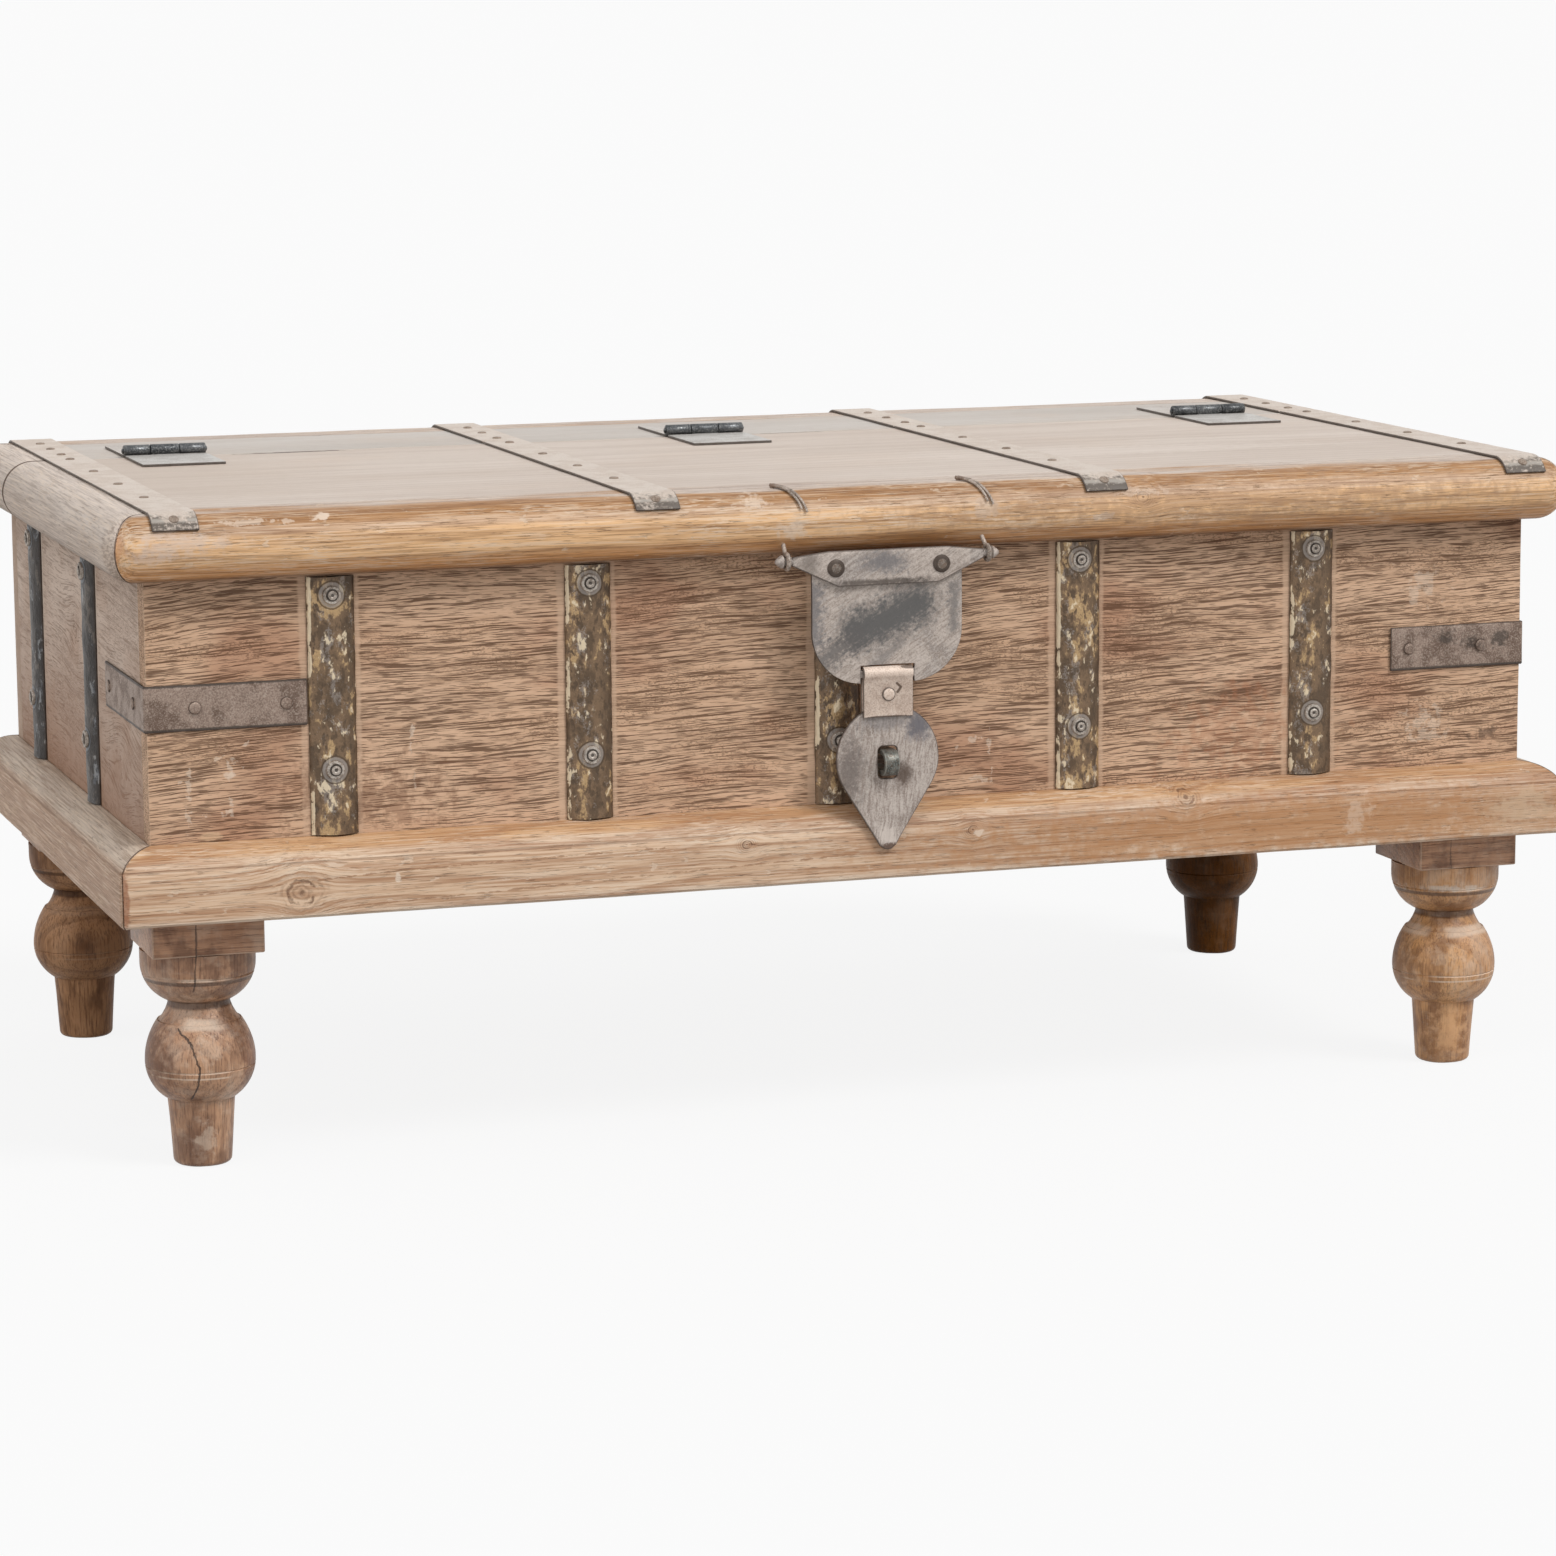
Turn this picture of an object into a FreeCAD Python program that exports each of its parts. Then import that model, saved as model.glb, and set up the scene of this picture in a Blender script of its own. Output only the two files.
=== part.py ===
"""Low trunk table: an iron-strapped wooden box on four turned legs, with a top that is
hinged behind and a hanging iron hasp in front. Millimetres, +Z up, front towards -Y,
origin on the floor under the middle of the box."""

import FreeCAD, Part
import math
import os
import re
import Sketcher

Vector = FreeCAD.Vector
X_AXIS = Vector(1, 0, 0)
Y_AXIS = Vector(0, 1, 0)
Z_AXIS = Vector(0, 0, 1)

# ---------------------------------------------------------------- driving dimensions
SIZES = {
    # box
    "body_length": 1050,
    "body_depth": 528,
    "wall_height": 184,
    "panel_thickness": 20,
    "bottom_thickness": 12,
    "post_side": 30,
    # plinth moulding round the foot of the box
    "plinth_height": 54,
    "fascia_height": 39,
    "plinth_overhang": 26,
    # top: half-round moulding round a flush board, cut in two along the hinge line
    "lid_thickness": 47,
    "lid_overhang": 30,
    "moulding_inset": 25,
    "top_thickness": 20,
    "rear_strip": 142,
    "split_gap": 1.5,
    "rail_width": 40,
    "rail_height": 47,
    "rail_clearance": 0.5,
    "batten_width": 45,
    "batten_height": 20,
    "batten_inset": 240,
    "batten_clearance": 10,
    # turned legs, each under a square block
    "leg_height": 156,
    "block_height": 27,
    "block_side": 80,
    "cup_radius": 41,
    "cup_rim": 10,
    "cup_rise": 27.5,
    "neck_radius": 22.3,
    "neck_length": 2,
    "shoulder_radius": 30,
    "shoulder_rise": 12,
    "ball_radius": 39.3,
    "ball_rise": 29.5,
    "ball_fall": 26.5,
    "ball_lip": 1.2,
    "foot_top_radius": 24,
    "foot_radius": 21,
    "foot_round": 4,
    "bolt_radius": 4,
    "bolt_in_leg": 40,
    "drill_clearance": 0.15,
    # convex iron straps on the walls
    "strap_width": 34.5,
    "strap_rise": 7,
    "strap_top_gap": 1.5,
    "strap_left_inset": 131.5,
    "strap_right_inset": 173.3,
    "side_strap_front_inset": 194,
    "side_strap_rear_inset": 114,
    "screw_from_top": 14.5,
    "screw_from_plinth": 46.5,
    "screw_head_radius": 6.5,
    "screw_head_height": 2.6,
    "screw_radius": 2,
    "screw_length": 20,
    # flat iron bands round the two front corners
    "band_height": 33,
    "band_thickness": 2,
    "band_strap_gap": 0.4,
    "right_band_reach": 108,
    "side_band_reach": 138,
    "left_band_rise": 95,
    "right_band_rise": 89.8,
    "rivet_first": 34,
    "rivet_end_inset": 15,
    "rivet_length": 16,
    "rivet_head_radius": 4.5,
    "rivet_head_height": 1.8,
    # flat iron straps over the top
    "top_strap_width": 33,
    "top_strap_thickness": 2,
    "top_strap_lift": 0.2,
    "top_strap_left_inset": 49,
    "top_strap_right_inset": 41,
    "top_strap_shift": 3.8,
    "top_strap_wrap": 56,
    "tip_nail_angle": 34,
    "nail_head_radius": 3.5,
    "nail_head_height": 1.2,
    "nail_radius": 1.25,
    "nail_length": 16,
    "nail_first": 18,
    "nail_pitch_front": 95,
    "nail_pitch_rear": 45,
    # three butt hinges on the top
    "hinge_left_inset": 125,
    "hinge_right_inset": 121,
    "hinge_width": 63,
    "leaf_length": 76,
    "leaf_thickness": 2,
    "knuckle_radius": 4.5,
    "knuckle_lift": 0.4,
    "middle_knuckle": 22,
    "knuckle_gap": 0.4,
    "leaf_relief": 0.8,
    "hinge_pin_radius": 2,
    "hinge_pin_clearance": 0.05,
    "pin_overhang": 1.5,
    "leaf_screw_near": 26,
    "leaf_screw_far": 56,
    "leaf_screw_spread": 40,
    "leaf_screw_head": 4,
    "leaf_screw_length": 18,
    # hanging hasp
    "hasp_middle": 7.5,
    "plinth_clearance": 1,
    "hasp_plate_thickness": 3,
    "pivot_below_lid": 3,
    "pivot_forward": 2,
    "bar_thickness": 3.5,
    "bar_rise": 6.5,
    "bar_drop": 19.5,
    "bar_bottom_half": 38.5,
    "bar_top_half": 45,
    "bar_half": 73,
    "bar_end_half": 3.2,
    "bar_pin_radius": 3,
    "bar_pin_root": 13,
    "bar_neck": 6,
    "finial_length": 6,
    "finial_radius": 5,
    "finial_tip": 1.5,
    "bar_rivet_spread": 80,
    "bar_rivet_drop": 6,
    "bar_rivet_radius": 2.5,
    "plate_width": 114,
    "plate_top": 4,
    "plate_bottom": 90.5,
    "plate_round": 38,
    "plate_notch": 4,
    "web_height": 5.5,
    "plate_slot_height": 3.4,
    "link_width": 38,
    "link_side_gap": 1.5,
    "link_inner_radius": 3.5,
    "link_wall": 1.8,
    "link_length": 31.8,
    "link_neck_gap": 0.05,
    "link_rivet_drop": 15,
    "link_rivet_head": 5,
    "neck_inset": 4,
    "neck_top_gap": 5,
    "drop_radius": 39.3,
    "drop_middle": 61.8,
    "drop_tip": 129,
    "tip_half": 9,
    "tip_rise": 8,
    "slot_side_clearance": 1.5,
    "slot_end_clearance": 2,
    "slot_below_middle": 3,
    "staple_width": 11,
    "staple_thickness": 4,
    "staple_height": 19,
    "padlock_gap": 7,
    # split-pin eyes that carry the hasp on the top's front moulding
    "eye_clearance": 0.6,
    "eye_wire_radius": 1.7,
    "eye_wire_lift": 0.3,
    "eye_exit_back": 4.7,
    "left_eye_lean": -1.5,
    "right_eye_lean": -12.5,
    "clinch_angle": 68,
    "clinch_slant": 0.56,
}

FRONT_STRAP_COUNT = 5
TOP_STRAP_COUNT = 4
FRONT_NAIL_COUNT = 4
REAR_NAIL_COUNT = 3
HINGE_COUNT = 3
SIDE_STRAPS = ("side_strap_front_inset - half_depth", "half_depth - side_strap_rear_inset")
SIDES = (("left", -1), ("right", 1))
ENDS = (("front", -1), ("rear", 1))

# levels and places that follow from the driving dimensions
DERIVED = {
    "plinth_bottom": "(leg_height + block_height)",
    "plinth_top": "(plinth_bottom + plinth_height)",
    "floor_top": "(plinth_bottom + bottom_thickness)",
    "lid_bottom": "(plinth_top + wall_height)",
    "lid_top": "(lid_bottom + lid_thickness)",
    "board_bottom": "(lid_top - top_thickness)",
    "half_length": "(body_length / 2)",
    "half_depth": "(body_depth / 2)",
    "inner_length": "(body_length - 2 * panel_thickness)",
    "inner_depth": "(body_depth - 2 * panel_thickness)",
    "nose_radius": "(lid_thickness / 2)",
    "nose_offset": "(lid_overhang - nose_radius)",
    "nose_y": "(half_depth + nose_offset)",
    "nose_z": "(lid_bottom + nose_radius)",
    "board_length": "(body_length - 2 * moulding_inset)",
    "board_edge": "(half_depth - moulding_inset)",
    "lid_length": "(body_length + 2 * lid_overhang)",
    "split_y": "(half_depth - rear_strip)",
    "split_front": "(split_y - split_gap / 2)",
    "split_rear": "(split_y + split_gap / 2)",
    "cup_shoulder": "(leg_height - cup_rim)",
    "cup_foot": "(cup_shoulder - cup_rise)",
    "neck_height": "(cup_foot - neck_length)",
    "shoulder_height": "(neck_height - shoulder_rise)",
    "ball_middle": "(shoulder_height - ball_rise)",
    "foot_height": "(ball_middle - ball_fall)",
    "leg_x": "(half_length - block_side / 2)",
    "leg_y": "(half_depth - block_side / 2)",
    "strap_run": "(body_length - strap_left_inset - strap_right_inset)",
    "top_strap_run": "(lid_length - top_strap_left_inset - top_strap_right_inset)",
    "hinge_run": "(lid_length - hinge_left_inset - hinge_right_inset)",
    "left_band_reach": "(strap_left_inset - strap_width / 2 - band_strap_gap)",
    "hinge_z": "(lid_top + knuckle_radius + knuckle_lift)",
    "strap_length": "(wall_height - strap_top_gap)",
    "side_knuckle": "((hinge_width - middle_knuckle) / 2 - knuckle_gap)",
    "plate_y": "(half_depth + plinth_overhang + plinth_clearance + hasp_plate_thickness / 2)",
    "pivot_y": "(plate_y + pivot_forward)",
    "pivot_z": "(lid_bottom - pivot_below_lid)",
    "link_z": "(pivot_z - plate_bottom + plate_notch + web_height / 2)",
    "link_outer_radius": "(link_inner_radius + link_wall)",
    "finial_start": "(bar_half + bar_neck)",
    "neck_width": "(link_width - 2 * neck_inset)",
    "slot_width": "(staple_width + 2 * slot_side_clearance)",
    "slot_height": "(staple_height + 2 * slot_end_clearance)",
    "drop_z": "(link_z - drop_middle)",
    "slot_z": "(drop_z - slot_below_middle)",
    "staple_front": "(plate_y + hasp_plate_thickness / 2 + padlock_gap + staple_thickness)",
    "eye_spread": "(bar_half + finial_start)",
    "eye_radius": "(bar_pin_radius + eye_clearance + eye_wire_radius)",
}


def formula(text):
    """Write the words of a formula out as references to the spreadsheet's cells."""

    def expand(match):
        word = match.group(0)
        if word in DERIVED:
            return formula(DERIVED[word])
        return f"Sizes.{word}" if word in SIZES else word

    return re.sub(r"[a-z][a-z_]*", expand, text)


def value(text):
    """The number that a formula gives."""
    return float(sheet.evalExpression(formula(text)))


# ------------------------------------------------------------------------ building aids
doc = FreeCAD.newDocument("TrunkTable")
sheet = doc.addObject("Spreadsheet::Sheet", "Sizes")
for row, (alias, size) in enumerate(SIZES.items(), start=1):
    sheet.set(f"A{row}", alias)
    sheet.set(f"B{row}", str(size))
    sheet.setAlias(f"B{row}", alias)
doc.recompute()

nodes = []


def node(obj, label):
    """Give a finished sub-part its own label, which names its file."""
    obj.Label = label
    nodes.append(obj)
    return obj


def place(obj, x="0", y="0", z="0", axis=Z_AXIS, angle=0):
    """Turn an object about an axis and bind its position to the sheet."""
    obj.Placement = FreeCAD.Placement(Vector(), FreeCAD.Rotation(axis, angle))
    for letter, text in zip("xyz", (x, y, z)):
        obj.setExpression(f".Placement.Base.{letter}", formula(text))
    return obj


def box(name, length, width, height, x="0", y="0", z="0"):
    """A block centred on x and y, with its underside at z."""
    obj = doc.addObject("Part::Box", name)
    for name_of, text in zip(("Length", "Width", "Height"), (length, width, height)):
        obj.setExpression(name_of, formula(text))
    return place(obj, f"{x} - ({length}) / 2", f"{y} - ({width}) / 2", z)


def rod(name, radius, length, x="0", y="0", z="0", axis=Z_AXIS, angle=0):
    """A cylinder that starts at a point and runs along the turned Z axis."""
    obj = doc.addObject("Part::Cylinder", name)
    obj.setExpression("Radius", formula(radius))
    obj.setExpression("Height", formula(length))
    return place(obj, x, y, z, axis, angle)


def compound(name, members):
    obj = doc.addObject("Part::Compound", name)
    obj.Links = members
    return obj


def fuse(name, members):
    obj = doc.addObject("Part::MultiFuse", name)
    obj.Shapes = members
    return obj


def cut(name, base, tools):
    """Cut all the tools out of the base at once."""
    obj = doc.addObject("Part::Cut", name)
    obj.Base = base
    obj.Tool = tools[0] if len(tools) == 1 else compound(f"{name}Tools", tools)
    return obj


def arc_between(start, end, axis, centre, hollow):
    """A circular arc from start to end whose centre lies at a known x or y."""
    near, far = (0, 1) if axis == "x" else (1, 0)
    square = (start[near] - centre) ** 2 - (end[near] - centre) ** 2
    other = (square + start[far] ** 2 - end[far] ** 2) / (2 * (start[far] - end[far]))
    middle = (centre, other) if axis == "x" else (other, centre)
    angles = [math.atan2(p[1] - middle[1], p[0] - middle[0]) for p in (start, end)]
    if hollow:
        angles.reverse()
    if angles[1] < angles[0]:
        angles[1] += 2 * math.pi
    circle = Part.Circle(Vector(*middle, 0), Z_AXIS, math.dist(start, middle))
    return Part.ArcOfCircle(circle, *angles)


def outline(body, name, plane, loops, arcs=None):
    """A sketch of closed outlines, drawn counter-clockwise, on one of the body's planes.

    Each loop is a list of (x, y) formulas. arcs maps (loop, side) to (axis, formula, hollow):
    that side is an arc whose centre has the given x or y, and a hollow arc bends inwards.
    """
    arcs = arcs or {}
    sketch = body.newObject("Sketcher::SketchObject", name)
    support = next(o for o in body.Origin.OriginFeatures if o.Role == plane)
    sketch.AttachmentSupport = [(support, "")]
    sketch.MapMode = "FlatFace"
    for loop_index, loop in enumerate(loops):
        points = [(value(x), value(y)) for x, y in loop]
        sides = []
        for index, start in enumerate(points):
            end = points[(index + 1) % len(points)]
            spec = arcs.get((loop_index, index))
            if spec is None:
                line = Part.LineSegment(Vector(*start, 0), Vector(*end, 0))
                sides.append((sketch.addGeometry(line, False), 1, 2))
                continue
            axis, centre, hollow = spec
            arc = arc_between(start, end, axis, value(centre), hollow)
            geometry = sketch.addGeometry(arc, False)
            sides.append((geometry, 2, 1) if hollow else (geometry, 1, 2))
            kind = "DistanceX" if axis == "x" else "DistanceY"
            bind(sketch, kind, geometry, 3, centre)
        for index, (geometry, first, last) in enumerate(sides):
            following, its_first, _ = sides[(index + 1) % len(sides)]
            sketch.addConstraint(
                Sketcher.Constraint("Coincident", geometry, last, following, its_first)
            )
            bind(sketch, "DistanceX", geometry, first, loop[index][0])
            bind(sketch, "DistanceY", geometry, first, loop[index][1])
    return sketch


def bind(sketch, kind, geometry, point, text):
    """Hold one coordinate of a sketch point at a formula."""
    number = sketch.addConstraint(
        Sketcher.Constraint(kind, -1, 1, geometry, point, value(text))
    )
    sketch.setExpression(f"Constraints[{number}]", formula(text))


def padded(name, plane, loops, length, arcs=None):
    """A body padded evenly to both sides of one of its planes."""
    body = doc.addObject("PartDesign::Body", name)
    pad = body.newObject("PartDesign::Pad", f"{name}Pad")
    pad.Profile = outline(body, f"{name}Outline", plane, loops, arcs)
    pad.SideType = "Symmetric"
    pad.setExpression("Length", formula(length))
    return body


def turned(name, loop, arcs=None):
    """A body turned about its own Z axis from a half outline."""
    body = doc.addObject("PartDesign::Body", name)
    sketch = outline(body, f"{name}Outline", "XZ_Plane", [loop], arcs)
    feature = body.newObject("PartDesign::Revolution", f"{name}Turning")
    feature.Profile = sketch
    feature.ReferenceAxis = (sketch, ["V_Axis"])
    feature.Angle = 360
    return body


def headed_pin(name, head_radius, head_height, radius, length):
    """A domed nail, rivet or screw: head above its own origin, shank below."""
    return turned(
        name,
        [
            ("0", f"-{length}"),
            (radius, f"-{length}"),
            (radius, "0"),
            (head_radius, "0"),
            ("0", head_height),
        ],
        {(0, 3): ("x", "0", False)},
    )


def copies(name, original, spots):
    """Linked copies of one body, each at its own (x, y, z, axis, angle)."""
    links = []
    for index, spot in enumerate(spots, start=1):
        link = doc.addObject("App::Link", f"{name}{index}")
        link.LinkedObject = original
        links.append(place(link, *spot))
    return links


# ------------------------------------------------------------------- mitred mouldings
def rail(name, profile, arcs, length, outer, inner, mitres):
    """A moulding along X whose outside faces -Y, mitred at the ends listed in mitres."""
    body = padded(name, "YZ_Plane", [profile], length, arcs)
    corners = []
    for end in mitres:
        tip = f"{end} * ({length}) / 2"
        shoulder = f"{end} * (({length}) / 2 - ({outer}) - ({inner}))"
        triangle = [(tip, f"-({outer})"), (tip, inner), (shoulder, inner)]
        corners.append(triangle if end > 0 else triangle[::-1])
    doc.recompute()
    before = body.Shape.Volume
    pocket = body.newObject("PartDesign::Pocket", f"{name}Mitres")
    pocket.Profile = outline(body, f"{name}MitreOutline", "XY_Plane", corners)
    pocket.Type = "ThroughAll"
    pocket.Reversed = True
    doc.recompute()
    if body.Shape.Volume > before - 1:
        raise ValueError(f"the mitres of {name} cut nothing")
    return body


PLINTH_PROFILE = [
    ("-plinth_overhang", "0"),
    ("0", "0"),
    ("0", "plinth_height"),
    ("-plinth_overhang", "fascia_height"),
]
PLINTH_ARCS = {(0, 2): ("x", "0", False)}
LID_PROFILE = [
    ("-nose_offset", "0"),
    ("moulding_inset", "0"),
    ("moulding_inset", "lid_thickness"),
    ("-nose_offset", "lid_thickness"),
]
LID_ARCS = {(0, 3): ("x", "-nose_offset", False)}


def plinth_rail(name, length):
    return rail(name, PLINTH_PROFILE, PLINTH_ARCS, length, "plinth_overhang", "0", (-1, 1))


def lid_rail(name, length, mitres):
    return rail(name, LID_PROFILE, LID_ARCS, length, "lid_overhang", "moulding_inset", mitres)


def make_plinth():
    """Four mitred mouldings nailed round the foot of the box."""
    for end, sign in ENDS:
        body = plinth_rail(f"Plinth{end}", "body_length + 2 * plinth_overhang")
        place(body, y=f"{sign} * half_depth", z="plinth_bottom", angle=90 + 90 * sign)
        node(body, f"plinth_{end}")
    for side, sign in SIDES:
        body = plinth_rail(f"Plinth{side}", "body_depth + 2 * plinth_overhang")
        place(body, x=f"{sign} * half_length", z="plinth_bottom", angle=90 * sign)
        node(body, f"plinth_{side}")


# ----------------------------------------------------------------------- the box itself
def make_box(front_tools, side_tools, bolt_holes):
    """Four wall panels on a bottom board, with a post in each corner."""
    height = "lid_bottom - floor_top"
    long_wall = ("body_length", "panel_thickness", height)
    short_wall = ("panel_thickness", "inner_depth", height)
    wall_y = "(half_depth - panel_thickness / 2)"
    wall_x = "(half_length - panel_thickness / 2)"
    front = box("FrontBoard", *long_wall, y=f"-{wall_y}", z="floor_top")
    node(cut("FrontPanel", front, front_tools), "front_panel")
    node(box("RearPanel", *long_wall, y=wall_y, z="floor_top"), "rear_panel")
    for side, sign in SIDES:
        wall = box(f"Board{side}", *short_wall, x=f"{sign} * {wall_x}", z="floor_top")
        node(cut(f"Panel{side}", wall, side_tools[side]), f"{side}_panel")
    floor = box("FloorBoard", "body_length", "body_depth", "bottom_thickness", z="plinth_bottom")
    node(cut("BottomBoard", floor, bolt_holes), "bottom_board")
    posts = [
        box(
            f"Post{side}{end}",
            "post_side",
            "post_side",
            height,
            x=f"{across} * (inner_length - post_side) / 2",
            y=f"{along} * (inner_depth - post_side) / 2",
            z="floor_top",
        )
        for side, across in SIDES
        for end, along in ENDS
    ]
    node(compound("CornerPosts", posts), "corner_posts")


# --------------------------------------------------------------------------------- legs
LEG_OUTLINE = [
    ("0", "0"),
    ("foot_radius - foot_round", "0"),
    ("foot_radius", "foot_round"),
    ("foot_top_radius", "foot_height"),
    ("foot_top_radius + ball_lip", "foot_height"),
    ("ball_radius", "ball_middle"),
    ("shoulder_radius", "shoulder_height"),
    ("shoulder_radius - ball_lip", "shoulder_height"),
    ("neck_radius", "neck_height"),
    ("neck_radius", "cup_foot"),
    ("cup_radius", "cup_shoulder"),
    ("cup_radius", "leg_height"),
    ("bolt_radius + drill_clearance", "leg_height"),
    ("bolt_radius + drill_clearance", "leg_height - bolt_in_leg - drill_clearance"),
    ("0", "leg_height - bolt_in_leg - drill_clearance"),
]
LEG_ARCS = {
    (0, 1): ("x", "foot_radius - foot_round", False),
    (0, 4): ("y", "ball_middle", False),
    (0, 5): ("y", "ball_middle", False),
    (0, 9): ("y", "cup_shoulder", False),
}


def leg_spots(z):
    """The four leg axes at one height."""
    return [
        (f"{across} * leg_x", f"{along} * leg_y", z)
        for side, across in SIDES
        for end, along in ENDS
    ]


def make_legs():
    """Turned legs, each bolted up through a square block; returns the bolt holes."""
    names = [f"{end}_{side}" for side, _ in SIDES for end, _ in ENDS]
    hole_radius = "bolt_radius + drill_clearance"
    bolt_length = "bolt_in_leg + block_height + bottom_thickness"
    holes = [
        rod(f"BoltHole{index}", hole_radius, "block_height + bottom_thickness", *spot)
        for index, spot in enumerate(leg_spots("leg_height"), start=1)
    ]
    blocks = []
    for name, spot, hole in zip(names, leg_spots("leg_height"), holes):
        title = name.title().replace("_", "")
        leg = turned(f"Leg{title}", LEG_OUTLINE, LEG_ARCS)
        node(place(leg, *spot[:2]), f"leg_{name}")
        square = box(f"Square{title}", "block_side", "block_side", "block_height", *spot)
        blocks.append(cut(f"Block{title}", square, [hole]))
    node(compound("LegBlocks", blocks), "leg_blocks")
    bolts = [
        rod(f"Bolt{index}", "bolt_radius", bolt_length, *spot)
        for index, spot in enumerate(leg_spots("leg_height - bolt_in_leg"), start=1)
    ]
    node(compound("LegBolts", bolts), "leg_bolts")
    return holes


# --------------------------------------------------------- straps and bands on the walls
def screw_levels():
    return ("lid_bottom - screw_from_top", "plinth_top + screw_from_plinth")


def strap_blank(name):
    """A convex strap that stands on the plinth and faces -Y."""
    half = "strap_width / 2"
    return padded(
        name,
        "XY_Plane",
        [[(f"-{half}", "0"), ("0", "-strap_rise"), (half, "0")]],
        "strap_length",
        {(0, 0): ("x", "0", False), (0, 1): ("x", "0", False)},
    )


def make_wall_straps():
    """Five straps in front and two on each side, with their screws; returns the drills."""
    screw = headed_pin(
        "StrapScrew", "screw_head_radius", "screw_head_height", "screw_radius", "screw_length"
    )
    bore = rod(
        "ScrewBore",
        "screw_radius + drill_clearance",
        "screw_length + drill_clearance + strap_rise",
        z="-screw_length - drill_clearance",
    )
    drill = compound("ScrewDrill", [bore])
    middle = "plinth_top + strap_length / 2"
    front_x = [
        f"(strap_left_inset - half_length + {index} * strap_run / {FRONT_STRAP_COUNT - 1})"
        for index in range(FRONT_STRAP_COUNT)
    ]
    face = "half_depth + strap_rise"
    front_spots = [(x, f"-({face})", z, X_AXIS, 90) for x in front_x for z in screw_levels()]
    front_drills = copies("FrontDrill", drill, front_spots)
    for index, x in enumerate(front_x, start=1):
        blank = place(strap_blank(f"StrapBlank{index}"), x, "-half_depth", middle)
        own = front_drills[2 * index - 2 : 2 * index]
        node(cut(f"FrontStrap{index}", blank, own), f"front_strap_{index}")
    screws = copies("FrontScrew", screw, front_spots)
    drills = {"front": front_drills}
    for side, sign in SIDES:
        face = f"{sign} * (half_length + strap_rise)"
        spots = [
            (face, y, z, Y_AXIS, 90 * sign) for y in SIDE_STRAPS for z in screw_levels()
        ]
        drills[side] = copies(f"Drill{side}", drill, spots)
        screws += copies(f"Screw{side}", screw, spots)
        straps = []
        for index, y in enumerate(SIDE_STRAPS):
            blank = strap_blank(f"SideBlank{side}{index}")
            place(blank, f"{sign} * half_length", y, middle, Z_AXIS, 90 * sign)
            own = drills[side][2 * index : 2 * index + 2]
            straps.append(cut(f"SideStrap{side}{index}", blank, own))
        node(compound(f"SideStraps{side}", straps), f"side_straps_{side}")
    node(compound("StrapScrews", screws), "strap_screws")
    return drills


def make_corner_bands():
    """Flat bands bent round the front corners, with their rivets; returns the drills."""
    rivet = headed_pin(
        "BandRivet", "rivet_head_radius", "rivet_head_height", "screw_radius", "rivet_length"
    )
    bore = rod(
        "RivetBore",
        "screw_radius + drill_clearance",
        "rivet_length + drill_clearance + band_thickness",
        z="-rivet_length - drill_clearance",
    )
    drill = compound("RivetDrill", [bore])
    rivets = []
    drills = {"front": []}
    for side, sign in SIDES:
        reach = f"{side}_band_reach"
        middle = f"plinth_top + {side}_band_rise"
        outer = f"{sign} * band_thickness"
        end = f"{-sign} * {reach}"
        loop = [
            ("0", "0"),
            ("0", "side_band_reach"),
            (outer, "side_band_reach"),
            (outer, "-band_thickness"),
            (end, "-band_thickness"),
            (end, "0"),
        ]
        band = padded(f"BandBlank{side}", "XY_Plane", [loop], "band_height")
        place(band, f"{sign} * half_length", "-half_depth", middle)
        front_face = "-(half_depth + band_thickness)"
        side_face = f"{sign} * (half_length + band_thickness)"
        front_spots = [
            (f"{sign} * (half_length - ({inset}))", front_face, middle, X_AXIS, 90)
            for inset in ("rivet_first", f"{reach} - rivet_end_inset")
        ]
        side_spots = [
            (side_face, f"{inset} - half_depth", middle, Y_AXIS, 90 * sign)
            for inset in ("rivet_first", "side_band_reach - rivet_end_inset")
        ]
        fronts = copies(f"BandDrillFront{side}", drill, front_spots)
        drills["front"] += fronts
        drills[side] = copies(f"BandDrillSide{side}", drill, side_spots)
        rivets += copies(f"Rivet{side}", rivet, front_spots + side_spots)
        shaped = cut(f"Band{side}", band, fronts + drills[side])
        node(shaped, f"corner_band_{side}")
    node(compound("BandRivets", rivets), "band_rivets")
    return drills


# ------------------------------------------------------------------------ straps on top
def top_strap_x(index):
    """Straps are spread evenly, but the ones between the outer two sit a little to the right."""
    step = f"top_strap_run / {TOP_STRAP_COUNT - 1}"
    shift = "top_strap_shift" if 0 < index < TOP_STRAP_COUNT - 1 else "0"
    return f"(top_strap_left_inset - lid_length / 2 + {index} * {step} + {shift})"


def top_strap_blank(name, reach):
    """A flat strap from the split (at +Y) that bends down over the nose (at -Y).

    Its own origin is the axis of the half-round nose.
    """
    inner = "(nose_radius + top_strap_lift)"
    outer = f"({inner} + top_strap_thickness)"
    return padded(
        name,
        "YZ_Plane",
        [
            [
                (reach, inner),
                (reach, outer),
                ("0", outer),
                (f"-{outer} * sin(top_strap_wrap * 1deg)", f"{outer} * cos(top_strap_wrap * 1deg)"),
                (f"-{inner} * sin(top_strap_wrap * 1deg)", f"{inner} * cos(top_strap_wrap * 1deg)"),
                ("0", inner),
            ]
        ],
        "top_strap_width",
        {(0, 2): ("x", "0", False), (0, 4): ("x", "0", True)},
    )


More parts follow.
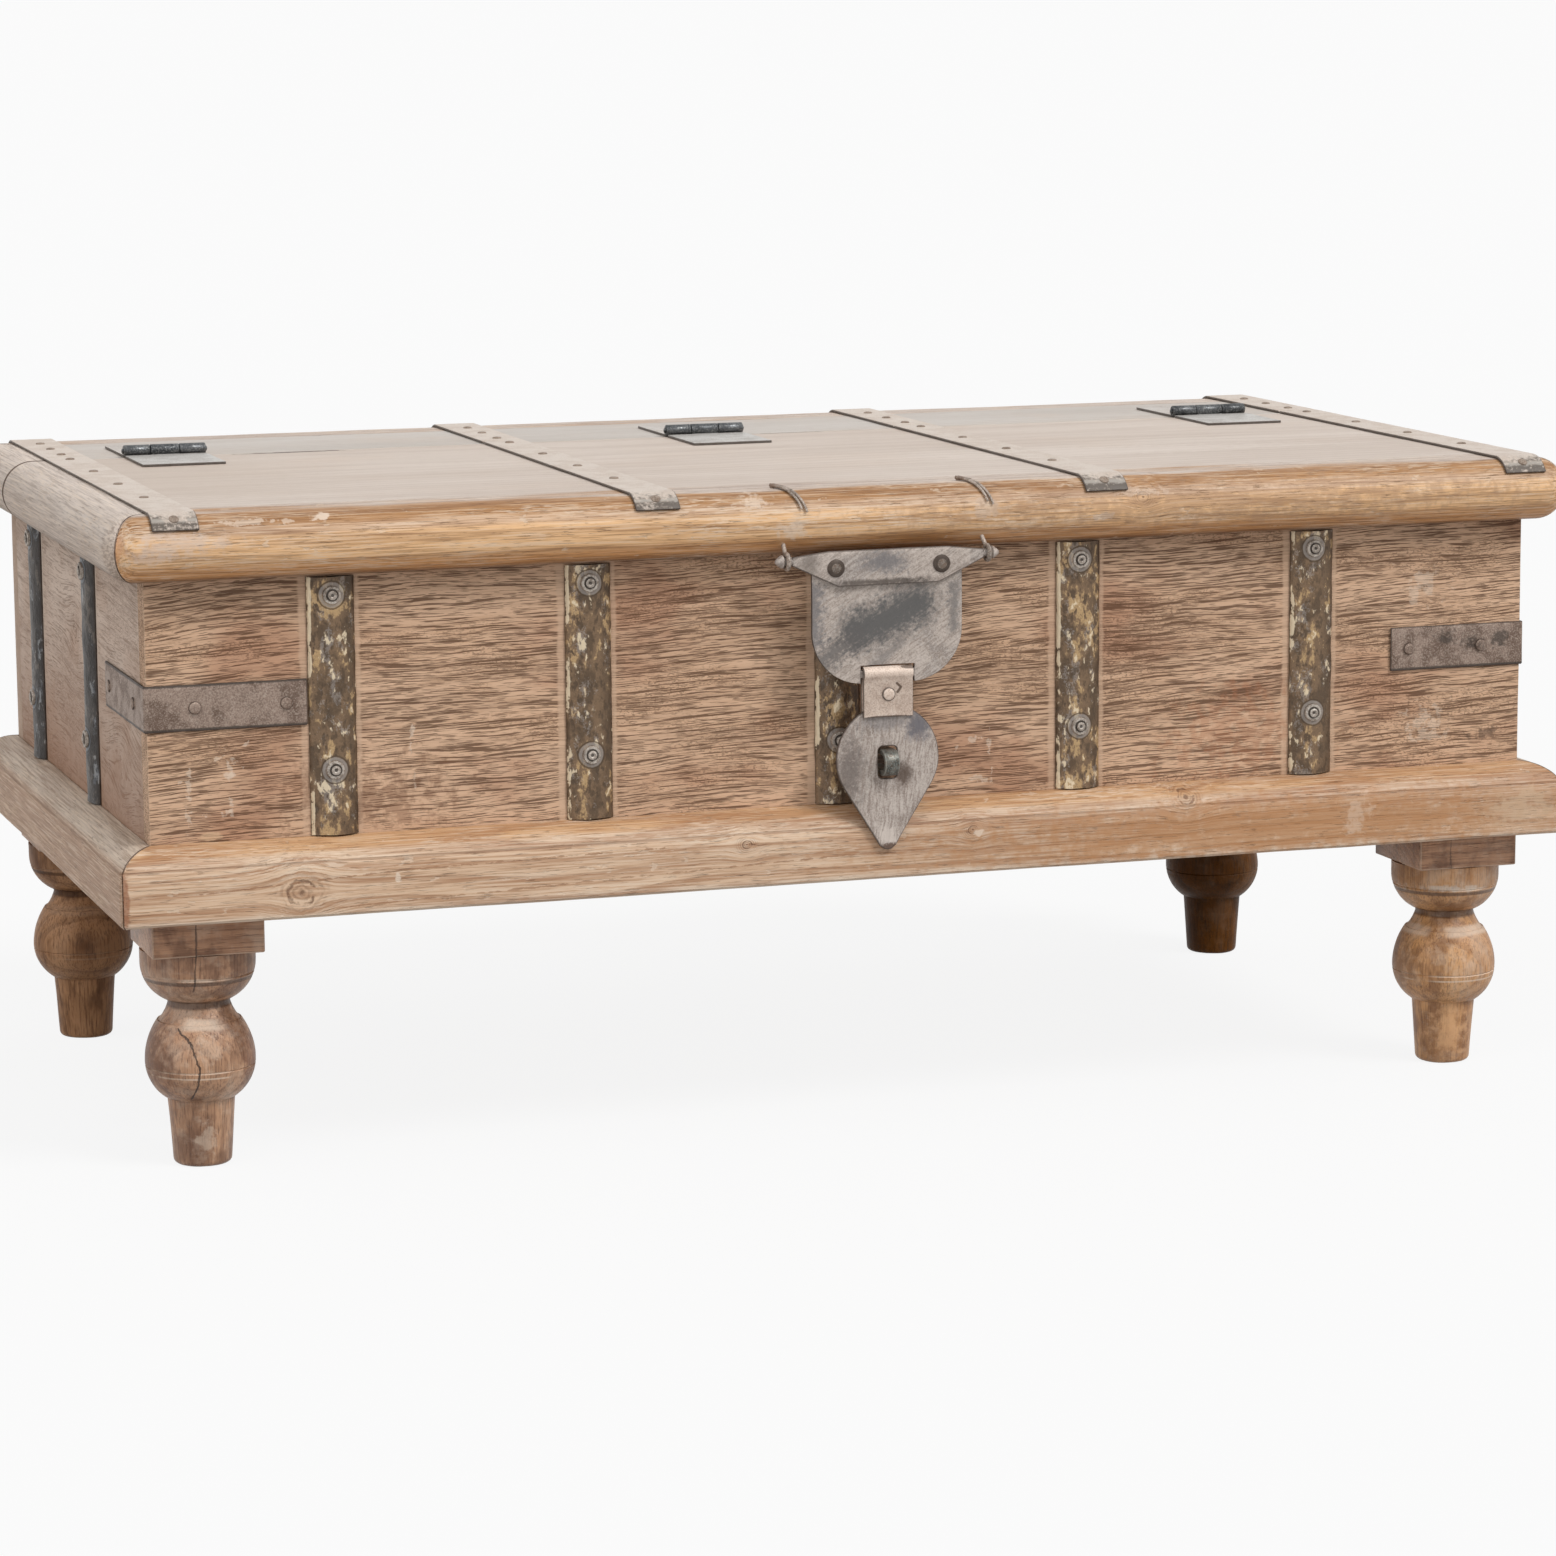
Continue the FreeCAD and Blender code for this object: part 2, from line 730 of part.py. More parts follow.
def top_nail_spots(sign, count, pitch):
    """Nails along each strap and one on its bent tip, on the front (-1) or rear (1)."""
    surface = "lid_top + top_strap_lift + top_strap_thickness"
    start = "split_front" if sign < 0 else "split_rear"
    tip_radius = "(nose_radius + top_strap_lift + top_strap_thickness)"
    tip_y = f"{sign} * (nose_y + {tip_radius} * sin(tip_nail_angle * 1deg))"
    tip_z = f"nose_z + {tip_radius} * cos(tip_nail_angle * 1deg)"
    spots = []
    for index in range(TOP_STRAP_COUNT):
        x = top_strap_x(index)
        for step in range(count):
            y = f"{start} + {sign} * (nail_first + {step} * {pitch})"
            spots.append((x, y, surface))
        spots.append((x, tip_y, tip_z, X_AXIS, -sign * value("tip_nail_angle")))
    return spots


def make_top_straps():
    """Straps and nails of the hinged part and of the fixed strip; returns the drills."""
    nail = headed_pin(
        "StrapNail", "nail_head_radius", "nail_head_height", "nail_radius", "nail_length"
    )
    bore = rod(
        "NailBore",
        "nail_radius + drill_clearance",
        "nail_length + drill_clearance + top_strap_thickness",
        z="-nail_length - drill_clearance",
    )
    drill = compound("NailDrill", [bore])
    parts = {
        "lid": (-1, FRONT_NAIL_COUNT, "nail_pitch_front", "nose_y + split_front"),
        "rear": (1, REAR_NAIL_COUNT, "nail_pitch_rear", "nose_y - (split_rear)"),
    }
    drills = {}
    for part, (sign, count, pitch, reach) in parts.items():
        spots = top_nail_spots(sign, count, pitch)
        drills[part] = copies(f"NailDrill{part}", drill, spots)
        straps = []
        for index in range(TOP_STRAP_COUNT):
            blank = top_strap_blank(f"TopBlank{part}{index}", reach)
            place(blank, top_strap_x(index), f"{sign} * nose_y", "nose_z", Z_AXIS, 90 + 90 * sign)
            own = drills[part][index * (count + 1) : (index + 1) * (count + 1)]
            straps.append(cut(f"TopStrap{part}{index}", blank, own))
        if part == "lid":
            for index, strap in enumerate(straps, start=1):
                node(strap, f"lid_strap_{index}")
        else:
            node(compound("RearStraps", straps), "rear_straps")
        node(compound(f"Nails{part}", copies(f"Nail{part}", nail, spots)), f"{part}_strap_nails")
    return drills


# ------------------------------------------------------------------------------- hinges
def hinge_x(index):
    step = f"hinge_run / {HINGE_COUNT - 1}"
    return f"(hinge_left_inset - lid_length / 2 + {index} * {step})"


def leaf_screw_spots(index, sign):
    """Three screws in one leaf, on the front (-1) or rear (1) of the hinge line."""
    top = "lid_top + leaf_thickness"
    near = f"split_y + {sign} * leaf_screw_near"
    far = f"split_y + {sign} * leaf_screw_far"
    return [
        (f"{hinge_x(index)} - leaf_screw_spread / 2", near, top),
        (f"{hinge_x(index)} + leaf_screw_spread / 2", near, top),
        (hinge_x(index), far, top),
    ]


def countersunk(name, clearance):
    """A countersunk screw with its flat head flush at its own origin, or its hole."""
    head = f"leaf_screw_head + {clearance}"
    shank = f"screw_radius + {clearance}"
    depth = f"-leaf_screw_length - {clearance}"
    neck = f"-leaf_thickness - {clearance}"
    return turned(name, [("0", depth), (shank, depth), (shank, neck), (head, "0"), ("0", "0")])


def make_leaf(name, x, sign, knuckles, reliefs, drills):
    """One leaf: a plate on the top board, its knuckles, and room for the other's."""
    plate = box(
        f"{name}Plate",
        "hinge_width",
        "leaf_length",
        "leaf_thickness",
        x=x,
        y=f"split_y + {sign} * leaf_length / 2",
        z="lid_top",
    )
    relief_depth = "2 * (knuckle_radius + leaf_relief)"
    cutters = [
        box(
            f"{name}Relief{i}",
            width,
            relief_depth,
            "leaf_thickness",
            f"{x} + {at}",
            "split_y",
            "lid_top",
        )
        for i, (at, width) in enumerate(reliefs)
    ]
    plate = cut(f"{name}Blank", plate, cutters)
    barrels = [
        rod(
            f"{name}Knuckle{i}",
            "knuckle_radius",
            width,
            f"{x} + {at} - ({width}) / 2",
            "split_y",
            "hinge_z",
            Y_AXIS,
            90,
        )
        for i, (at, width) in enumerate(knuckles)
    ]
    bore = rod(
        f"{name}Bore",
        "hinge_pin_radius + hinge_pin_clearance",
        "hinge_width",
        f"{x} - hinge_width / 2",
        "split_y",
        "hinge_z",
        Y_AXIS,
        90,
    )
    return cut(f"{name}Leaf", fuse(f"{name}Body", [plate] + barrels), [bore] + drills)


def make_hinges():
    """Three butt hinges: the rear leaves hold the pins; returns the screw holes."""
    screw = countersunk("LeafScrew", "0")
    hole = countersunk("LeafScrewHole", "drill_clearance")
    side_at = "(middle_knuckle + side_knuckle) / 2 + knuckle_gap"
    outer = [(f"-({side_at})", "side_knuckle"), (f"({side_at})", "side_knuckle")]
    inner = [("0", "middle_knuckle")]
    outer_room = [(at, f"side_knuckle + 2 * knuckle_gap") for at, _ in outer]
    inner_room = [("0", "middle_knuckle + 2 * knuckle_gap")]
    parts = {"rear": (1, outer, inner_room), "front": (-1, inner, outer_room)}
    holes = {}
    for part, (sign, knuckles, room) in parts.items():
        holes[part] = []
        leaves = []
        screws = []
        for index in range(HINGE_COUNT):
            spots = leaf_screw_spots(index, sign)
            own = copies(f"LeafHole{part}{index}", hole, spots)
            name = f"Hinge{part}{index}"
            leaves.append(make_leaf(name, hinge_x(index), sign, knuckles, room, own))
            holes[part] += own
            screws += copies(f"LeafScrew{part}{index}", screw, spots)
        node(compound(f"HingeLeaves{part}", leaves), f"hinge_{part}_leaves")
        node(compound(f"HingeScrews{part}", screws), f"hinge_{part}_screws")
    pins = [
        rod(
            f"HingePin{index}",
            "hinge_pin_radius",
            "hinge_width + 2 * pin_overhang",
            f"{hinge_x(index)} - hinge_width / 2 - pin_overhang",
            "split_y",
            "hinge_z",
            Y_AXIS,
            90,
        )
        for index in range(HINGE_COUNT)
    ]
    node(compound("HingePins", pins), "hinge_pins")
    return holes


# ---------------------------------------------------------------------------- the top
def make_hinge_rail():
    """The rail under the split, let in between the side walls and the top's mouldings."""
    half = "inner_length / 2"
    neck = "(board_length / 2 - rail_clearance)"
    shoulder = "(lid_bottom - board_bottom - rail_clearance)"
    blank = padded(
        "HingeRail",
        "XZ_Plane",
        [
            [
                (f"-{half}", "-rail_height"),
                (half, "-rail_height"),
                (half, shoulder),
                (neck, shoulder),
                (neck, "0"),
                (f"-{neck}", "0"),
                (f"-{neck}", shoulder),
                (f"-{half}", shoulder),
            ]
        ],
        "rail_width",
    )
    return place(blank, y="split_y", z="board_bottom")


def make_top(nail_drills, leaf_holes, eye_holes):
    """The hinged top and the fixed strip behind it."""
    front = lid_rail("LidFrontRail", "lid_length", (-1, 1))
    place(front, y="-half_depth", z="lid_bottom")
    node(cut("LidFront", front, nail_drills["lid"] + eye_holes), "lid_front_moulding")
    rear = lid_rail("RearRail", "lid_length", (-1, 1))
    place(rear, y="half_depth", z="lid_bottom", angle=180)
    node(cut("RearMoulding", rear, nail_drills["rear"]), "rear_moulding")
    lid_run = "(half_depth + lid_overhang + split_front)"
    rear_run = "(half_depth + lid_overhang - (split_rear))"
    for side, sign in SIDES:
        lid_side = lid_rail(f"LidRail{side}", lid_run, (-sign,))
        middle = f"split_front - {lid_run} / 2"
        place(lid_side, f"{sign} * half_length", middle, "lid_bottom", Z_AXIS, 90 * sign)
        node(cut(f"LidSide{side}", lid_side, nail_drills["lid"]), f"lid_{side}_moulding")
        rear_side = lid_rail(f"RearRail{side}", rear_run, (sign,))
        middle = f"split_rear + {rear_run} / 2"
        place(rear_side, f"{sign} * half_length", middle, "lid_bottom", Z_AXIS, 90 * sign)
        node(cut(f"RearEnd{side}", rear_side, nail_drills["rear"]), f"rear_end_{side}")
    lid_depth = "(board_edge + split_front)"
    rear_depth = "(board_edge - (split_rear))"
    lid_board = box(
        "LidPlank", "board_length", lid_depth, "top_thickness",
        y=f"split_front - {lid_depth} / 2", z="board_bottom",
    )
    node(cut("LidBoard", lid_board, nail_drills["lid"] + leaf_holes["front"]), "lid_board")
    rear_board = box(
        "RearPlank", "board_length", rear_depth, "top_thickness",
        y=f"split_rear + {rear_depth} / 2", z="board_bottom",
    )
    node(cut("RearBoard", rear_board, nail_drills["rear"] + leaf_holes["rear"]), "rear_top_board")
    node(make_hinge_rail(), "hinge_rail")
    batten_length = "(board_edge + split_y - rail_width / 2 - 2 * batten_clearance)"
    battens = [
        box(
            f"Batten{side}", "batten_width", batten_length, "batten_height",
            x=f"{sign} * (board_length / 2 - batten_inset)",
            y=f"batten_clearance - board_edge + {batten_length} / 2",
            z="board_bottom - batten_height",
        )
        for side, sign in SIDES
    ]
    node(compound("LidBattens", battens), "lid_battens")


# -------------------------------------------------------------------------------- hasp
def make_hasp_bar(rivet_holes):
    """The hanger: a plate tapered to a round pin and a pointed finial at each end."""
    x, y, z = "hasp_middle", "-(plate_y + (hasp_plate_thickness + bar_thickness) / 2)", "pivot_z"
    blank = padded(
        "BarBlank",
        "XZ_Plane",
        [
            [
                ("-bar_bottom_half", "-bar_drop"),
                ("bar_bottom_half", "-bar_drop"),
                ("bar_half", "-bar_end_half"),
                ("bar_half", "bar_end_half"),
                ("bar_top_half", "bar_rise"),
                ("-bar_top_half", "bar_rise"),
                ("-bar_half", "bar_end_half"),
                ("-bar_half", "-bar_end_half"),
            ]
        ],
        "bar_thickness",
    )
    members = [place(blank, x, y, z)]
    for side, sign in SIDES:
        pin_length = "bar_pin_root + bar_neck"
        start = f"hasp_middle + {sign} * (bar_half - bar_pin_root)"
        members.append(
            rod(f"BarPin{side}", "bar_pin_radius", pin_length, start, "-pivot_y", z, Y_AXIS, 90 * sign)
        )
        finial = doc.addObject("Part::Cone", f"Finial{side}")
        finial.setExpression("Radius1", formula("finial_radius"))
        finial.setExpression("Radius2", formula("finial_tip"))
        finial.setExpression("Height", formula("finial_length"))
        place(finial, f"hasp_middle + {sign} * finial_start", "-pivot_y", z, Y_AXIS, 90 * sign)
        members.append(finial)
    node(cut("HaspBar", fuse("BarBody", members), rivet_holes), "hasp_bar")


def make_hasp_plate(rivet_holes):
    """The upper leaf: a plate rounded below, with a slotted web for the link."""
    half = "plate_width / 2"
    bottom = "-plate_bottom"
    notch = "(link_width / 2 + link_side_gap)"
    web = "(plate_notch - plate_bottom)"
    slot_low = f"({web} + web_height)"
    slot_high = f"({slot_low} + plate_slot_height)"
    edge = [
        (f"-{half}", "plate_top"),
        (f"-{half}", "plate_round - plate_bottom"),
        (f"-{notch}", bottom),
        (f"-{notch}", web),
        (notch, web),
        (notch, bottom),
        (half, "plate_round - plate_bottom"),
        (half, "plate_top"),
    ]
    slot = [(f"-{notch}", slot_low), (f"-{notch}", slot_high), (notch, slot_high), (notch, slot_low)]
    arcs = {
        (0, 1): ("y", "plate_round - plate_bottom", False),
        (0, 5): ("y", "plate_round - plate_bottom", False),
    }
    blank = padded("PlateBlank", "XZ_Plane", [edge, slot], "hasp_plate_thickness", arcs)
    place(blank, "hasp_middle", "-plate_y", "pivot_z")
    node(cut("HaspPlate", blank, rivet_holes), "hasp_plate")


def make_hasp_link(rivet_hole):
    """The strap looped through the plate's slot, gripping the neck of the drop."""
    x = "hasp_middle - link_width / 2"
    y = "-plate_y"
    sheet_depth = "(hasp_plate_thickness + 2 * link_neck_gap)"
    ring = rod("LinkRing", "link_outer_radius", "link_width", x, y, "link_z", Y_AXIS, 90)
    legs = box(
        "LinkLegs", "link_width", f"{sheet_depth} + 2 * link_wall", "link_length",
        x="hasp_middle", y=y, z="link_z - link_length",
    )
    hollow = rod("LinkHollow", "link_inner_radius", "link_width", x, y, "link_z", Y_AXIS, 90)
    throat = box(
        "LinkThroat", "link_width", sheet_depth, "link_length",
        x="hasp_middle", y=y, z="link_z - link_length",
    )
    body = fuse("LinkBody", [ring, legs])
    node(cut("HaspLink", body, [hollow, throat, rivet_hole]), "hasp_link")


def make_hasp_drop(rivet_hole):
    """The lower leaf: a round plate drawn down to a blunt tip, slotted for the staple."""
    fall = "(drop_tip - drop_middle - tip_rise)"
    slope = f"(asin(drop_radius / sqrt({fall} ^ 2 + tip_half ^ 2)) - atan(tip_half / {fall}))"
    side_x = f"drop_radius * cos({slope})"
    side_z = f"-drop_radius * sin({slope})"
    neck = "neck_width / 2"
    root = f"sqrt(drop_radius ^ 2 - ({neck}) ^ 2)"
    top = "(drop_middle - neck_top_gap)"
    edge = [
        (f"-{neck}", top),
        (f"-{neck}", root),
        (f"-{side_x}", side_z),
        ("-tip_half", f"-{fall}"),
        ("0", "drop_middle - drop_tip"),
        ("tip_half", f"-{fall}"),
        (side_x, side_z),
        (neck, root),
        (neck, top),
    ]
    slot = [
        ("-slot_width / 2", "-slot_below_middle - slot_height / 2"),
        ("-slot_width / 2", "-slot_below_middle + slot_height / 2"),
        ("slot_width / 2", "-slot_below_middle + slot_height / 2"),
        ("slot_width / 2", "-slot_below_middle - slot_height / 2"),
    ]
    arcs = {
        (0, 1): ("x", "0", False),
        (0, 3): ("x", "0", False),
        (0, 4): ("x", "0", False),
        (0, 6): ("x", "0", False),
    }
    blank = padded("DropBlank", "XZ_Plane", [edge, slot], "hasp_plate_thickness", arcs)
    place(blank, "hasp_middle", "-plate_y", "drop_z")
    node(cut("HaspDrop", blank, [rivet_hole]), "hasp_drop")


def through_rivet(name, x, z, front, back, radius, head):
    """A rivet along Y between two faces, with a domed head on each; returns it and its hole."""
    grip = f"(({front}) - ({back}))"
    pin = turned(
        name,
        [
            ("0", "-rivet_head_height"),
            (head, "0"),
            (radius, "0"),
            (radius, grip),
            (head, grip),
            ("0", f"{grip} + rivet_head_height"),
        ],
        {(0, 0): ("x", "0", False), (0, 4): ("x", "0", False)},
    )
    place(pin, x, f"-({back})", z, X_AXIS, 90)
    hole = rod(
        f"{name}Hole", f"{radius} + drill_clearance", f"{grip} + 2 * rivet_head_height",
        x, f"rivet_head_height - ({back})", z, X_AXIS, 90,
    )
    return pin, hole


def make_hasp():
    """Bar and plate swing on the eyes; link and drop swing on the plate's web."""
    plate_back = "plate_y - hasp_plate_thickness / 2"
    bar_front = "plate_y + hasp_plate_thickness / 2 + bar_thickness"
    pins = []
    holes = []
    for side, sign in SIDES:
        x = f"hasp_middle + {sign} * bar_rivet_spread / 2"
        pin, hole = through_rivet(
            f"BarRivet{side}", x, "pivot_z - bar_rivet_drop", bar_front, plate_back,
            "bar_rivet_radius", "screw_head_radius",
        )
        pins.append(pin)
        holes.append(hole)
    node(compound("HaspRivets", pins), "hasp_rivets")
    make_hasp_bar(holes)
    make_hasp_plate(holes)
    link_face = "hasp_plate_thickness / 2 + link_neck_gap + link_wall"
    pin, hole = through_rivet(
        "LinkRivet", "hasp_middle", "link_z - link_rivet_drop",
        f"plate_y + {link_face}", f"plate_y - ({link_face})", "bar_rivet_radius", "link_rivet_head",
    )
    node(pin, "hasp_link_rivet")
    make_hasp_link(hole)
    make_hasp_drop(hole)


def make_staple():
    """The loop that the drop's slot goes over; returns the sockets of its two legs."""
    half = "staple_height / 2"
    inner = f"({half} - staple_thickness)"
    reach = "(staple_front - half_depth)"
    bend = f"({half} - {reach})"
    root = "panel_thickness"
    staple = padded(
        "Staple",
        "YZ_Plane",
        [
            [
                (root, f"-{half}"),
                (root, f"-{inner}"),
                (bend, f"-{inner}"),
                (bend, inner),
                (root, inner),
                (root, half),
                (bend, half),
                (bend, f"-{half}"),
            ]
        ],
        "staple_width",
        {(0, 2): ("x", bend, True), (0, 6): ("x", bend, False)},
    )
    node(place(staple, "hasp_middle", "-half_depth", "slot_z"), "hasp_staple")
    return [
        box(
            f"StapleSocket{end}",
            "staple_width + 2 * drill_clearance",
            "panel_thickness",
            "staple_thickness + 2 * drill_clearance",
            x="hasp_middle",
            y="panel_thickness / 2 - half_depth",
            z=f"slot_z + {sign} * (staple_height - staple_thickness) / 2"
            " - staple_thickness / 2 - drill_clearance",
        )
        for end, sign in ENDS
    ]


def eye_points(ring_x, lean):
    """Where an eye's shank leaves the ring and where it comes out of the moulding."""
    ring = Vector(ring_x, -value("pivot_y"), value("pivot_z"))
    surface = value("lid_top + eye_wire_radius + eye_wire_lift")
    exit_point = Vector(ring_x + lean, value("eye_exit_back - nose_y"), surface)
    return ring, exit_point


def eye_shape(ring_x, lean):
    """A split pin: ring round the bar's pin, shank up through the nose, legs clinched over."""
    wire = value("eye_wire_radius")
    ring, exit_point = eye_points(ring_x, lean)
    along = (exit_point - ring).normalize()
    root = ring + along * value("eye_radius")
    torus = Part.makeTorus(value("eye_radius"), wire, ring, X_AXIS)
    shank = Part.makeCylinder(wire, (exit_point - root).Length, root, along)
    knee = Part.makeSphere(wire, exit_point)
    slant = Vector(value("clinch_slant"), -1, 0).normalize()
    path_radius = value("nose_radius + eye_wire_lift + eye_wire_radius")
    start_of_bend = exit_point + slant * (value("eye_exit_back") / -slant.y)
    centre = Vector(start_of_bend.x, -value("nose_y"), value("nose_z"))
    bend = Part.Ellipse(
        centre + slant * (path_radius / -slant.y), centre + Z_AXIS * path_radius, centre
    )
    last = math.radians(90 - value("clinch_angle"))
    arc = Part.ArcOfEllipse(bend, last, math.pi / 2).toShape()
    flat = Part.makeCylinder(wire, (start_of_bend - exit_point).Length, exit_point, slant)
    circle = Part.Wire([Part.Circle(start_of_bend, slant, wire).toShape()])
    clinched = Part.Wire([arc]).makePipeShell([circle], True, True)
    return torus.fuse([shank, knee, flat, clinched]).removeSplitter()


def make_eyes():
    """The two split pins that carry the hasp; returns their holes in the front moulding."""
    shapes = []
    holes = []
    for (side, sign), lean in zip(SIDES, ("left_eye_lean", "right_eye_lean")):
        ring_x = value(f"hasp_middle + {sign} * eye_spread / 2")
        shapes.append(eye_shape(ring_x, value(lean)))
        ring, exit_point = eye_points(ring_x, value(lean))
        along = (exit_point - ring).normalize()
        hole = doc.addObject("Part::Feature", f"EyeHole{side}")
        hole.Shape = Part.makeCylinder(
            value("eye_wire_radius + eye_wire_lift"), (exit_point - ring).Length, ring, along
        )
        holes.append(hole)
    eyes = doc.addObject("Part::Feature", "HaspEyes")
    eyes.Shape = Part.makeCompound(shapes)
    node(eyes, "hasp_eyes")
    return holes


# ---------------------------------------------------------------------------- assembly
make_plinth()
bolt_holes = make_legs()
strap_drills = make_wall_straps()
band_drills = make_corner_bands()
staple_sockets = make_staple()
make_box(
    strap_drills["front"] + band_drills["front"] + staple_sockets,
    {side: strap_drills[side] + band_drills[side] for side, _ in SIDES},
    bolt_holes,
)
nail_drills = make_top_straps()
leaf_holes = make_hinges()
make_top(nail_drills, leaf_holes, make_eyes())
make_hasp()
doc.recompute()

for obj in doc.Objects:
    if "Invalid" in obj.State or "Error" in obj.State:
        raise ValueError(f"{obj.Name} failed: {obj.State}")
for obj in nodes:
    if obj.Shape.isNull() or not obj.Shape.isValid() or not obj.Shape.Solids:
        raise ValueError(f"{obj.Label} has no valid solid")

os.makedirs("parts", exist_ok=True)
for obj in nodes:
    obj.Shape.exportStep(f"parts/{obj.Label}.step")
    print(f"{obj.Label}: {len(obj.Shape.Solids)} solids, {obj.Shape.Volume / 1000:.1f} cm3")
print(f"{len(nodes)} nodes")
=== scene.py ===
"""Low trunk table: an iron-strapped wooden box on turned legs, with a lift-up top and a hanging hasp."""
import logging
import math
from collections.abc import Callable, Iterable, Sequence
from dataclasses import dataclass, field
from enum import Enum

import bmesh
import bpy
from mathutils import Matrix, Vector, noise


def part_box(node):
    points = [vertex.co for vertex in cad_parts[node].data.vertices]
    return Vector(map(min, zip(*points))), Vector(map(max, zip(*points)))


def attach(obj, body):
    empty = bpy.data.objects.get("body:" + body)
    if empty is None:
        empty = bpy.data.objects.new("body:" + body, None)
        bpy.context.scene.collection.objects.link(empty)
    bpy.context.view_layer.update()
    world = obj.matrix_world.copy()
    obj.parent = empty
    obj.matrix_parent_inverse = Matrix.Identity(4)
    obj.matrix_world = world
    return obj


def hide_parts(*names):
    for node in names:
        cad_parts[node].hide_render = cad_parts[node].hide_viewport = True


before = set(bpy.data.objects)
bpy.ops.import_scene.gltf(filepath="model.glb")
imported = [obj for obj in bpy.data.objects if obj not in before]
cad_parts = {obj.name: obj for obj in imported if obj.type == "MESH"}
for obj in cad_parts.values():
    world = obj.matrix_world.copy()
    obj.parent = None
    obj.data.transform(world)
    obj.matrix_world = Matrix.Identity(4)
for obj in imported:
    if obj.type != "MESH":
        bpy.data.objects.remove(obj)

LOG = logging.getLogger("trunk_table")
Colour = tuple[float, float, float, float]


def paint(red: float, green: float, blue: float) -> Colour:
    """Turns a paint chart's 0 to 255 values into a linear colour.

    Args:
        red: Red value.
        green: Green value.
        blue: Blue value.

    Returns:
        The linear colour with an alpha of 1.
    """
    parts = [value / 255 for value in (red, green, blue)]
    flat = [p / 12.92 if p <= 0.04045 else ((p + 0.055) / 1.055) ** 2.4 for p in parts]
    return (flat[0], flat[1], flat[2], 1.0)


class Axis(Enum):
    """Directions of the frame."""

    X = (1.0, 0.0, 0.0)
    Y = (0.0, 1.0, 0.0)
    Z = (0.0, 0.0, 1.0)

    @property
    def way(self) -> Vector:
        """The direction as a vector."""
        return Vector(self.value)

    @property
    def letter(self) -> str:
        """The direction's letter."""
        return self.name


class Body(Enum):
    """Bodies that pieces ride on."""

    CHEST = "chest"
    LID = "lid"
    HASP = "hasp"
    DROP = "hasp_drop"


# ---------------------------------------------------------------- shapes


def arc(centre: tuple[float, float], radius: float, start: float, end: float, steps: int) -> list[tuple[float, float]]:
    """Points on an arc.

    Args:
        centre: Middle of the arc.
        radius: Radius of the arc.
        start: First angle in degrees.
        end: Last angle in degrees.
        steps: Number of runs between points.

    Returns:
        The points from start to end.
    """
    angles = [math.radians(start + (end - start) * i / steps) for i in range(steps + 1)]
    return [(centre[0] + radius * math.cos(a), centre[1] + radius * math.sin(a)) for a in angles]


def spaced(low: float, high: float, pitch: float) -> list[float]:
    """Evenly spaced places inside a span.

    Args:
        low: Start of the span.
        high: End of the span.
        pitch: Largest distance between places.

    Returns:
        The places, without the two ends.
    """
    count = max(1, math.ceil((high - low) / pitch))
    return [low + (high - low) * i / count for i in range(1, count)]


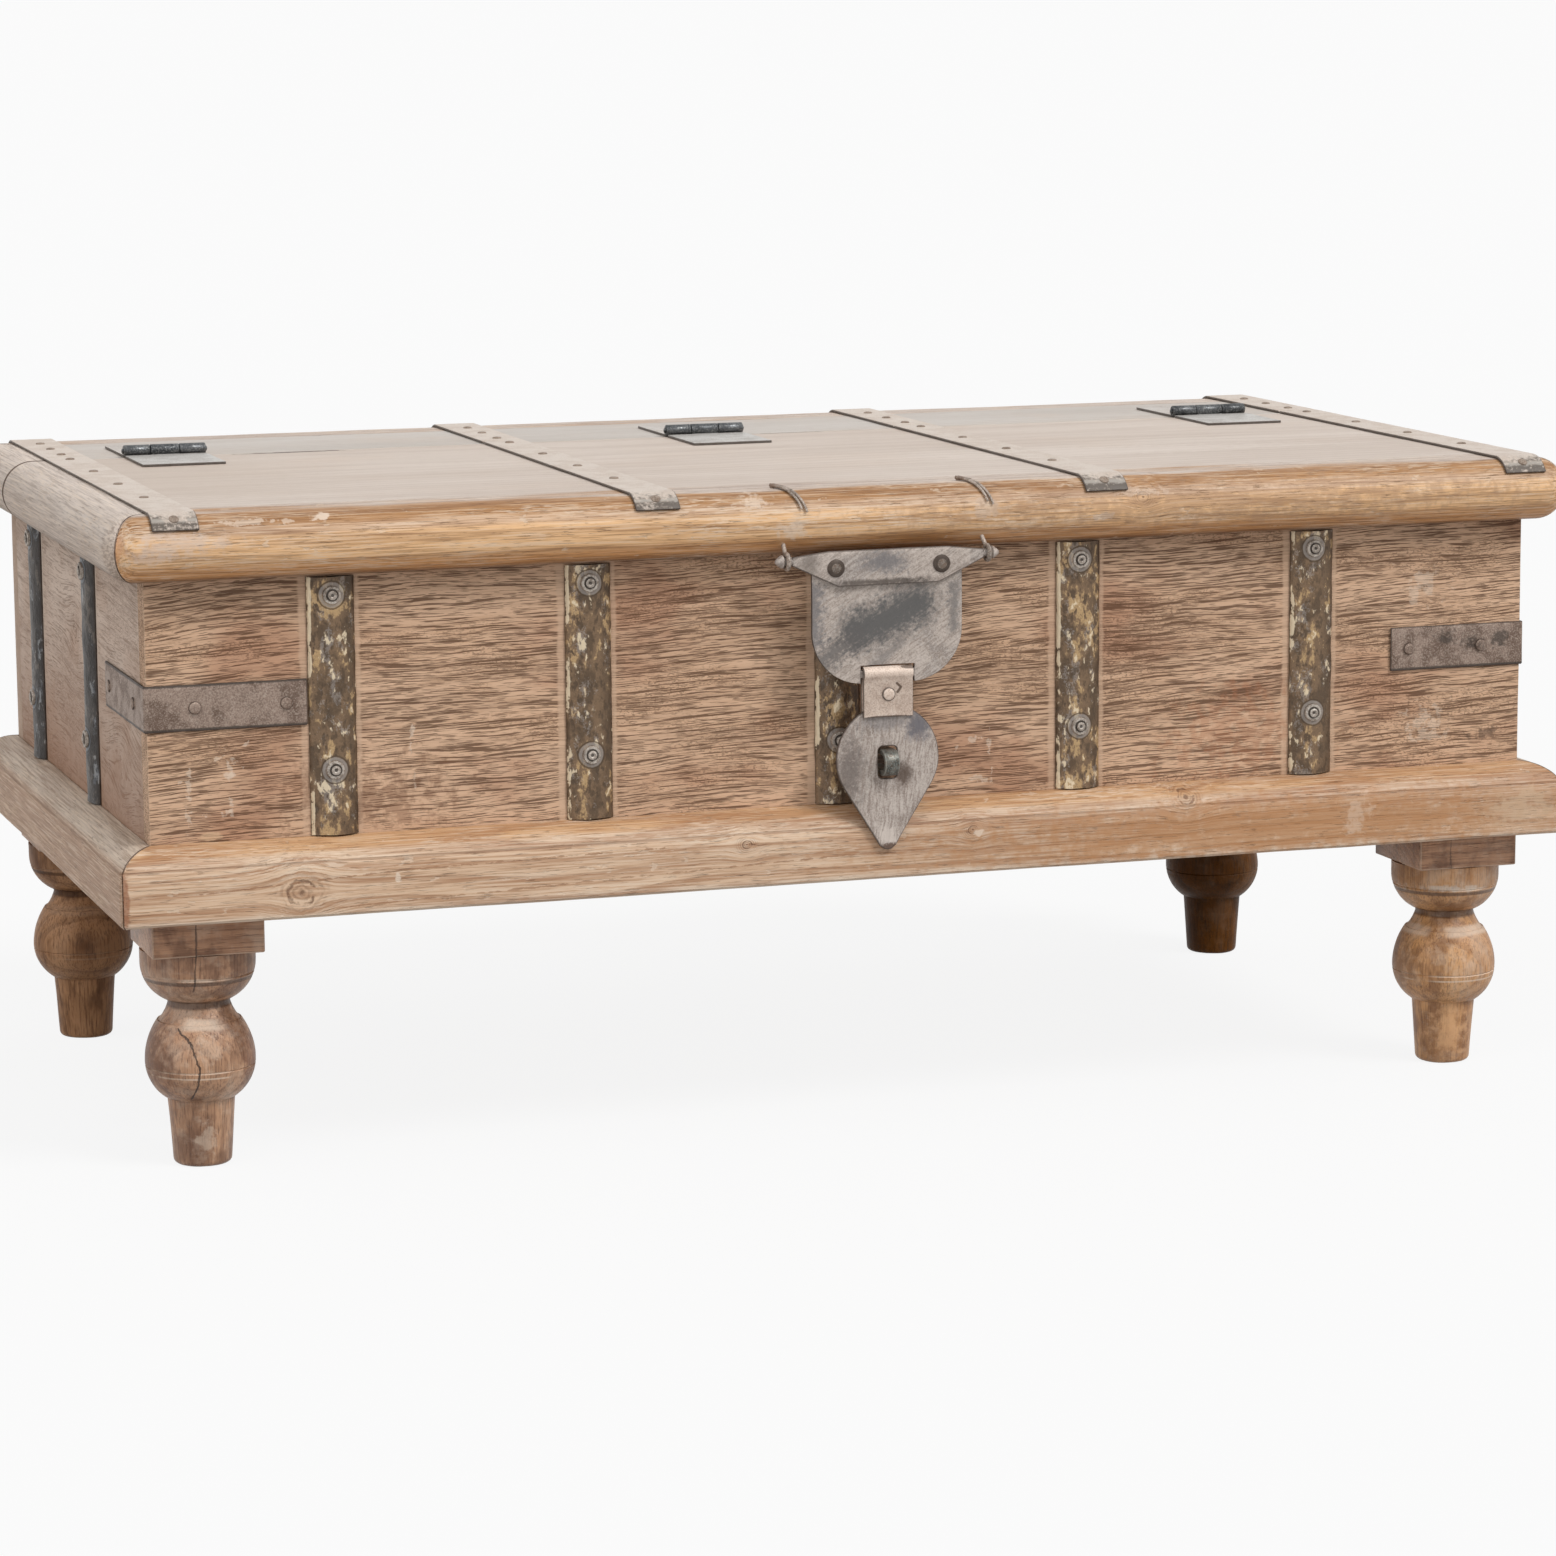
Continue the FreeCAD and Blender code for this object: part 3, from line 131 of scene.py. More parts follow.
class Shape:
    """A mesh while it is being made."""

    def __init__(self) -> None:
        """Starts empty, with a layer of marks: 1 is rubbed pale, -1 is dark, grime in the mitred joints and painted
        shade on the iron's edges and sides.
        """
        self.bm = bmesh.new()
        self.bm.faces.layers.float.new("wear_grime_and_shade")

    def mend(self) -> "Shape":
        """Merges doubles and turns the faces outwards."""
        bmesh.ops.remove_doubles(self.bm, verts=self.bm.verts[:], dist=1e-7)
        bmesh.ops.recalc_face_normals(self.bm, faces=self.bm.faces[:])
        return self

    def block(self, low: Vector, high: Vector) -> "Shape":
        """Adds a block between two corners.

        Args:
            low: Lowest corner.
            high: Highest corner.

        Returns:
            This shape.
        """
        place = Matrix.Translation((low + high) / 2) @ Matrix.Diagonal((*(high - low), 1.0))
        bmesh.ops.create_cube(self.bm, size=1.0, matrix=place)
        return self

    def prism(self, outline: Sequence[Vector], reach: Vector) -> "Shape":
        """Adds an outline pushed out along a line.

        Args:
            outline: Corners of the outline in order.
            reach: How far and which way it is pushed.

        Returns:
            This shape.
        """
        face = self.bm.faces.new([self.bm.verts.new(point) for point in outline])
        self._push([face], reach)
        return self

    def holed(self, outer: Sequence[Vector], inner: Sequence[Vector], reach: Vector) -> "Shape":
        """Adds an outline with a hole, pushed out along a line.

        Args:
            outer: Corners of the outside in order.
            inner: Corners of the hole in order.
            reach: How far and which way it is pushed.

        Returns:
            This shape.
        """
        edges = []
        for loop in (outer, inner):
            verts = [self.bm.verts.new(point) for point in loop]
            edges += [self.bm.edges.new((a, b)) for a, b in zip(verts, verts[1:] + verts[:1])]
        made = bmesh.ops.bridge_loops(self.bm, edges=edges)
        self._push(made["faces"], reach)
        return self

    def _push(self, faces: list[bmesh.types.BMFace], reach: Vector) -> None:
        """Thickens flat faces into a solid.

        Args:
            faces: The faces.
            reach: How far and which way.
        """
        grown = bmesh.ops.extrude_face_region(self.bm, geom=faces, use_keep_orig=True)
        moved = [item for item in grown["geom"] if isinstance(item, bmesh.types.BMVert)]
        bmesh.ops.translate(self.bm, verts=moved, vec=reach)
        self.mend()

    def turned(self, profile: Sequence[tuple[float, float]], centre: Vector, axis: Vector, steps: int = 48) -> "Shape":
        """Adds a profile turned round an axis, as on a lathe.

        Args:
            profile: Pairs of radius and height along the axis.
            centre: Where the height is 0.
            axis: The axis's direction.
            steps: Facets round the axis.

        Returns:
            This shape.
        """
        axis = axis.normalized()
        side = axis.orthogonal().normalized()
        verts = [self.bm.verts.new(centre + side * radius + axis * height) for radius, height in profile]
        edges = [self.bm.edges.new(pair) for pair in zip(verts, verts[1:])]
        bmesh.ops.spin(
            self.bm, geom=verts + edges, cent=centre, axis=axis, angle=math.tau, steps=steps,
            use_merge=True, use_duplicate=False,
        )
        return self.mend()

    def tube(self, path: Sequence[Vector], radii: Sequence[float], sides: int = 12, closed: bool = False) -> "Shape":
        """Adds a round wire along a path.

        Args:
            path: Points along the wire's middle.
            radii: Its radius at each point.
            sides: Facets round the wire.
            closed: Whether the ends meet.

        Returns:
            This shape.
        """
        count = len(path)
        rings = []
        across = None
        for i, point in enumerate(path):
            before = path[(i - 1) % count] if closed else path[max(i - 1, 0)]
            after = path[(i + 1) % count] if closed else path[min(i + 1, count - 1)]
            way = (after - before).normalized()
            across = way.orthogonal() if across is None else across - way * across.dot(way)
            across.normalize()
            turn = Matrix((across, way.cross(across), way)).transposed().to_4x4()
            made = bmesh.ops.create_circle(
                self.bm, radius=radii[i], segments=sides, matrix=Matrix.Translation(point) @ turn
            )
            rings.append(list({edge for vert in made["verts"] for edge in vert.link_edges}))
        pairs = list(zip(rings, rings[1:])) + ([(rings[-1], rings[0])] if closed else [])
        for one, two in pairs:
            bmesh.ops.bridge_loops(self.bm, edges=one + two)
        if not closed:
            for ring in (rings[0], rings[-1]):
                bmesh.ops.edgeloop_fill(self.bm, edges=ring)
        return self.mend()

    def soften(self, width: float, segments: int = 2, angle: float = 30.0,
               only: Callable[[bmesh.types.BMEdge], bool] | None = None, mark: float = 1.0) -> "Shape":
        """Rounds the sharp edges and gives them a mark of wear, grime and shade.

        Args:
            width: How far the rounding reaches.
            segments: Facets across it.
            angle: Edges sharper than this are rounded.
            only: Picks among those edges.
            mark: Their mark, above 0 rubbed pale, below 0 dark: grime in the mitred joints and painted shade on the
                iron.

        Returns:
            This shape.
        """
        edges = [
            edge for edge in self.bm.edges
            if len(edge.link_faces) == 2 and edge.calc_face_angle(0.0) > math.radians(angle)
            and (only is None or only(edge))
        ]
        made = bmesh.ops.bevel(
            self.bm, geom=edges, offset=width, offset_type="OFFSET", segments=segments, profile=0.5,
            affect="EDGES", clamp_overlap=True, material=-1,
        )
        wear_grime_and_shade = self.bm.faces.layers.float["wear_grime_and_shade"]
        for face in made["faces"]:
            face[wear_grime_and_shade] = mark
        return self

    def marked(self, mark: float, chosen: Callable[[bmesh.types.BMFace], bool]) -> "Shape":
        """Sets the mark of wear, grime and shade on some faces.

        Args:
            mark: The mark; below 0 on the iron it is painted shade.
            chosen: Picks the faces.

        Returns:
            This shape.
        """
        self.bm.normal_update()
        wear_grime_and_shade = self.bm.faces.layers.float["wear_grime_and_shade"]
        for face in self.bm.faces:
            if chosen(face):
                face[wear_grime_and_shade] = mark
        return self

    def sliced(self, axis: Axis, places: Iterable[float]) -> "Shape":
        """Cuts the faces at several places without parting them.

        Args:
            axis: Direction along which the places are counted.
            places: Where the cuts are.

        Returns:
            This shape.
        """
        for place in places:
            geom = self.bm.verts[:] + self.bm.edges[:] + self.bm.faces[:]
            bmesh.ops.bisect_plane(
                self.bm, geom=geom, dist=1e-7, plane_co=axis.way * place, plane_no=axis.way
            )
        return self

    def sawn(self, point: Vector, away: Vector) -> "Shape":
        """Saws a part off and closes the cut.

        Args:
            point: A point on the cut.
            away: The side that goes.

        Returns:
            This shape.
        """
        geom = self.bm.verts[:] + self.bm.edges[:] + self.bm.faces[:]
        bmesh.ops.bisect_plane(self.bm, geom=geom, dist=1e-7, plane_co=point, plane_no=away, clear_outer=True)
        rim = [edge for edge in self.bm.edges if edge.is_boundary]
        bmesh.ops.holes_fill(self.bm, edges=rim, sides=0)
        return self.mend()

    def uneven(self, depth: float, scale: Vector, seed: float = 0.0, octaves: int = 3) -> "Shape":
        """Sinks the surface by a little that differs from place to place.

        Args:
            depth: The most that it sinks.
            scale: Waves per metre along X, Y and Z.
            seed: Picks another pattern.
            octaves: How many finer waves are added.

        Returns:
            This shape.
        """
        self.bm.normal_update()
        shift = Vector((seed * 3.1, seed * 5.7, seed * 1.9))
        for vert in self.bm.verts:
            spot = Vector(a * b for a, b in zip(vert.co, scale)) + shift
            wave = noise.fractal(spot, 1.0, 2.0, octaves)
            vert.co -= vert.normal * depth * min(1.0, max(0.0, 0.5 + 0.6 * wave))
        return self

    def moved(self, change: Callable[[Vector], Vector]) -> "Shape":
        """Moves every point by the same rule.

        Args:
            change: Gives a point's new place.

        Returns:
            This shape.
        """
        for vert in self.bm.verts:
            vert.co = change(vert.co)
        return self

    def joined(self, other: "Shape") -> "Shape":
        """Adds another shape to this one.

        Args:
            other: The shape, which is used up.

        Returns:
            This shape.
        """
        carrier = bpy.data.meshes.new("carrier")
        other.bm.to_mesh(carrier)
        other.bm.free()
        self.bm.from_mesh(carrier)
        bpy.data.meshes.remove(carrier)
        return self


# ---------------------------------------------------------------- shader nodes


class Wire:
    """A node's output that takes arithmetic."""

    def __init__(self, nodes: "Nodes", socket: bpy.types.NodeSocket) -> None:
        """Keeps the output and the tree that it is in."""
        self.nodes = nodes
        self.socket = socket

    def _math(self, operation: str, *values: "Wire | float") -> "Wire":
        """Adds a Math node."""
        return self.nodes.node("ShaderNodeMath", {"operation": operation}, dict(enumerate(values)))["Value"]

    def __add__(self, other: "Wire | float") -> "Wire":
        """Sum."""
        return self._math("ADD", self, other)

    def __radd__(self, other: float) -> "Wire":
        """Sum, number first."""
        return self._math("ADD", other, self)

    def __sub__(self, other: "Wire | float") -> "Wire":
        """Difference."""
        return self._math("SUBTRACT", self, other)

    def __rsub__(self, other: float) -> "Wire":
        """Difference, number first."""
        return self._math("SUBTRACT", other, self)

    def __mul__(self, other: "Wire | float") -> "Wire":
        """Product."""
        return self._math("MULTIPLY", self, other)

    def __rmul__(self, other: float) -> "Wire":
        """Product, number first."""
        return self._math("MULTIPLY", other, self)

    def __truediv__(self, other: "Wire | float") -> "Wire":
        """Quotient."""
        return self._math("DIVIDE", self, other)

    def __abs__(self) -> "Wire":
        """Size without the sign."""
        return self._math("ABSOLUTE", self)

    def larger(self, other: "Wire | float") -> "Wire":
        """The larger of two."""
        return self._math("MAXIMUM", self, other)

    def smaller(self, other: "Wire | float") -> "Wire":
        """The smaller of two."""
        return self._math("MINIMUM", self, other)

    def fract(self) -> "Wire":
        """What is left after the whole number."""
        return self._math("FRACT", self)

    def exp(self) -> "Wire":
        """Exponential."""
        return self._math("EXPONENT", self)

    def rise(self, low: float, high: float) -> "Wire":
        """Goes smoothly from 0 at low to 1 at high."""
        inputs = {"Value": self, "From Min": low, "From Max": high}
        return self.nodes.node("ShaderNodeMapRange", {"interpolation_type": "SMOOTHSTEP"}, inputs)["Result"]

    def band(self, middle: float, half: float, soft: float) -> "Wire":
        """Is 1 within half of the middle and fades out over soft."""
        return 1.0 - abs(self - middle).rise(half, half + soft)


class Arrow(Wire):
    """A vector output that takes arithmetic."""

    def _vector(self, operation: str, other: "Arrow | Sequence[float]") -> "Arrow":
        """Adds a Vector Math node."""
        settings = {"operation": operation}
        made = self.nodes.node("ShaderNodeVectorMath", settings, {0: self, 1: other})
        return Arrow(self.nodes, made["Vector"].socket)

    def __add__(self, other: "Arrow | Sequence[float]") -> "Arrow":
        """Sum."""
        return self._vector("ADD", other)

    def __sub__(self, other: "Arrow | Sequence[float]") -> "Arrow":
        """Difference."""
        return self._vector("SUBTRACT", other)

    def __mul__(self, other: "Arrow | Sequence[float]") -> "Arrow":
        """Product along each axis."""
        return self._vector("MULTIPLY", other)

    def times(self, factor: Wire | float) -> "Arrow":
        """Longer or shorter by a factor."""
        made = self.nodes.node("ShaderNodeVectorMath", {"operation": "SCALE"}, {0: self, "Scale": factor})
        return Arrow(self.nodes, made["Vector"].socket)

    def length(self) -> Wire:
        """Its length."""
        return self.nodes.node("ShaderNodeVectorMath", {"operation": "LENGTH"}, {0: self})["Value"]

    def dot(self, other: Sequence[float]) -> Wire:
        """Its dot product with a vector."""
        return self.nodes.node("ShaderNodeVectorMath", {"operation": "DOT_PRODUCT"}, {0: self, 1: other})["Value"]

    def along(self, axis: Axis) -> Wire:
        """Its part along an axis."""
        return self.nodes.node("ShaderNodeSeparateXYZ", {}, {0: self})[axis.letter]


class Outputs:
    """The outputs of one node."""

    def __init__(self, nodes: "Nodes", made: bpy.types.Node) -> None:
        """Keeps the node."""
        self.nodes = nodes
        self.made = made

    def __getitem__(self, key: str) -> Wire:
        """Finds an output by its name."""
        return Wire(self.nodes, self.nodes.find(self.made.outputs, key))


class Nodes:
    """A node tree and the patterns that it is built from."""

    def __init__(self, tree: bpy.types.NodeTree) -> None:
        """Empties the tree."""
        self.tree = tree
        self.tree.nodes.clear()

    @staticmethod
    def find(sockets: Iterable[bpy.types.NodeSocket], key: str) -> bpy.types.NodeSocket:
        """Finds a socket.

        Args:
            sockets: Where to look.
            key: Its identifier or name.

        Returns:
            The socket.
        """
        by_id = [s for s in sockets if s.identifier == key]
        return (by_id or [s for s in sockets if s.name == key])[0]

    def node(self, kind: str, settings: dict | None = None, inputs: dict | None = None) -> Outputs:
        """Adds a node.

        Args:
            kind: The node's type.
            settings: Its own settings, set first.
            inputs: Values or wires by socket name or number.

        Returns:
            Its outputs.
        """
        made = self.tree.nodes.new(kind)
        for key, value in (settings or {}).items():
            setattr(made, key, value)
        for key, value in (inputs or {}).items():
            socket = made.inputs[key] if isinstance(key, int) else self.find(made.inputs, key)
            if isinstance(value, Wire):
                self.tree.links.new(value.socket, socket)
            else:
                socket.default_value = value
        return Outputs(self, made)

    def here(self) -> Arrow:
        """The place on the piece, in metres."""
        return Arrow(self, self.node("ShaderNodeTexCoord")["Object"].socket)

    def wear_grime_and_shade(self, side: float = 1.0) -> Wire:
        """How worn the face is here, or with a side of -1 how dark: grime in joints and painted shade on the iron."""
        return (self.node("ShaderNodeAttribute", {"attribute_name": "wear_grime_and_shade"})["Fac"] * side).larger(0.0)

    def reach(self, way: Sequence[float], share: Wire) -> Arrow:
        """A fixed vector times a wire."""
        made = self.node("ShaderNodeVectorMath", {"operation": "SCALE"}, {0: way, "Scale": share})
        return Arrow(self, made["Vector"].socket)

    def turned(self, place: Arrow, axis: Axis, angle: float) -> Arrow:
        """The place turned round an axis by an angle in degrees."""
        settings = {"rotation_type": f"{axis.letter}_AXIS"}
        made = self.node("ShaderNodeVectorRotate", settings, {"Vector": place, "Angle": math.radians(angle)})
        return Arrow(self, made["Vector"].socket)

    def cloud(self, place: Arrow, scale: float = 1.0, detail: float = 3.0, rough: float = 0.55,
              seed: float = 0.0) -> Wire:
        """Soft random pattern from 0 to 1.

        Args:
            place: Where it is read.
            scale: Patches per unit.
            detail: Finer patches that are added.
            rough: How strong they are.
            seed: Picks another pattern.

        Returns:
            The pattern.
        """
        spot = place + (seed * 1.7, seed * 2.3, seed * 3.9) if seed else place
        inputs = {"Vector": spot, "Scale": scale, "Detail": detail, "Roughness": rough}
        return self.node("ShaderNodeTexNoise", {}, inputs)["Fac"]

    def blend(self, share: Wire | float, one: Wire | Colour, two: Wire | Colour) -> Wire:
        """Mixes two colours.

        Args:
            share: How much of the second.
            one: First colour.
            two: Second colour.

        Returns:
            The mixed colour.
        """
        inputs = {"Factor_Float": share, "A_Color": one, "B_Color": two}
        return self.node("ShaderNodeMix", {"data_type": "RGBA"}, inputs)["Result_Color"]

    def over(self, base: Wire | Colour, *layers: tuple[Wire | float, Colour]) -> Wire:
        """Lays colours over a base.

        Args:
            base: The first colour.
            layers: Pairs of share and colour, in order.

        Returns:
            The last colour.
        """
        for share, colour in layers:
            base = self.blend(share, base, colour)
        return base

    def bump(self, height: Wire, depth: float, strength: float = 1.0) -> Wire:
        """Turns heights into a normal.

        Args:
            height: Heights from 0 to 1.
            depth: How high 1 is, in metres.
            strength: How much it shows.

        Returns:
            The normal.
        """
        inputs = {"Height": height, "Distance": depth, "Strength": strength}
        return self.node("ShaderNodeBump", {}, inputs)["Normal"]


class Coat(Nodes):
    """A material while it is being made."""

    def __init__(self, name: str) -> None:
        """Makes the material."""
        self.material = bpy.data.materials.new(name)
        self.material.use_nodes = True
        super().__init__(self.material.node_tree)

    def close(self, colour: Wire, roughness: Wire | float, normal: Wire, metallic: Wire | float = 0.0,
              gloss: float = 0.4) -> bpy.types.Material:
        """Joins the parts into the surface.

        Args:
            colour: Base colour.
            roughness: Roughness.
            normal: Normal with the bumps.
            metallic: How metallic it is.
            gloss: Specular level.

        Returns:
            The material.
        """
        inputs = {
            "Base Color": colour, "Roughness": roughness, "Normal": normal,
            "Metallic": metallic, "Specular IOR Level": gloss,
        }
        made = self.node("ShaderNodeBsdfPrincipled", {}, inputs)
        self.node("ShaderNodeOutputMaterial", {}, {"Surface": made["BSDF"]})
        return self.material


class Finish:
    """A finish that can be put on pieces."""

    name: str

    def material(self) -> bpy.types.Material:
        """The finish's material, made once."""
        name = f"dressed_{self.name}"
        return bpy.data.materials.get(name) or self.dress(Coat(name))

    def dress(self, coat: Coat) -> bpy.types.Material:
        """Builds the material."""
        raise NotImplementedError


# ---------------------------------------------------------------- marks


@dataclass(frozen=True)
class StainOrPaintedLight:
    """A patch, chip, scar or crack at one place, or a patch of painted shade or highlight."""

    place: tuple[float, float, float]
    reach: tuple[float, float, float]
    tone: Colour
    share: float = 0.8
    ragged: float = 0.4
    soft: float = 0.45
    sunk: float = 0.0

    def far(self, coat: Coat, place: Arrow) -> Wire:
        """Distance from the middle, 1 at the edge."""
        return ((place - self.place) * tuple(1.0 / reach for reach in self.reach)).length()

    def mask(self, coat: Coat, place: Arrow, mottle: Wire) -> Wire:
        """Works out how much of the mark shows.

        Args:
            coat: The material.
            place: The place on the piece.
            mottle: Pattern that frays its edge.

        Returns:
            Its share from 0 to 1.
        """
        far = self.far(coat, place) + (mottle - 0.5) * (self.ragged * 4.0)
        return (1.0 - far.rise(1.1 - self.soft, 1.1)) * self.share


@dataclass(frozen=True)
class Stroke(StainOrPaintedLight):
    """A crack, scar or line that runs from its place past other points."""

    path: tuple[tuple[float, float, float], ...] = ()
    sway: float = 0.003
    depth: float = 1.0

    def far(self, coat: Coat, place: Arrow) -> Wire:
        """Distance from the line, 1 at its edge, where depth 0 leaves Y out."""
        bend = (coat.cloud(place, 90.0, 3.0, 0.65, 2.0) - 0.5) * self.sway
        seen = (1.0, self.depth, 1.0)
        place = (place + coat.reach((1.0, 1.0, 1.0), bend)) * seen
        points = [Vector(a * b for a, b in zip(point, seen)) for point in (self.place, *self.path)]
        nearest = None
        for start, end in zip(points, points[1:]):
            way = end - start
            offset = place - start
            along = offset.dot(way / way.length_squared).larger(0.0).smaller(1.0)
            gap = (offset - coat.reach(way, along)).length() / self.reach[0]
            nearest = gap if nearest is None else nearest.smaller(gap)
        return nearest


@dataclass(frozen=True)
class Knot:
    """A knot in a board."""

    place: tuple[float, float, float]
    radius: float
    reach: float
    through: Axis = Axis.Y


@dataclass(frozen=True)
class Tone:
    """A tone that takes over from the one below between two heights."""

    low: float
    high: float
    colour: Colour


# ---------------------------------------------------------------- wood


@dataclass(frozen=True)
class Figure:
    """What a wood's grain looks like at each place."""

    place: Arrow
    bent: Arrow
    mottle: Wire
    broad: Wire
    rings: Wire
    fibre: Wire
    pores: Wire
    knot: Wire | None


@dataclass(frozen=True)
class Timber(Finish):
    """Wood whose grain runs one way."""

    name: str
    grain: Axis
    seed: float = 0.0
    knots: tuple[Knot, ...] = ()
    stains_and_painted_light: tuple[StainOrPaintedLight, ...] = ()
    ring_pitch: float = 0.006
    pith: tuple[float, float, float] = (0.0, 0.05, 0.31)
    light: Colour = paint(190, 158, 126)
    body: Colour = paint(172, 138, 106)
    dark: Colour = paint(122, 88, 60)
    knot_tone: Colour = paint(98, 66, 44)

    def stretch(self, place: Arrow, along: float, across: float) -> Arrow:
        """Draws a pattern out along the grain.

        Args:
            place: Where it is read.
            along: Patches per metre along the grain.
            across: Patches per metre across it.

        Returns:
            The stretched place.
        """
        return place * tuple(along if axis is self.grain else across for axis in Axis)

    def streaks(self, coat: Coat, place: Arrow, along: float, across: float, seed: float, detail: float = 3.0) -> Wire:
        """A pattern drawn out along the grain, from 0 to 1."""
        return coat.cloud(self.stretch(place, along, across), 1.0, detail, 0.6, self.seed + seed)

    def figure(self, coat: Coat) -> Figure:
        """Works out the grain.

        Args:
            coat: The material.

        Returns:
            The grain's patterns.
        """
        place = coat.here()
        bent, marks = place, None
        for knot in self.knots:
            flat = tuple(0.0 if a is knot.through else (0.85 if a is self.grain else 1.0) for a in Axis)
            cross = tuple(0.0 if a in (knot.through, self.grain) else 1.0 for a in Axis)
            offset = place - knot.place
            far = (offset * flat).length() + (coat.cloud(place, 160.0, 3.0, 0.6, 5.0) - 0.5) * (knot.radius * 0.7)
            bent = bent - (offset * cross).times((far * far * (-1.0 / knot.reach ** 2)).exp() * 0.8)
            rim = far.band(knot.radius, knot.radius * 0.04, knot.radius * 0.16)
            rings = (far / (knot.radius * 0.42)).fract().band(0.5, 0.1, 0.3) * (1.0 - far.rise(knot.radius, knot.reach))
            torn = coat.cloud(place, 120.0, 3.0, 0.6, 9.0).rise(0.36, 0.56)
            mark = (rim.larger(rings * 0.45) * torn).larger(1.0 - far.rise(knot.radius * 0.1, knot.radius * 0.35))
            marks = mark if marks is None else marks.larger(mark)
        mottle = coat.cloud(place, 130.0, 4.0, 0.62, self.seed + 14.0)
        wander = self.streaks(coat, bent, 1.8, 6.0, 1.0, 2.0)
        cross = tuple(0.0 if a is self.grain else 1.0 for a in Axis)
        turns = (((bent - self.pith) * cross).length() + (wander - 0.5) * 0.035) / self.ring_pitch
        saw = turns.fract()
        rings = saw.rise(0.45, 0.92) * (1.0 - saw.rise(0.94, 1.0))
        broad = self.streaks(coat, bent, 3.0, 22.0, 2.0)
        fibre = self.streaks(coat, bent, 18.0, 760.0, 3.0)
        pores = self.streaks(coat, bent, 70.0, 1400.0, 4.0, 2.0).rise(0.6, 0.72)
        return Figure(place, bent, mottle, broad, rings, fibre, pores, marks)

    def marked(self, coat: Coat, wood: Figure, colour: Wire, height: Wire) -> tuple[Wire, Wire]:
        """Adds knots, stains and patches of painted shade and highlight.

        Args:
            coat: The material.
            wood: The grain.
            colour: Colour so far.
            height: Height so far.

        Returns:
            The new colour and height.
        """
        if wood.knot is not None:
            colour = coat.blend(wood.knot * 0.75, colour, self.knot_tone)
            height = height - wood.knot * 0.8
        # The list holds stains and, on some finishes, patches of painted shade and highlight.
        for stain in self.stains_and_painted_light:
            mask = stain.mask(coat, wood.place, wood.mottle)
            colour = coat.blend(mask, colour, stain.tone)
            if stain.sunk:
                height = height - mask * stain.sunk
        return colour, height

    def dress(self, coat: Coat) -> bpy.types.Material:
        """Builds plain planed wood.

        Args:
            coat: The material.

        Returns:
            The material.
        """
        wood = self.figure(coat)
        colour = coat.over(
            self.light, (wood.broad.rise(0.3, 0.7), self.body), (wood.rings * 0.45, self.dark),
            (wood.fibre.rise(0.45, 0.75) * 0.4, self.dark), (wood.pores * 0.4, self.dark),
        )
        colour, height = self.marked(coat, wood, colour, wood.fibre * 0.5 - wood.pores * 0.7 - wood.rings * 0.3)
        return coat.close(colour, 0.62 + wood.fibre * 0.15, coat.bump(height, 0.0004, 0.7), gloss=0.25)


@dataclass(frozen=True)
class TopTimber(Timber):
    """Limed boards of the top, with fine joints between them."""

    light: Colour = paint(209, 196, 185)
    body: Colour = paint(198, 183, 171)
    dark: Colour = paint(170, 151, 137)
    joints: tuple[float, ...] = ()

    def dress(self, coat: Coat) -> bpy.types.Material:
        """Builds the material.

        Args:
            coat: The material.

        Returns:
            The material.
        """
        wood = self.figure(coat)
        cloudy = coat.cloud(wood.place * (7.0, 11.0, 11.0), 1.0, 4.0, 0.6, self.seed + 9.0).rise(0.48, 0.75)
        scratch = self.streaks(coat, wood.place, 9.0, 900.0, 10.0, 2.0).rise(0.66, 0.72)
        colour = coat.over(
            self.light, (wood.broad.rise(0.3, 0.7), self.body), (cloudy * 0.35, paint(202, 182, 165)),
            (wood.rings * 0.2, self.dark), (wood.fibre.rise(0.5, 0.75) * 0.3, self.dark),
            (wood.pores * 0.4, paint(160, 138, 122)), (scratch * 0.3, paint(236, 226, 216)),
            (coat.wear_grime_and_shade() * 0.35, paint(226, 214, 204)),
        )
        height = wood.fibre * 0.4 - wood.pores * 0.6 - wood.rings * 0.12 - scratch * 0.2
        for joint in self.joints:
            wave = (coat.cloud(wood.place * (6.0, 0.0, 0.0), 1.0, 2.0, 0.5) - 0.5) * 0.0008
            line = (wood.place.along(Axis.Y) + wave).band(joint, 0.0001, 0.0004)
            colour = coat.blend(line * 0.35, colour, paint(150, 128, 112))
            height = height - line
        colour, height = self.marked(coat, wood, colour, height)
        return coat.close(colour, 0.5 + wood.fibre * 0.2, coat.bump(height, 0.0003, 0.7), gloss=0.32)


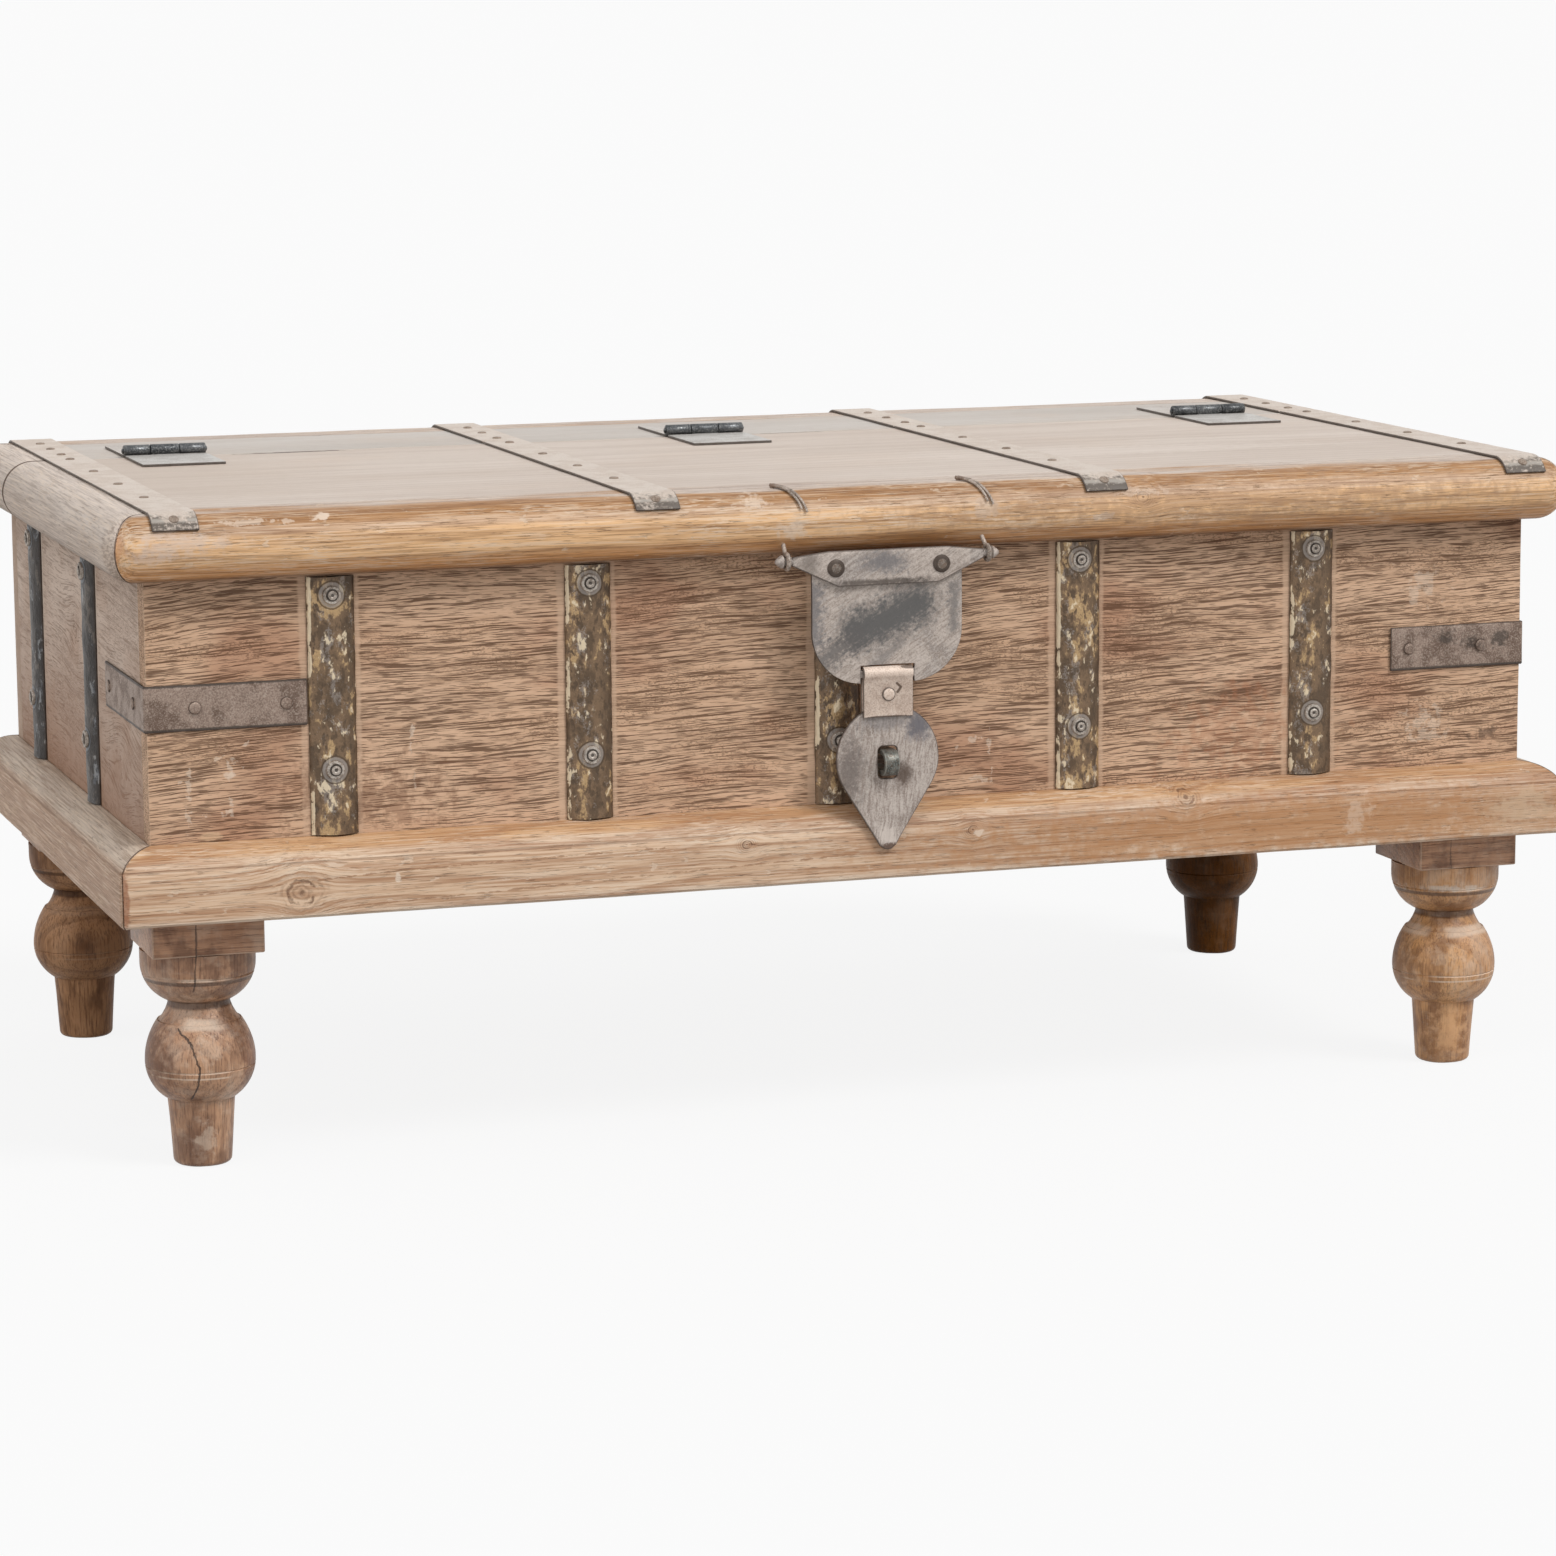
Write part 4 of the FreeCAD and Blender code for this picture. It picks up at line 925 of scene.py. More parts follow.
@dataclass(frozen=True)
class MouldTimber(Timber):
    """Rounded edge boards and plinth, whose tone changes with the height."""

    body: Colour = paint(92, 64, 42)
    dark: Colour = paint(120, 80, 48)
    chalk: Colour = paint(228, 208, 186)
    tones: tuple[Tone, ...] = ()
    lines: tuple[float, ...] = ()
    chalky: float = 0.6
    figured: float = 0.5
    shine: float = 0.42

    def dress(self, coat: Coat) -> bpy.types.Material:
        """Builds the material.

        Args:
            coat: The material.

        Returns:
            The material.
        """
        wood = self.figure(coat)
        wave = self.streaks(coat, wood.place, 5.0, 25.0, 6.0) - 0.5
        up = wood.place.along(Axis.Z) + wave * 0.005
        colour = coat.over(self.body, *((up.rise(tone.low, tone.high), tone.colour) for tone in self.tones))
        rub = self.streaks(coat, wood.place, 9.0, 50.0, 7.0, 4.0).rise(0.44, 0.66)
        scrape = self.streaks(coat, wood.bent, 70.0, 900.0, 8.0, 2.0)
        chips = coat.cloud(wood.place * (60.0, 60.0, 130.0), 1.0, 3.0, 0.6, self.seed + 9.0).rise(0.66, 0.7)
        lime = (rub * scrape.rise(0.5, 0.58)).larger(chips * 0.7)
        edge = None
        for line in self.lines:
            one = (wood.place.along(Axis.Z) + wave * 0.001).band(line, 0.0003, 0.0009)
            edge = one if edge is None else edge.larger(one)
        colour = coat.over(
            colour, (wood.broad.rise(0.42, 0.72) * (0.55 * self.figured), self.dark),
            (wood.rings * self.figured * 0.7, self.dark), (wood.fibre.rise(0.46, 0.66) * 0.55, self.dark),
            ((1.0 - wood.fibre).rise(0.5, 0.66) * 0.4, self.chalk), (wood.pores * 0.5, paint(86, 56, 36)),
            (lime * self.chalky, self.chalk), (coat.wear_grime_and_shade(-1.0) * 0.85, paint(74, 54, 40)),
        )
        height = wood.fibre * 0.5 - wood.pores * 0.8 - wood.rings * 0.3 - chips * 0.4
        if edge is not None:
            colour = coat.blend(edge * 0.4, colour, paint(112, 76, 50))
            height = height - edge
        colour, height = self.marked(coat, wood, colour, height)
        rough = self.shine + wood.fibre * 0.14 + lime * 0.25
        return coat.close(colour, rough, coat.bump(height, 0.0005, 0.8), gloss=0.4)


@dataclass(frozen=True)
class WallTimber(Timber):
    """Brushed wall boards whose grain stands out, smooth and pale beside the straps."""

    light: Colour = paint(224, 188, 158)
    body: Colour = paint(206, 168, 137)
    dark: Colour = paint(78, 50, 33)
    ruddy: Colour = paint(166, 114, 86)
    margin: Colour = paint(206, 176, 150)
    margins: tuple[float, ...] = ()
    margin_side: float = -0.001
    groove: float = 0.78
    groove_edge: float = 0.53

    def dress(self, coat: Coat) -> bpy.types.Material:
        """Builds the material.

        Args:
            coat: The material.

        Returns:
            The material.
        """
        wood = self.figure(coat)
        sway = (coat.cloud(self.stretch(wood.place, 3.0, 7.0), 1.0, 3.0, 0.55, self.seed + 5.0) - 0.5) * 0.03
        slant = wood.place.along(self.grain) * -0.035
        waved = wood.bent + coat.reach(Axis.Z.value, sway + slant)
        thick = self.streaks(coat, waved, 6.0, 60.0, 12.0, 4.0) - 0.5
        edge = self.groove_edge
        coarse = self.streaks(coat, waved, 30.0, 960.0, 10.0, 1.0) + thick * 0.12
        fine = self.streaks(coat, waved, 80.0, 1350.0, 11.0, 1.0) + thick * 0.2
        split = self.streaks(coat, waved, 11.0, 480.0, 19.0, 2.0).rise(0.66, 0.69)
        speck = coat.cloud(self.stretch(wood.place, 420.0, 900.0), 1.0, 1.0, 0.5, self.seed + 16.0)
        area = coat.cloud(self.stretch(wood.place, 7.0, 26.0), 1.0, 3.0, 0.55, self.seed + 17.0)
        dots = speck.rise(0.55, 0.62) * area.rise(0.5, 0.6)
        grooves = coarse.rise(edge + 0.045, edge + 0.095).larger(fine.rise(edge + 0.035, edge + 0.09) * 0.7)
        grooves = grooves.larger(dots * 0.6).larger(split)
        blush = coat.cloud(wood.place * (8.0, 8.0, 14.0), 1.0, 3.0, 0.6, self.seed + 18.0)
        colour = coat.over(
            self.body, ((1.0 - area).rise(0.4, 0.62) * 0.6, self.light),
            ((1.0 - coarse).rise(0.5, 0.62) * 0.5, self.light), (blush.rise(0.48, 0.66) * 0.5, self.ruddy),
            (wood.rings * 0.12, self.dark), (thick.rise(0.0, 0.16) * 0.12, self.dark),
        )
        smooth = None
        for middle in self.margins:
            jitter = (coat.cloud(wood.place * (0.0, 0.0, 90.0), 1.0, 3.0, 0.65, middle) - 0.5) * 0.004
            line = (wood.place.along(self.grain) + jitter).band(middle + self.margin_side, 0.0205, 0.0022)
            smooth = line if smooth is None else smooth.larger(line)
        if smooth is not None:
            grooves = grooves * (1.0 - smooth * 0.75)
            colour = coat.blend(smooth * 0.45, colour, self.margin)
        colour = coat.over(colour, (grooves * self.groove, self.dark), (coat.wear_grime_and_shade() * 0.5, self.margin))
        colour, height = self.marked(coat, wood, colour, wood.fibre * 0.25 - grooves - wood.rings * 0.15)
        return coat.close(colour, 0.66 + grooves * 0.2, coat.bump(height, 0.0006, 0.8), gloss=0.25)


@dataclass(frozen=True)
class LegTimber(Timber):
    """Dark waxed legs with a cream rub on the turned beads."""

    light: Colour = paint(190, 148, 114)
    body: Colour = paint(160, 114, 80)
    dark: Colour = paint(92, 56, 34)
    chalk: Colour = paint(230, 210, 190)
    chalky: float = 0.6
    waxed: float = 0.45

    def dress(self, coat: Coat) -> bpy.types.Material:
        """Builds the material.

        Args:
            coat: The material.

        Returns:
            The material.
        """
        wood = self.figure(coat)
        patch = coat.cloud(wood.place * (34.0, 34.0, 18.0), 1.0, 4.0, 0.62, self.seed + 15.0)
        high = wood.place.along(Axis.Z)
        wavy = high + (patch - 0.5) * 0.004
        ledge = wavy.band(0.1045, 0.002, 0.003).larger(wavy.band(0.1385, 0.0006, 0.001))
        scribe = high.band(0.0718, 0.0004, 0.0004).larger(high.band(0.0678, 0.0004, 0.0004))
        cuts = high.band(0.1355, 0.0008, 0.001).larger(high.band(0.1175, 0.002, 0.002))
        rub = coat.cloud(wood.place * (70.0, 70.0, 110.0), 1.0, 4.0, 0.65, self.seed + 16.0).rise(0.48, 0.66)
        fade = coat.cloud(wood.place * (26.0, 26.0, 9.0), 1.0, 2.0, 0.5, self.seed + 17.0).rise(0.4, 0.55)
        lime = (ledge * fade).larger(scribe * fade).larger(rub * 0.25).larger(coat.wear_grime_and_shade() * 0.6)
        # Painted shade: the top of the cup and the square blocks, under the box, are darkened.
        shade = high.rise(0.118, 0.156) * 0.28
        colour = coat.over(
            self.light, (wood.broad.rise(0.3, 0.7), self.body), (patch.rise(0.48, 0.62) * 0.6, self.dark),
            (wood.rings * 0.3, self.dark), (wood.fibre.rise(0.45, 0.68) * 0.55, self.dark), (shade, self.dark),
            ((1.0 - patch).rise(0.52, 0.66) * (0.4 * self.chalky), self.chalk),
            (wood.pores * 0.5, paint(66, 40, 24)), (cuts * 0.7, paint(60, 36, 22)), (lime * self.chalky, self.chalk),
        )
        height = wood.fibre * 0.5 - wood.pores * 0.8 - wood.rings * 0.2 - cuts
        colour, height = self.marked(coat, wood, colour, height)
        rough = 0.34 + wood.fibre * 0.16 + lime * 0.3
        return coat.close(colour, rough, coat.bump(height, 0.0005, 0.7), gloss=self.waxed)


# ---------------------------------------------------------------- metal


@dataclass(frozen=True)
class Iron(Finish):
    """Old iron with patches of two tones, brush strokes, pits and rubbed edges, and painted shade on the faces marked
    dark.
    """

    name: str
    base: Colour
    patch: Colour
    rub: Colour
    stain: Colour = paint(110, 78, 54)
    seed: float = 0.0
    patch_size: float = 0.018
    patch_edge: tuple[float, float] = (0.44, 0.6)
    painted_edge_shade: Colour = paint(66, 54, 46)
    stroke_angle: float | None = None
    stroked: float = 0.5
    rubbed: float = 0.5
    stained: float = 0.3
    metallic: float = 0.35
    roughness: float = 0.5
    hammer: float = 0.0006
    stains_and_painted_light: tuple[StainOrPaintedLight, ...] = ()

    def dress(self, coat: Coat) -> bpy.types.Material:
        """Builds the material.

        Args:
            coat: The material.

        Returns:
            The material.
        """
        place = coat.here()
        mottle = coat.cloud(place, 1.0 / self.patch_size, 5.0, 0.62, self.seed * 0.1 + 1.0)
        fleck = coat.cloud(place, 330.0, 3.0, 0.62, self.seed * 0.1 + 2.0)
        grit = coat.cloud(place, 900.0, 2.0, 0.6, self.seed * 0.1 + 3.0)
        rust = coat.cloud(place, 46.0, 4.0, 0.65, self.seed * 0.1 + 4.0).rise(0.55, 0.72)
        patch = (mottle + (fleck - 0.5) * 0.35).rise(*self.patch_edge)
        height = mottle * 0.5 + fleck * 0.4 + grit * 0.2
        colour = coat.over(
            self.base, (patch, self.patch), (fleck.rise(0.52, 0.72) * 0.4, self.rub),
            ((1.0 - fleck).rise(0.58, 0.74) * 0.4, self.stain), (rust * self.stained, self.stain),
            (grit.rise(0.5, 0.66) * 0.4, self.rub), ((1.0 - grit).rise(0.5, 0.66) * 0.4, self.stain),
        )
        fray = (mottle + fleck) * 0.5
        if self.stroke_angle is not None:
            bent = place + coat.reach((1.0, 1.0, 1.0), (mottle - 0.5) * 0.012)
            brush = coat.cloud(coat.turned(bent, Axis.Y, self.stroke_angle) * (60.0, 60.0, 620.0), 1.0, 4.0, 0.65,
                               self.seed * 0.1 + 5.0)
            colour = coat.over(colour, (brush.rise(0.5, 0.62) * self.stroked, self.stain),
                               ((1.0 - brush).rise(0.5, 0.62) * self.stroked, self.rub))
            height = height + brush * 0.5
            fray = (brush + fleck) * 0.5
        for mark in self.stains_and_painted_light:
            mask = mark.mask(coat, place, fray)
            colour = coat.blend(mask, colour, mark.tone)
        rubbed = (coat.wear_grime_and_shade() * (0.4 + fleck * 0.9)).rise(0.35, 0.9) * self.rubbed
        # Faces marked below 0, the edges, sides, flanks and grooves, take painted shade.
        colour = coat.over(colour, (rubbed, self.rub), (coat.wear_grime_and_shade(-1.0) * 0.85, self.painted_edge_shade))
        rough = self.roughness + patch * 0.1 - rubbed * 0.15 + fleck * 0.1
        return coat.close(colour, rough, coat.bump(height, self.hammer, 0.85), self.metallic - rust * 0.15, gloss=0.5)


@dataclass(frozen=True)
class StrapIron(Finish):
    """Bronzed wall straps blotched with gold and lilac grey, with a painted highlight in cream along one edge and
    painted shade along the other.
    """

    name: str
    middle_axis: Axis
    middles: tuple[float, ...]
    half: float
    seed: float = 0.0
    base: Colour = paint(124, 100, 76)
    deep: Colour = paint(76, 60, 44)
    gold: Colour = paint(196, 164, 120)
    cream: Colour = paint(226, 208, 178)
    lilac: Colour = paint(154, 146, 140)
    gilt: float = 1.0
    # Which side takes the painted shade: 1 the + side, -1 the - side; the painted highlight goes along the other edge.
    painted_shade_side: float = 1.0

    def dress(self, coat: Coat) -> bpy.types.Material:
        """Builds the material.

        Args:
            coat: The material.

        Returns:
            The material.
        """
        place = coat.here()
        drips = place * (1.0, 1.0, 0.55)
        blot = coat.cloud(drips, 75.0, 4.0, 0.62, self.seed * 0.1 + 1.0)
        small = coat.cloud(drips, 210.0, 3.0, 0.64, self.seed * 0.1 + 2.0)
        pale = coat.cloud(drips, 105.0, 3.0, 0.6, self.seed * 0.1 + 3.0)
        grit = coat.cloud(place, 800.0, 2.0, 0.6, self.seed * 0.1 + 4.0)
        edge, crown, right = None, None, None
        # Along each strap: a thin line by the lit edge for the painted highlight, a crown band on that side that tips
        # the blotches (worn, and partly painted highlight), and a band by the other edge for painted shade.
        for middle in self.middles:
            off = place.along(self.middle_axis) + (small - 0.5) * 0.002
            side = self.half * self.painted_shade_side
            parts = (off.band(middle - side * 0.9, self.half * 0.03, self.half * 0.09),
                     off.band(middle - side * 0.35, self.half * 0.15, self.half * 0.4),
                     off.band(middle + side * 0.95, self.half * 0.1, self.half * 0.6))
            edge = parts[0] if edge is None else edge.larger(parts[0])
            crown = parts[1] if crown is None else crown.larger(parts[1])
            right = parts[2] if right is None else right.larger(parts[2])
        flat = tuple(1.0 if axis in (self.middle_axis, Axis.Z) else 0.0 for axis in Axis)
        screw = None
        for middle in self.middles:
            for level in SCREW_HEIGHTS:
                spot = tuple(middle if axis is self.middle_axis else level for axis in Axis)
                far = ((place - spot) * flat).length()
                screw = far if screw is None else screw.smaller(far)
        screw = screw + (small - 0.5) * 0.0015
        run = coat.cloud(place * (5.0, 5.0, 14.0), 1.0, 2.0, 0.5, self.seed * 0.1 + 5.0)
        # shine: the painted highlight along the lit edge, which draws the cream into a line.
        shine = edge * run.rise(0.36, 0.52)
        gold = (blot * 0.6 + small * 0.4 + crown * 0.04 + (run - 0.5) * 0.12).rise(0.545, 0.6) * self.gilt
        cream = (small * 0.6 + pale * 0.4 + shine * 0.2 + crown * 0.02).rise(0.575, 0.625) * self.gilt
        lilac = (pale * 0.7 + grit * 0.3 + crown * 0.05).rise(0.56, 0.62)
        # right takes the painted shade by the other edge, and the strap's side faces marked dark take painted shade
        # too.
        colour = coat.over(
            self.base, ((1.0 - blot).rise(0.5, 0.6) * 0.7, self.deep), (right * 0.55, self.deep),
            (lilac * 0.5, self.lilac), (gold * 0.75, self.gold), ((1.0 - small).rise(0.55, 0.64) * 0.75, self.deep),
            ((1.0 - grit).rise(0.5, 0.66) * 0.35, self.deep), (cream * 0.85, self.cream),
            (screw.band(0.0078, 0.0008, 0.0007) * 0.7, self.lilac), (screw.band(0.0097, 0.0002, 0.0007) * 0.8, self.deep),
            (coat.wear_grime_and_shade(-1.0) * 0.8, paint(60, 48, 38)),
        )
        height = blot * 0.7 + small * 0.6 + grit * 0.12
        rough = 0.4 - gold * 0.08 + grit * 0.14
        return coat.close(colour, rough, coat.bump(height, 0.0018, 0.95), 0.3 + gold * 0.2, gloss=0.5)


# the finishes that are used

ALONG_STRAPS = tuple((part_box(f"front_strap_{i}")[0].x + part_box(f"front_strap_{i}")[1].x) / 2 for i in range(1, 6))
STRAP_HALF = (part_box("front_strap_1")[1].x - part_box("front_strap_1")[0].x) / 2
SIDE_STRAPS = (-0.07, 0.15)
SCREW_HEIGHTS = (0.4065, 0.2835)
SLATE = paint(84, 83, 82)
CREAM = paint(226, 206, 186)
CRACK = paint(46, 30, 20)


def scar(*points: tuple[float, float], half: float = 0.0013, share: float = 0.5) -> Stroke:
    """A pale scratch on the front wall.

    Args:
        points: Pairs of X and height along it.
        half: Half its width.
        share: How strongly it shows.

    Returns:
        The scratch.
    """
    first, *rest = ((x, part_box("front_panel")[0].y, z) for x, z in points)
    return Stroke(first, (half, half, half), CREAM, share, 2.2, 0.8, path=tuple(rest), sway=0.014)


LID_WOOD = TopTimber(
    "lid_boards", Axis.X, 1.0, joints=(-0.148, -0.034, 0.058), ring_pitch=0.011,
    stains_and_painted_light=(
        StainOrPaintedLight((-0.333, 0.1165, 0.468), (0.046, 0.0036, 0.01), CRACK, 0.85, 0.35, 0.3, 1.0),
        StainOrPaintedLight((0.070, 0.1190, 0.468), (0.040, 0.0020, 0.01), CRACK, 0.5, 0.5, 0.4, 1.0),
        StainOrPaintedLight((-0.18, 0.02, 0.468), (0.16, 0.03, 0.01), paint(198, 184, 172), 0.4, 0.5, 0.9),
        StainOrPaintedLight((0.25, -0.11, 0.468), (0.20, 0.04, 0.01), paint(220, 208, 198), 0.4, 0.5, 0.9),
        StainOrPaintedLight((-0.46, 0.0, 0.468), (0.14, 0.34, 0.02), paint(190, 174, 160), 0.55, 0.3, 1.0),
    ),
)
REAR_WOOD = TopTimber("rear_board", Axis.X, 4.0, light=paint(200, 193, 186), body=paint(189, 181, 173))
NOSE_WOOD = MouldTimber(
    "front_nose", Axis.X, 7.0, pith=(0.0, -0.21, 0.40), ring_pitch=0.008, figured=0.45, body=paint(124, 84, 52),
    # Height tones: orange wood under the limed top. The dark body below them on the underside is painted shade, and the
    # brightest band on the front of the round is partly painted highlight.
    tones=(
        Tone(0.4215, 0.427, paint(216, 158, 102)), Tone(0.429, 0.438, paint(238, 192, 142)),
        Tone(0.4515, 0.4555, paint(202, 164, 128)), Tone(0.4570, 0.4610, paint(176, 130, 84)),
        Tone(0.4668, 0.4677, paint(204, 189, 177)),
    ),
    knots=(Knot((0.2053, -0.293, 0.4527), 0.0035, 0.012),),
    stains_and_painted_light=(
        StainOrPaintedLight((-0.505, -0.293, 0.449), (0.040, 0.05, 0.009), paint(206, 184, 168), 0.6, 0.9, 0.9),
        StainOrPaintedLight((-0.524, -0.293, 0.439), (0.020, 0.05, 0.004), paint(210, 188, 172), 0.5, 0.9, 0.9),
        StainOrPaintedLight((-0.403, -0.285, 0.4635), (0.007, 0.05, 0.0022), CREAM, 0.8, 0.9),
        StainOrPaintedLight((-0.452, -0.285, 0.4620), (0.022, 0.05, 0.0018), CREAM, 0.5, 1.4),
        StainOrPaintedLight((0.205, -0.288, 0.4560), (0.020, 0.05, 0.003), CREAM, 0.5, 1.4),
        StainOrPaintedLight((0.172, -0.293, 0.4400), (0.008, 0.05, 0.003), CREAM, 0.7, 1.0),
        StainOrPaintedLight((-0.062, -0.293, 0.4390), (0.012, 0.05, 0.008), CREAM, 0.6, 1.0, 0.8),
        StainOrPaintedLight((-0.090, -0.285, 0.4610), (0.013, 0.05, 0.005), CREAM, 0.6, 1.0, 0.8),
        StainOrPaintedLight((0.083, -0.290, 0.4500), (0.012, 0.05, 0.008), CREAM, 0.6, 1.0, 0.8),
        StainOrPaintedLight((-0.548, -0.280, 0.4480), (0.008, 0.03, 0.020), paint(198, 140, 96), 0.6, 0.4, 0.8),
        StainOrPaintedLight((0.270, -0.290, 0.4480), (0.300, 0.05, 0.020), paint(170, 134, 104), 0.55, 0.9, 1.0),
    ),
)
SIDE_NOSE_WOOD = MouldTimber(
    "side_nose", Axis.Y, 8.0, pith=(-0.45, 0.0, 0.40), chalky=0.3, figured=0.25, body=paint(138, 116, 98),
    dark=paint(140, 120, 104), shine=0.5,
    # The darker body below these tones, on the underside, is painted shade.
    tones=(Tone(0.4235, 0.436, paint(190, 172, 158)), Tone(0.44, 0.46, paint(210, 196, 185))),
)
FRONT_WALL_WOOD = WallTimber(
    "front_wall", Axis.X, 12.0, margins=ALONG_STRAPS, pith=(0.0, -0.12, 0.24),
    stains_and_painted_light=(
        scar((-0.337, 0.3105), (-0.3365, 0.285), (-0.335, 0.266), half=0.001, share=0.6),
        StainOrPaintedLight((-0.482, -0.264, 0.2405), (0.009, 0.02, 0.0035), paint(210, 178, 146), 0.8, 0.4),
        StainOrPaintedLight((-0.482, -0.264, 0.2365), (0.008, 0.02, 0.0009), CRACK, 0.8, 0.3),
        scar((-0.4967, 0.2948), (-0.4959, 0.242)), scar((-0.468, 0.3016), (-0.4661, 0.2486)),
        scar((-0.5016, 0.2818), (-0.4642, 0.2831)), scar((-0.4769, 0.2937), (-0.4545, 0.3054)),
        scar((-0.4743, 0.3044), (-0.457, 0.288)), scar((-0.4889, 0.2546), (-0.467, 0.2579)),
        scar((0.0693, 0.2703), (0.0703, 0.2458)), scar((0.0948, 0.286), (0.0995, 0.2439)),
        scar((0.0792, 0.25), (0.0948, 0.2479), half=0.002), scar((0.0817, 0.2769), (0.0921, 0.2788)),
        StainOrPaintedLight((0.4454, -0.264, 0.374), (0.012, 0.02, 0.009), CREAM, 0.4, 2.2, 0.9),
        StainOrPaintedLight((0.4488, -0.264, 0.2677), (0.012, 0.02, 0.012), CREAM, 0.4, 2.2, 0.9),
        StainOrPaintedLight((0.4947, -0.264, 0.259), (0.012, 0.02, 0.004), paint(88, 70, 58), 0.6, 1.6, 0.8),
        # Painted shadow of the drop and staple on the wall behind them.
        StainOrPaintedLight((0.0170, -0.264, 0.2645), (0.015, 0.02, 0.017), paint(40, 30, 24), 0.92, 0.3, 0.7),
        StainOrPaintedLight((-0.37, -0.264, 0.262), (0.06, 0.02, 0.030), paint(120, 80, 58), 0.45, 1.2, 1.0),
        StainOrPaintedLight((0.30, -0.264, 0.270), (0.06, 0.02, 0.035), paint(176, 118, 84), 0.4, 1.2, 1.0),
    ),
)
REAR_WALL_WOOD = WallTimber(
    "rear_wall", Axis.X, 13.0, pith=(0.0, 0.12, 0.24),
    stains_and_painted_light=tuple(
        StainOrPaintedLight((x, 0.254, 0.31), (0.003, 0.03, 0.30), paint(192, 168, 150), 0.85, 0.1, 0.5) for x in (-0.525, 0.525)
    ),
)
SIDE_WALL_WOOD = WallTimber(
    "side_wall", Axis.Y, 15.0, margins=SIDE_STRAPS, pith=(-0.40, 0.0, 0.24), groove=0.4, ring_pitch=0.009,
    light=paint(214, 194, 178), body=paint(200, 177, 160), dark=paint(118, 92, 76), ruddy=paint(182, 150, 128),
    margin=paint(206, 190, 174), margin_side=0.0, groove_edge=0.58,
    knots=(Knot((-0.525, -0.001, 0.354), 0.005, 0.03, Axis.X), Knot((-0.525, -0.17, 0.27), 0.003, 0.04, Axis.X)),
    stains_and_painted_light=tuple(StainOrPaintedLight((x, 0.0, 0.190), (0.02, 0.90, 0.19), paint(144, 102, 74), 0.9, 0.08, 1.1)
                 for x in (-0.525, 0.525)),
)
PLINTH_WOOD = MouldTimber(
    "plinth_along_front", Axis.X, 20.0, pith=(0.0, -0.22, 0.15), figured=0.75, dark=paint(152, 104, 68),
    body=paint(212, 190, 168), lines=(0.2225,), shine=0.45, ring_pitch=0.007,
    tones=(
        Tone(0.1855, 0.190, paint(216, 184, 154)), Tone(0.2225, 0.2235, paint(210, 182, 154)),
        Tone(0.2275, 0.2315, paint(202, 160, 118)),
    ),
    knots=(
        Knot((-0.4238, -0.29, 0.2016), 0.0085, 0.02), Knot((-0.0982, -0.29, 0.2150), 0.003, 0.01),
        Knot((0.0743, -0.29, 0.2151), 0.003, 0.01), Knot((0.2435, -0.28, 0.2285), 0.005, 0.015),
    ),
    stains_and_painted_light=(
        StainOrPaintedLight((-0.548, -0.288, 0.204), (0.0035, 0.01, 0.022), paint(150, 96, 66), 0.7, 0.4),
        StainOrPaintedLight((0.33, -0.289, 0.203), (0.34, 0.03, 0.030), paint(178, 126, 80), 0.7, 0.5, 0.9),
        StainOrPaintedLight((-0.355, -0.29, 0.2085), (0.0022, 0.02, 0.004), CREAM, 0.8, 0.5),
        StainOrPaintedLight((0.08, -0.29, 0.2133), (0.005, 0.02, 0.0025), CREAM, 0.7, 0.9),
        StainOrPaintedLight((0.3798, -0.29, 0.2089), (0.011, 0.03, 0.013), CREAM, 0.35, 1.4, 0.9),
        StainOrPaintedLight((0.515, -0.289, 0.204), (0.03, 0.03, 0.016), paint(204, 178, 150), 0.6, 0.9, 0.7),
        Stroke((-0.50, -0.29, 0.2045), (0.0007,) * 3, paint(150, 108, 76), 0.7, 0.8,
               path=((-0.35, -0.29, 0.213), (-0.16, -0.29, 0.2165))),
        Stroke((-0.40, -0.29, 0.189), (0.0007,) * 3, paint(150, 108, 76), 0.6, 0.8,
               path=((-0.20, -0.29, 0.1965), (0.02, -0.29, 0.204))),
    ),
)
PLINTH_SIDE_WOOD = MouldTimber(
    "plinth_along_side", Axis.Y, 22.0, pith=(-0.48, 0.0, 0.15), figured=0.4, dark=paint(134, 104, 80), chalky=0.4,
    body=paint(178, 146, 122), lines=(0.2225,), shine=0.5,
    tones=(Tone(0.186, 0.192, paint(178, 144, 118)), Tone(0.222, 0.228, paint(200, 182, 164))),
)
BLOCK_WOOD = LegTimber(
    "leg_blocks_wood", Axis.X, 30.0, pith=(0.0, -0.19, 0.10), chalky=0.45, light=paint(222, 174, 138),
    body=paint(196, 148, 114),
    stains_and_painted_light=(
        Stroke((-0.4937, -0.264, 0.183), (0.0007,) * 3, CRACK, 0.7, 0.4, sunk=1.0, path=((-0.4942, -0.264, 0.156),)),
        Stroke((0.470, -0.264, 0.183), (0.0006,) * 3, CRACK, 0.5, 0.5, sunk=1.0, path=((0.4705, -0.264, 0.156),)),
    ),
)
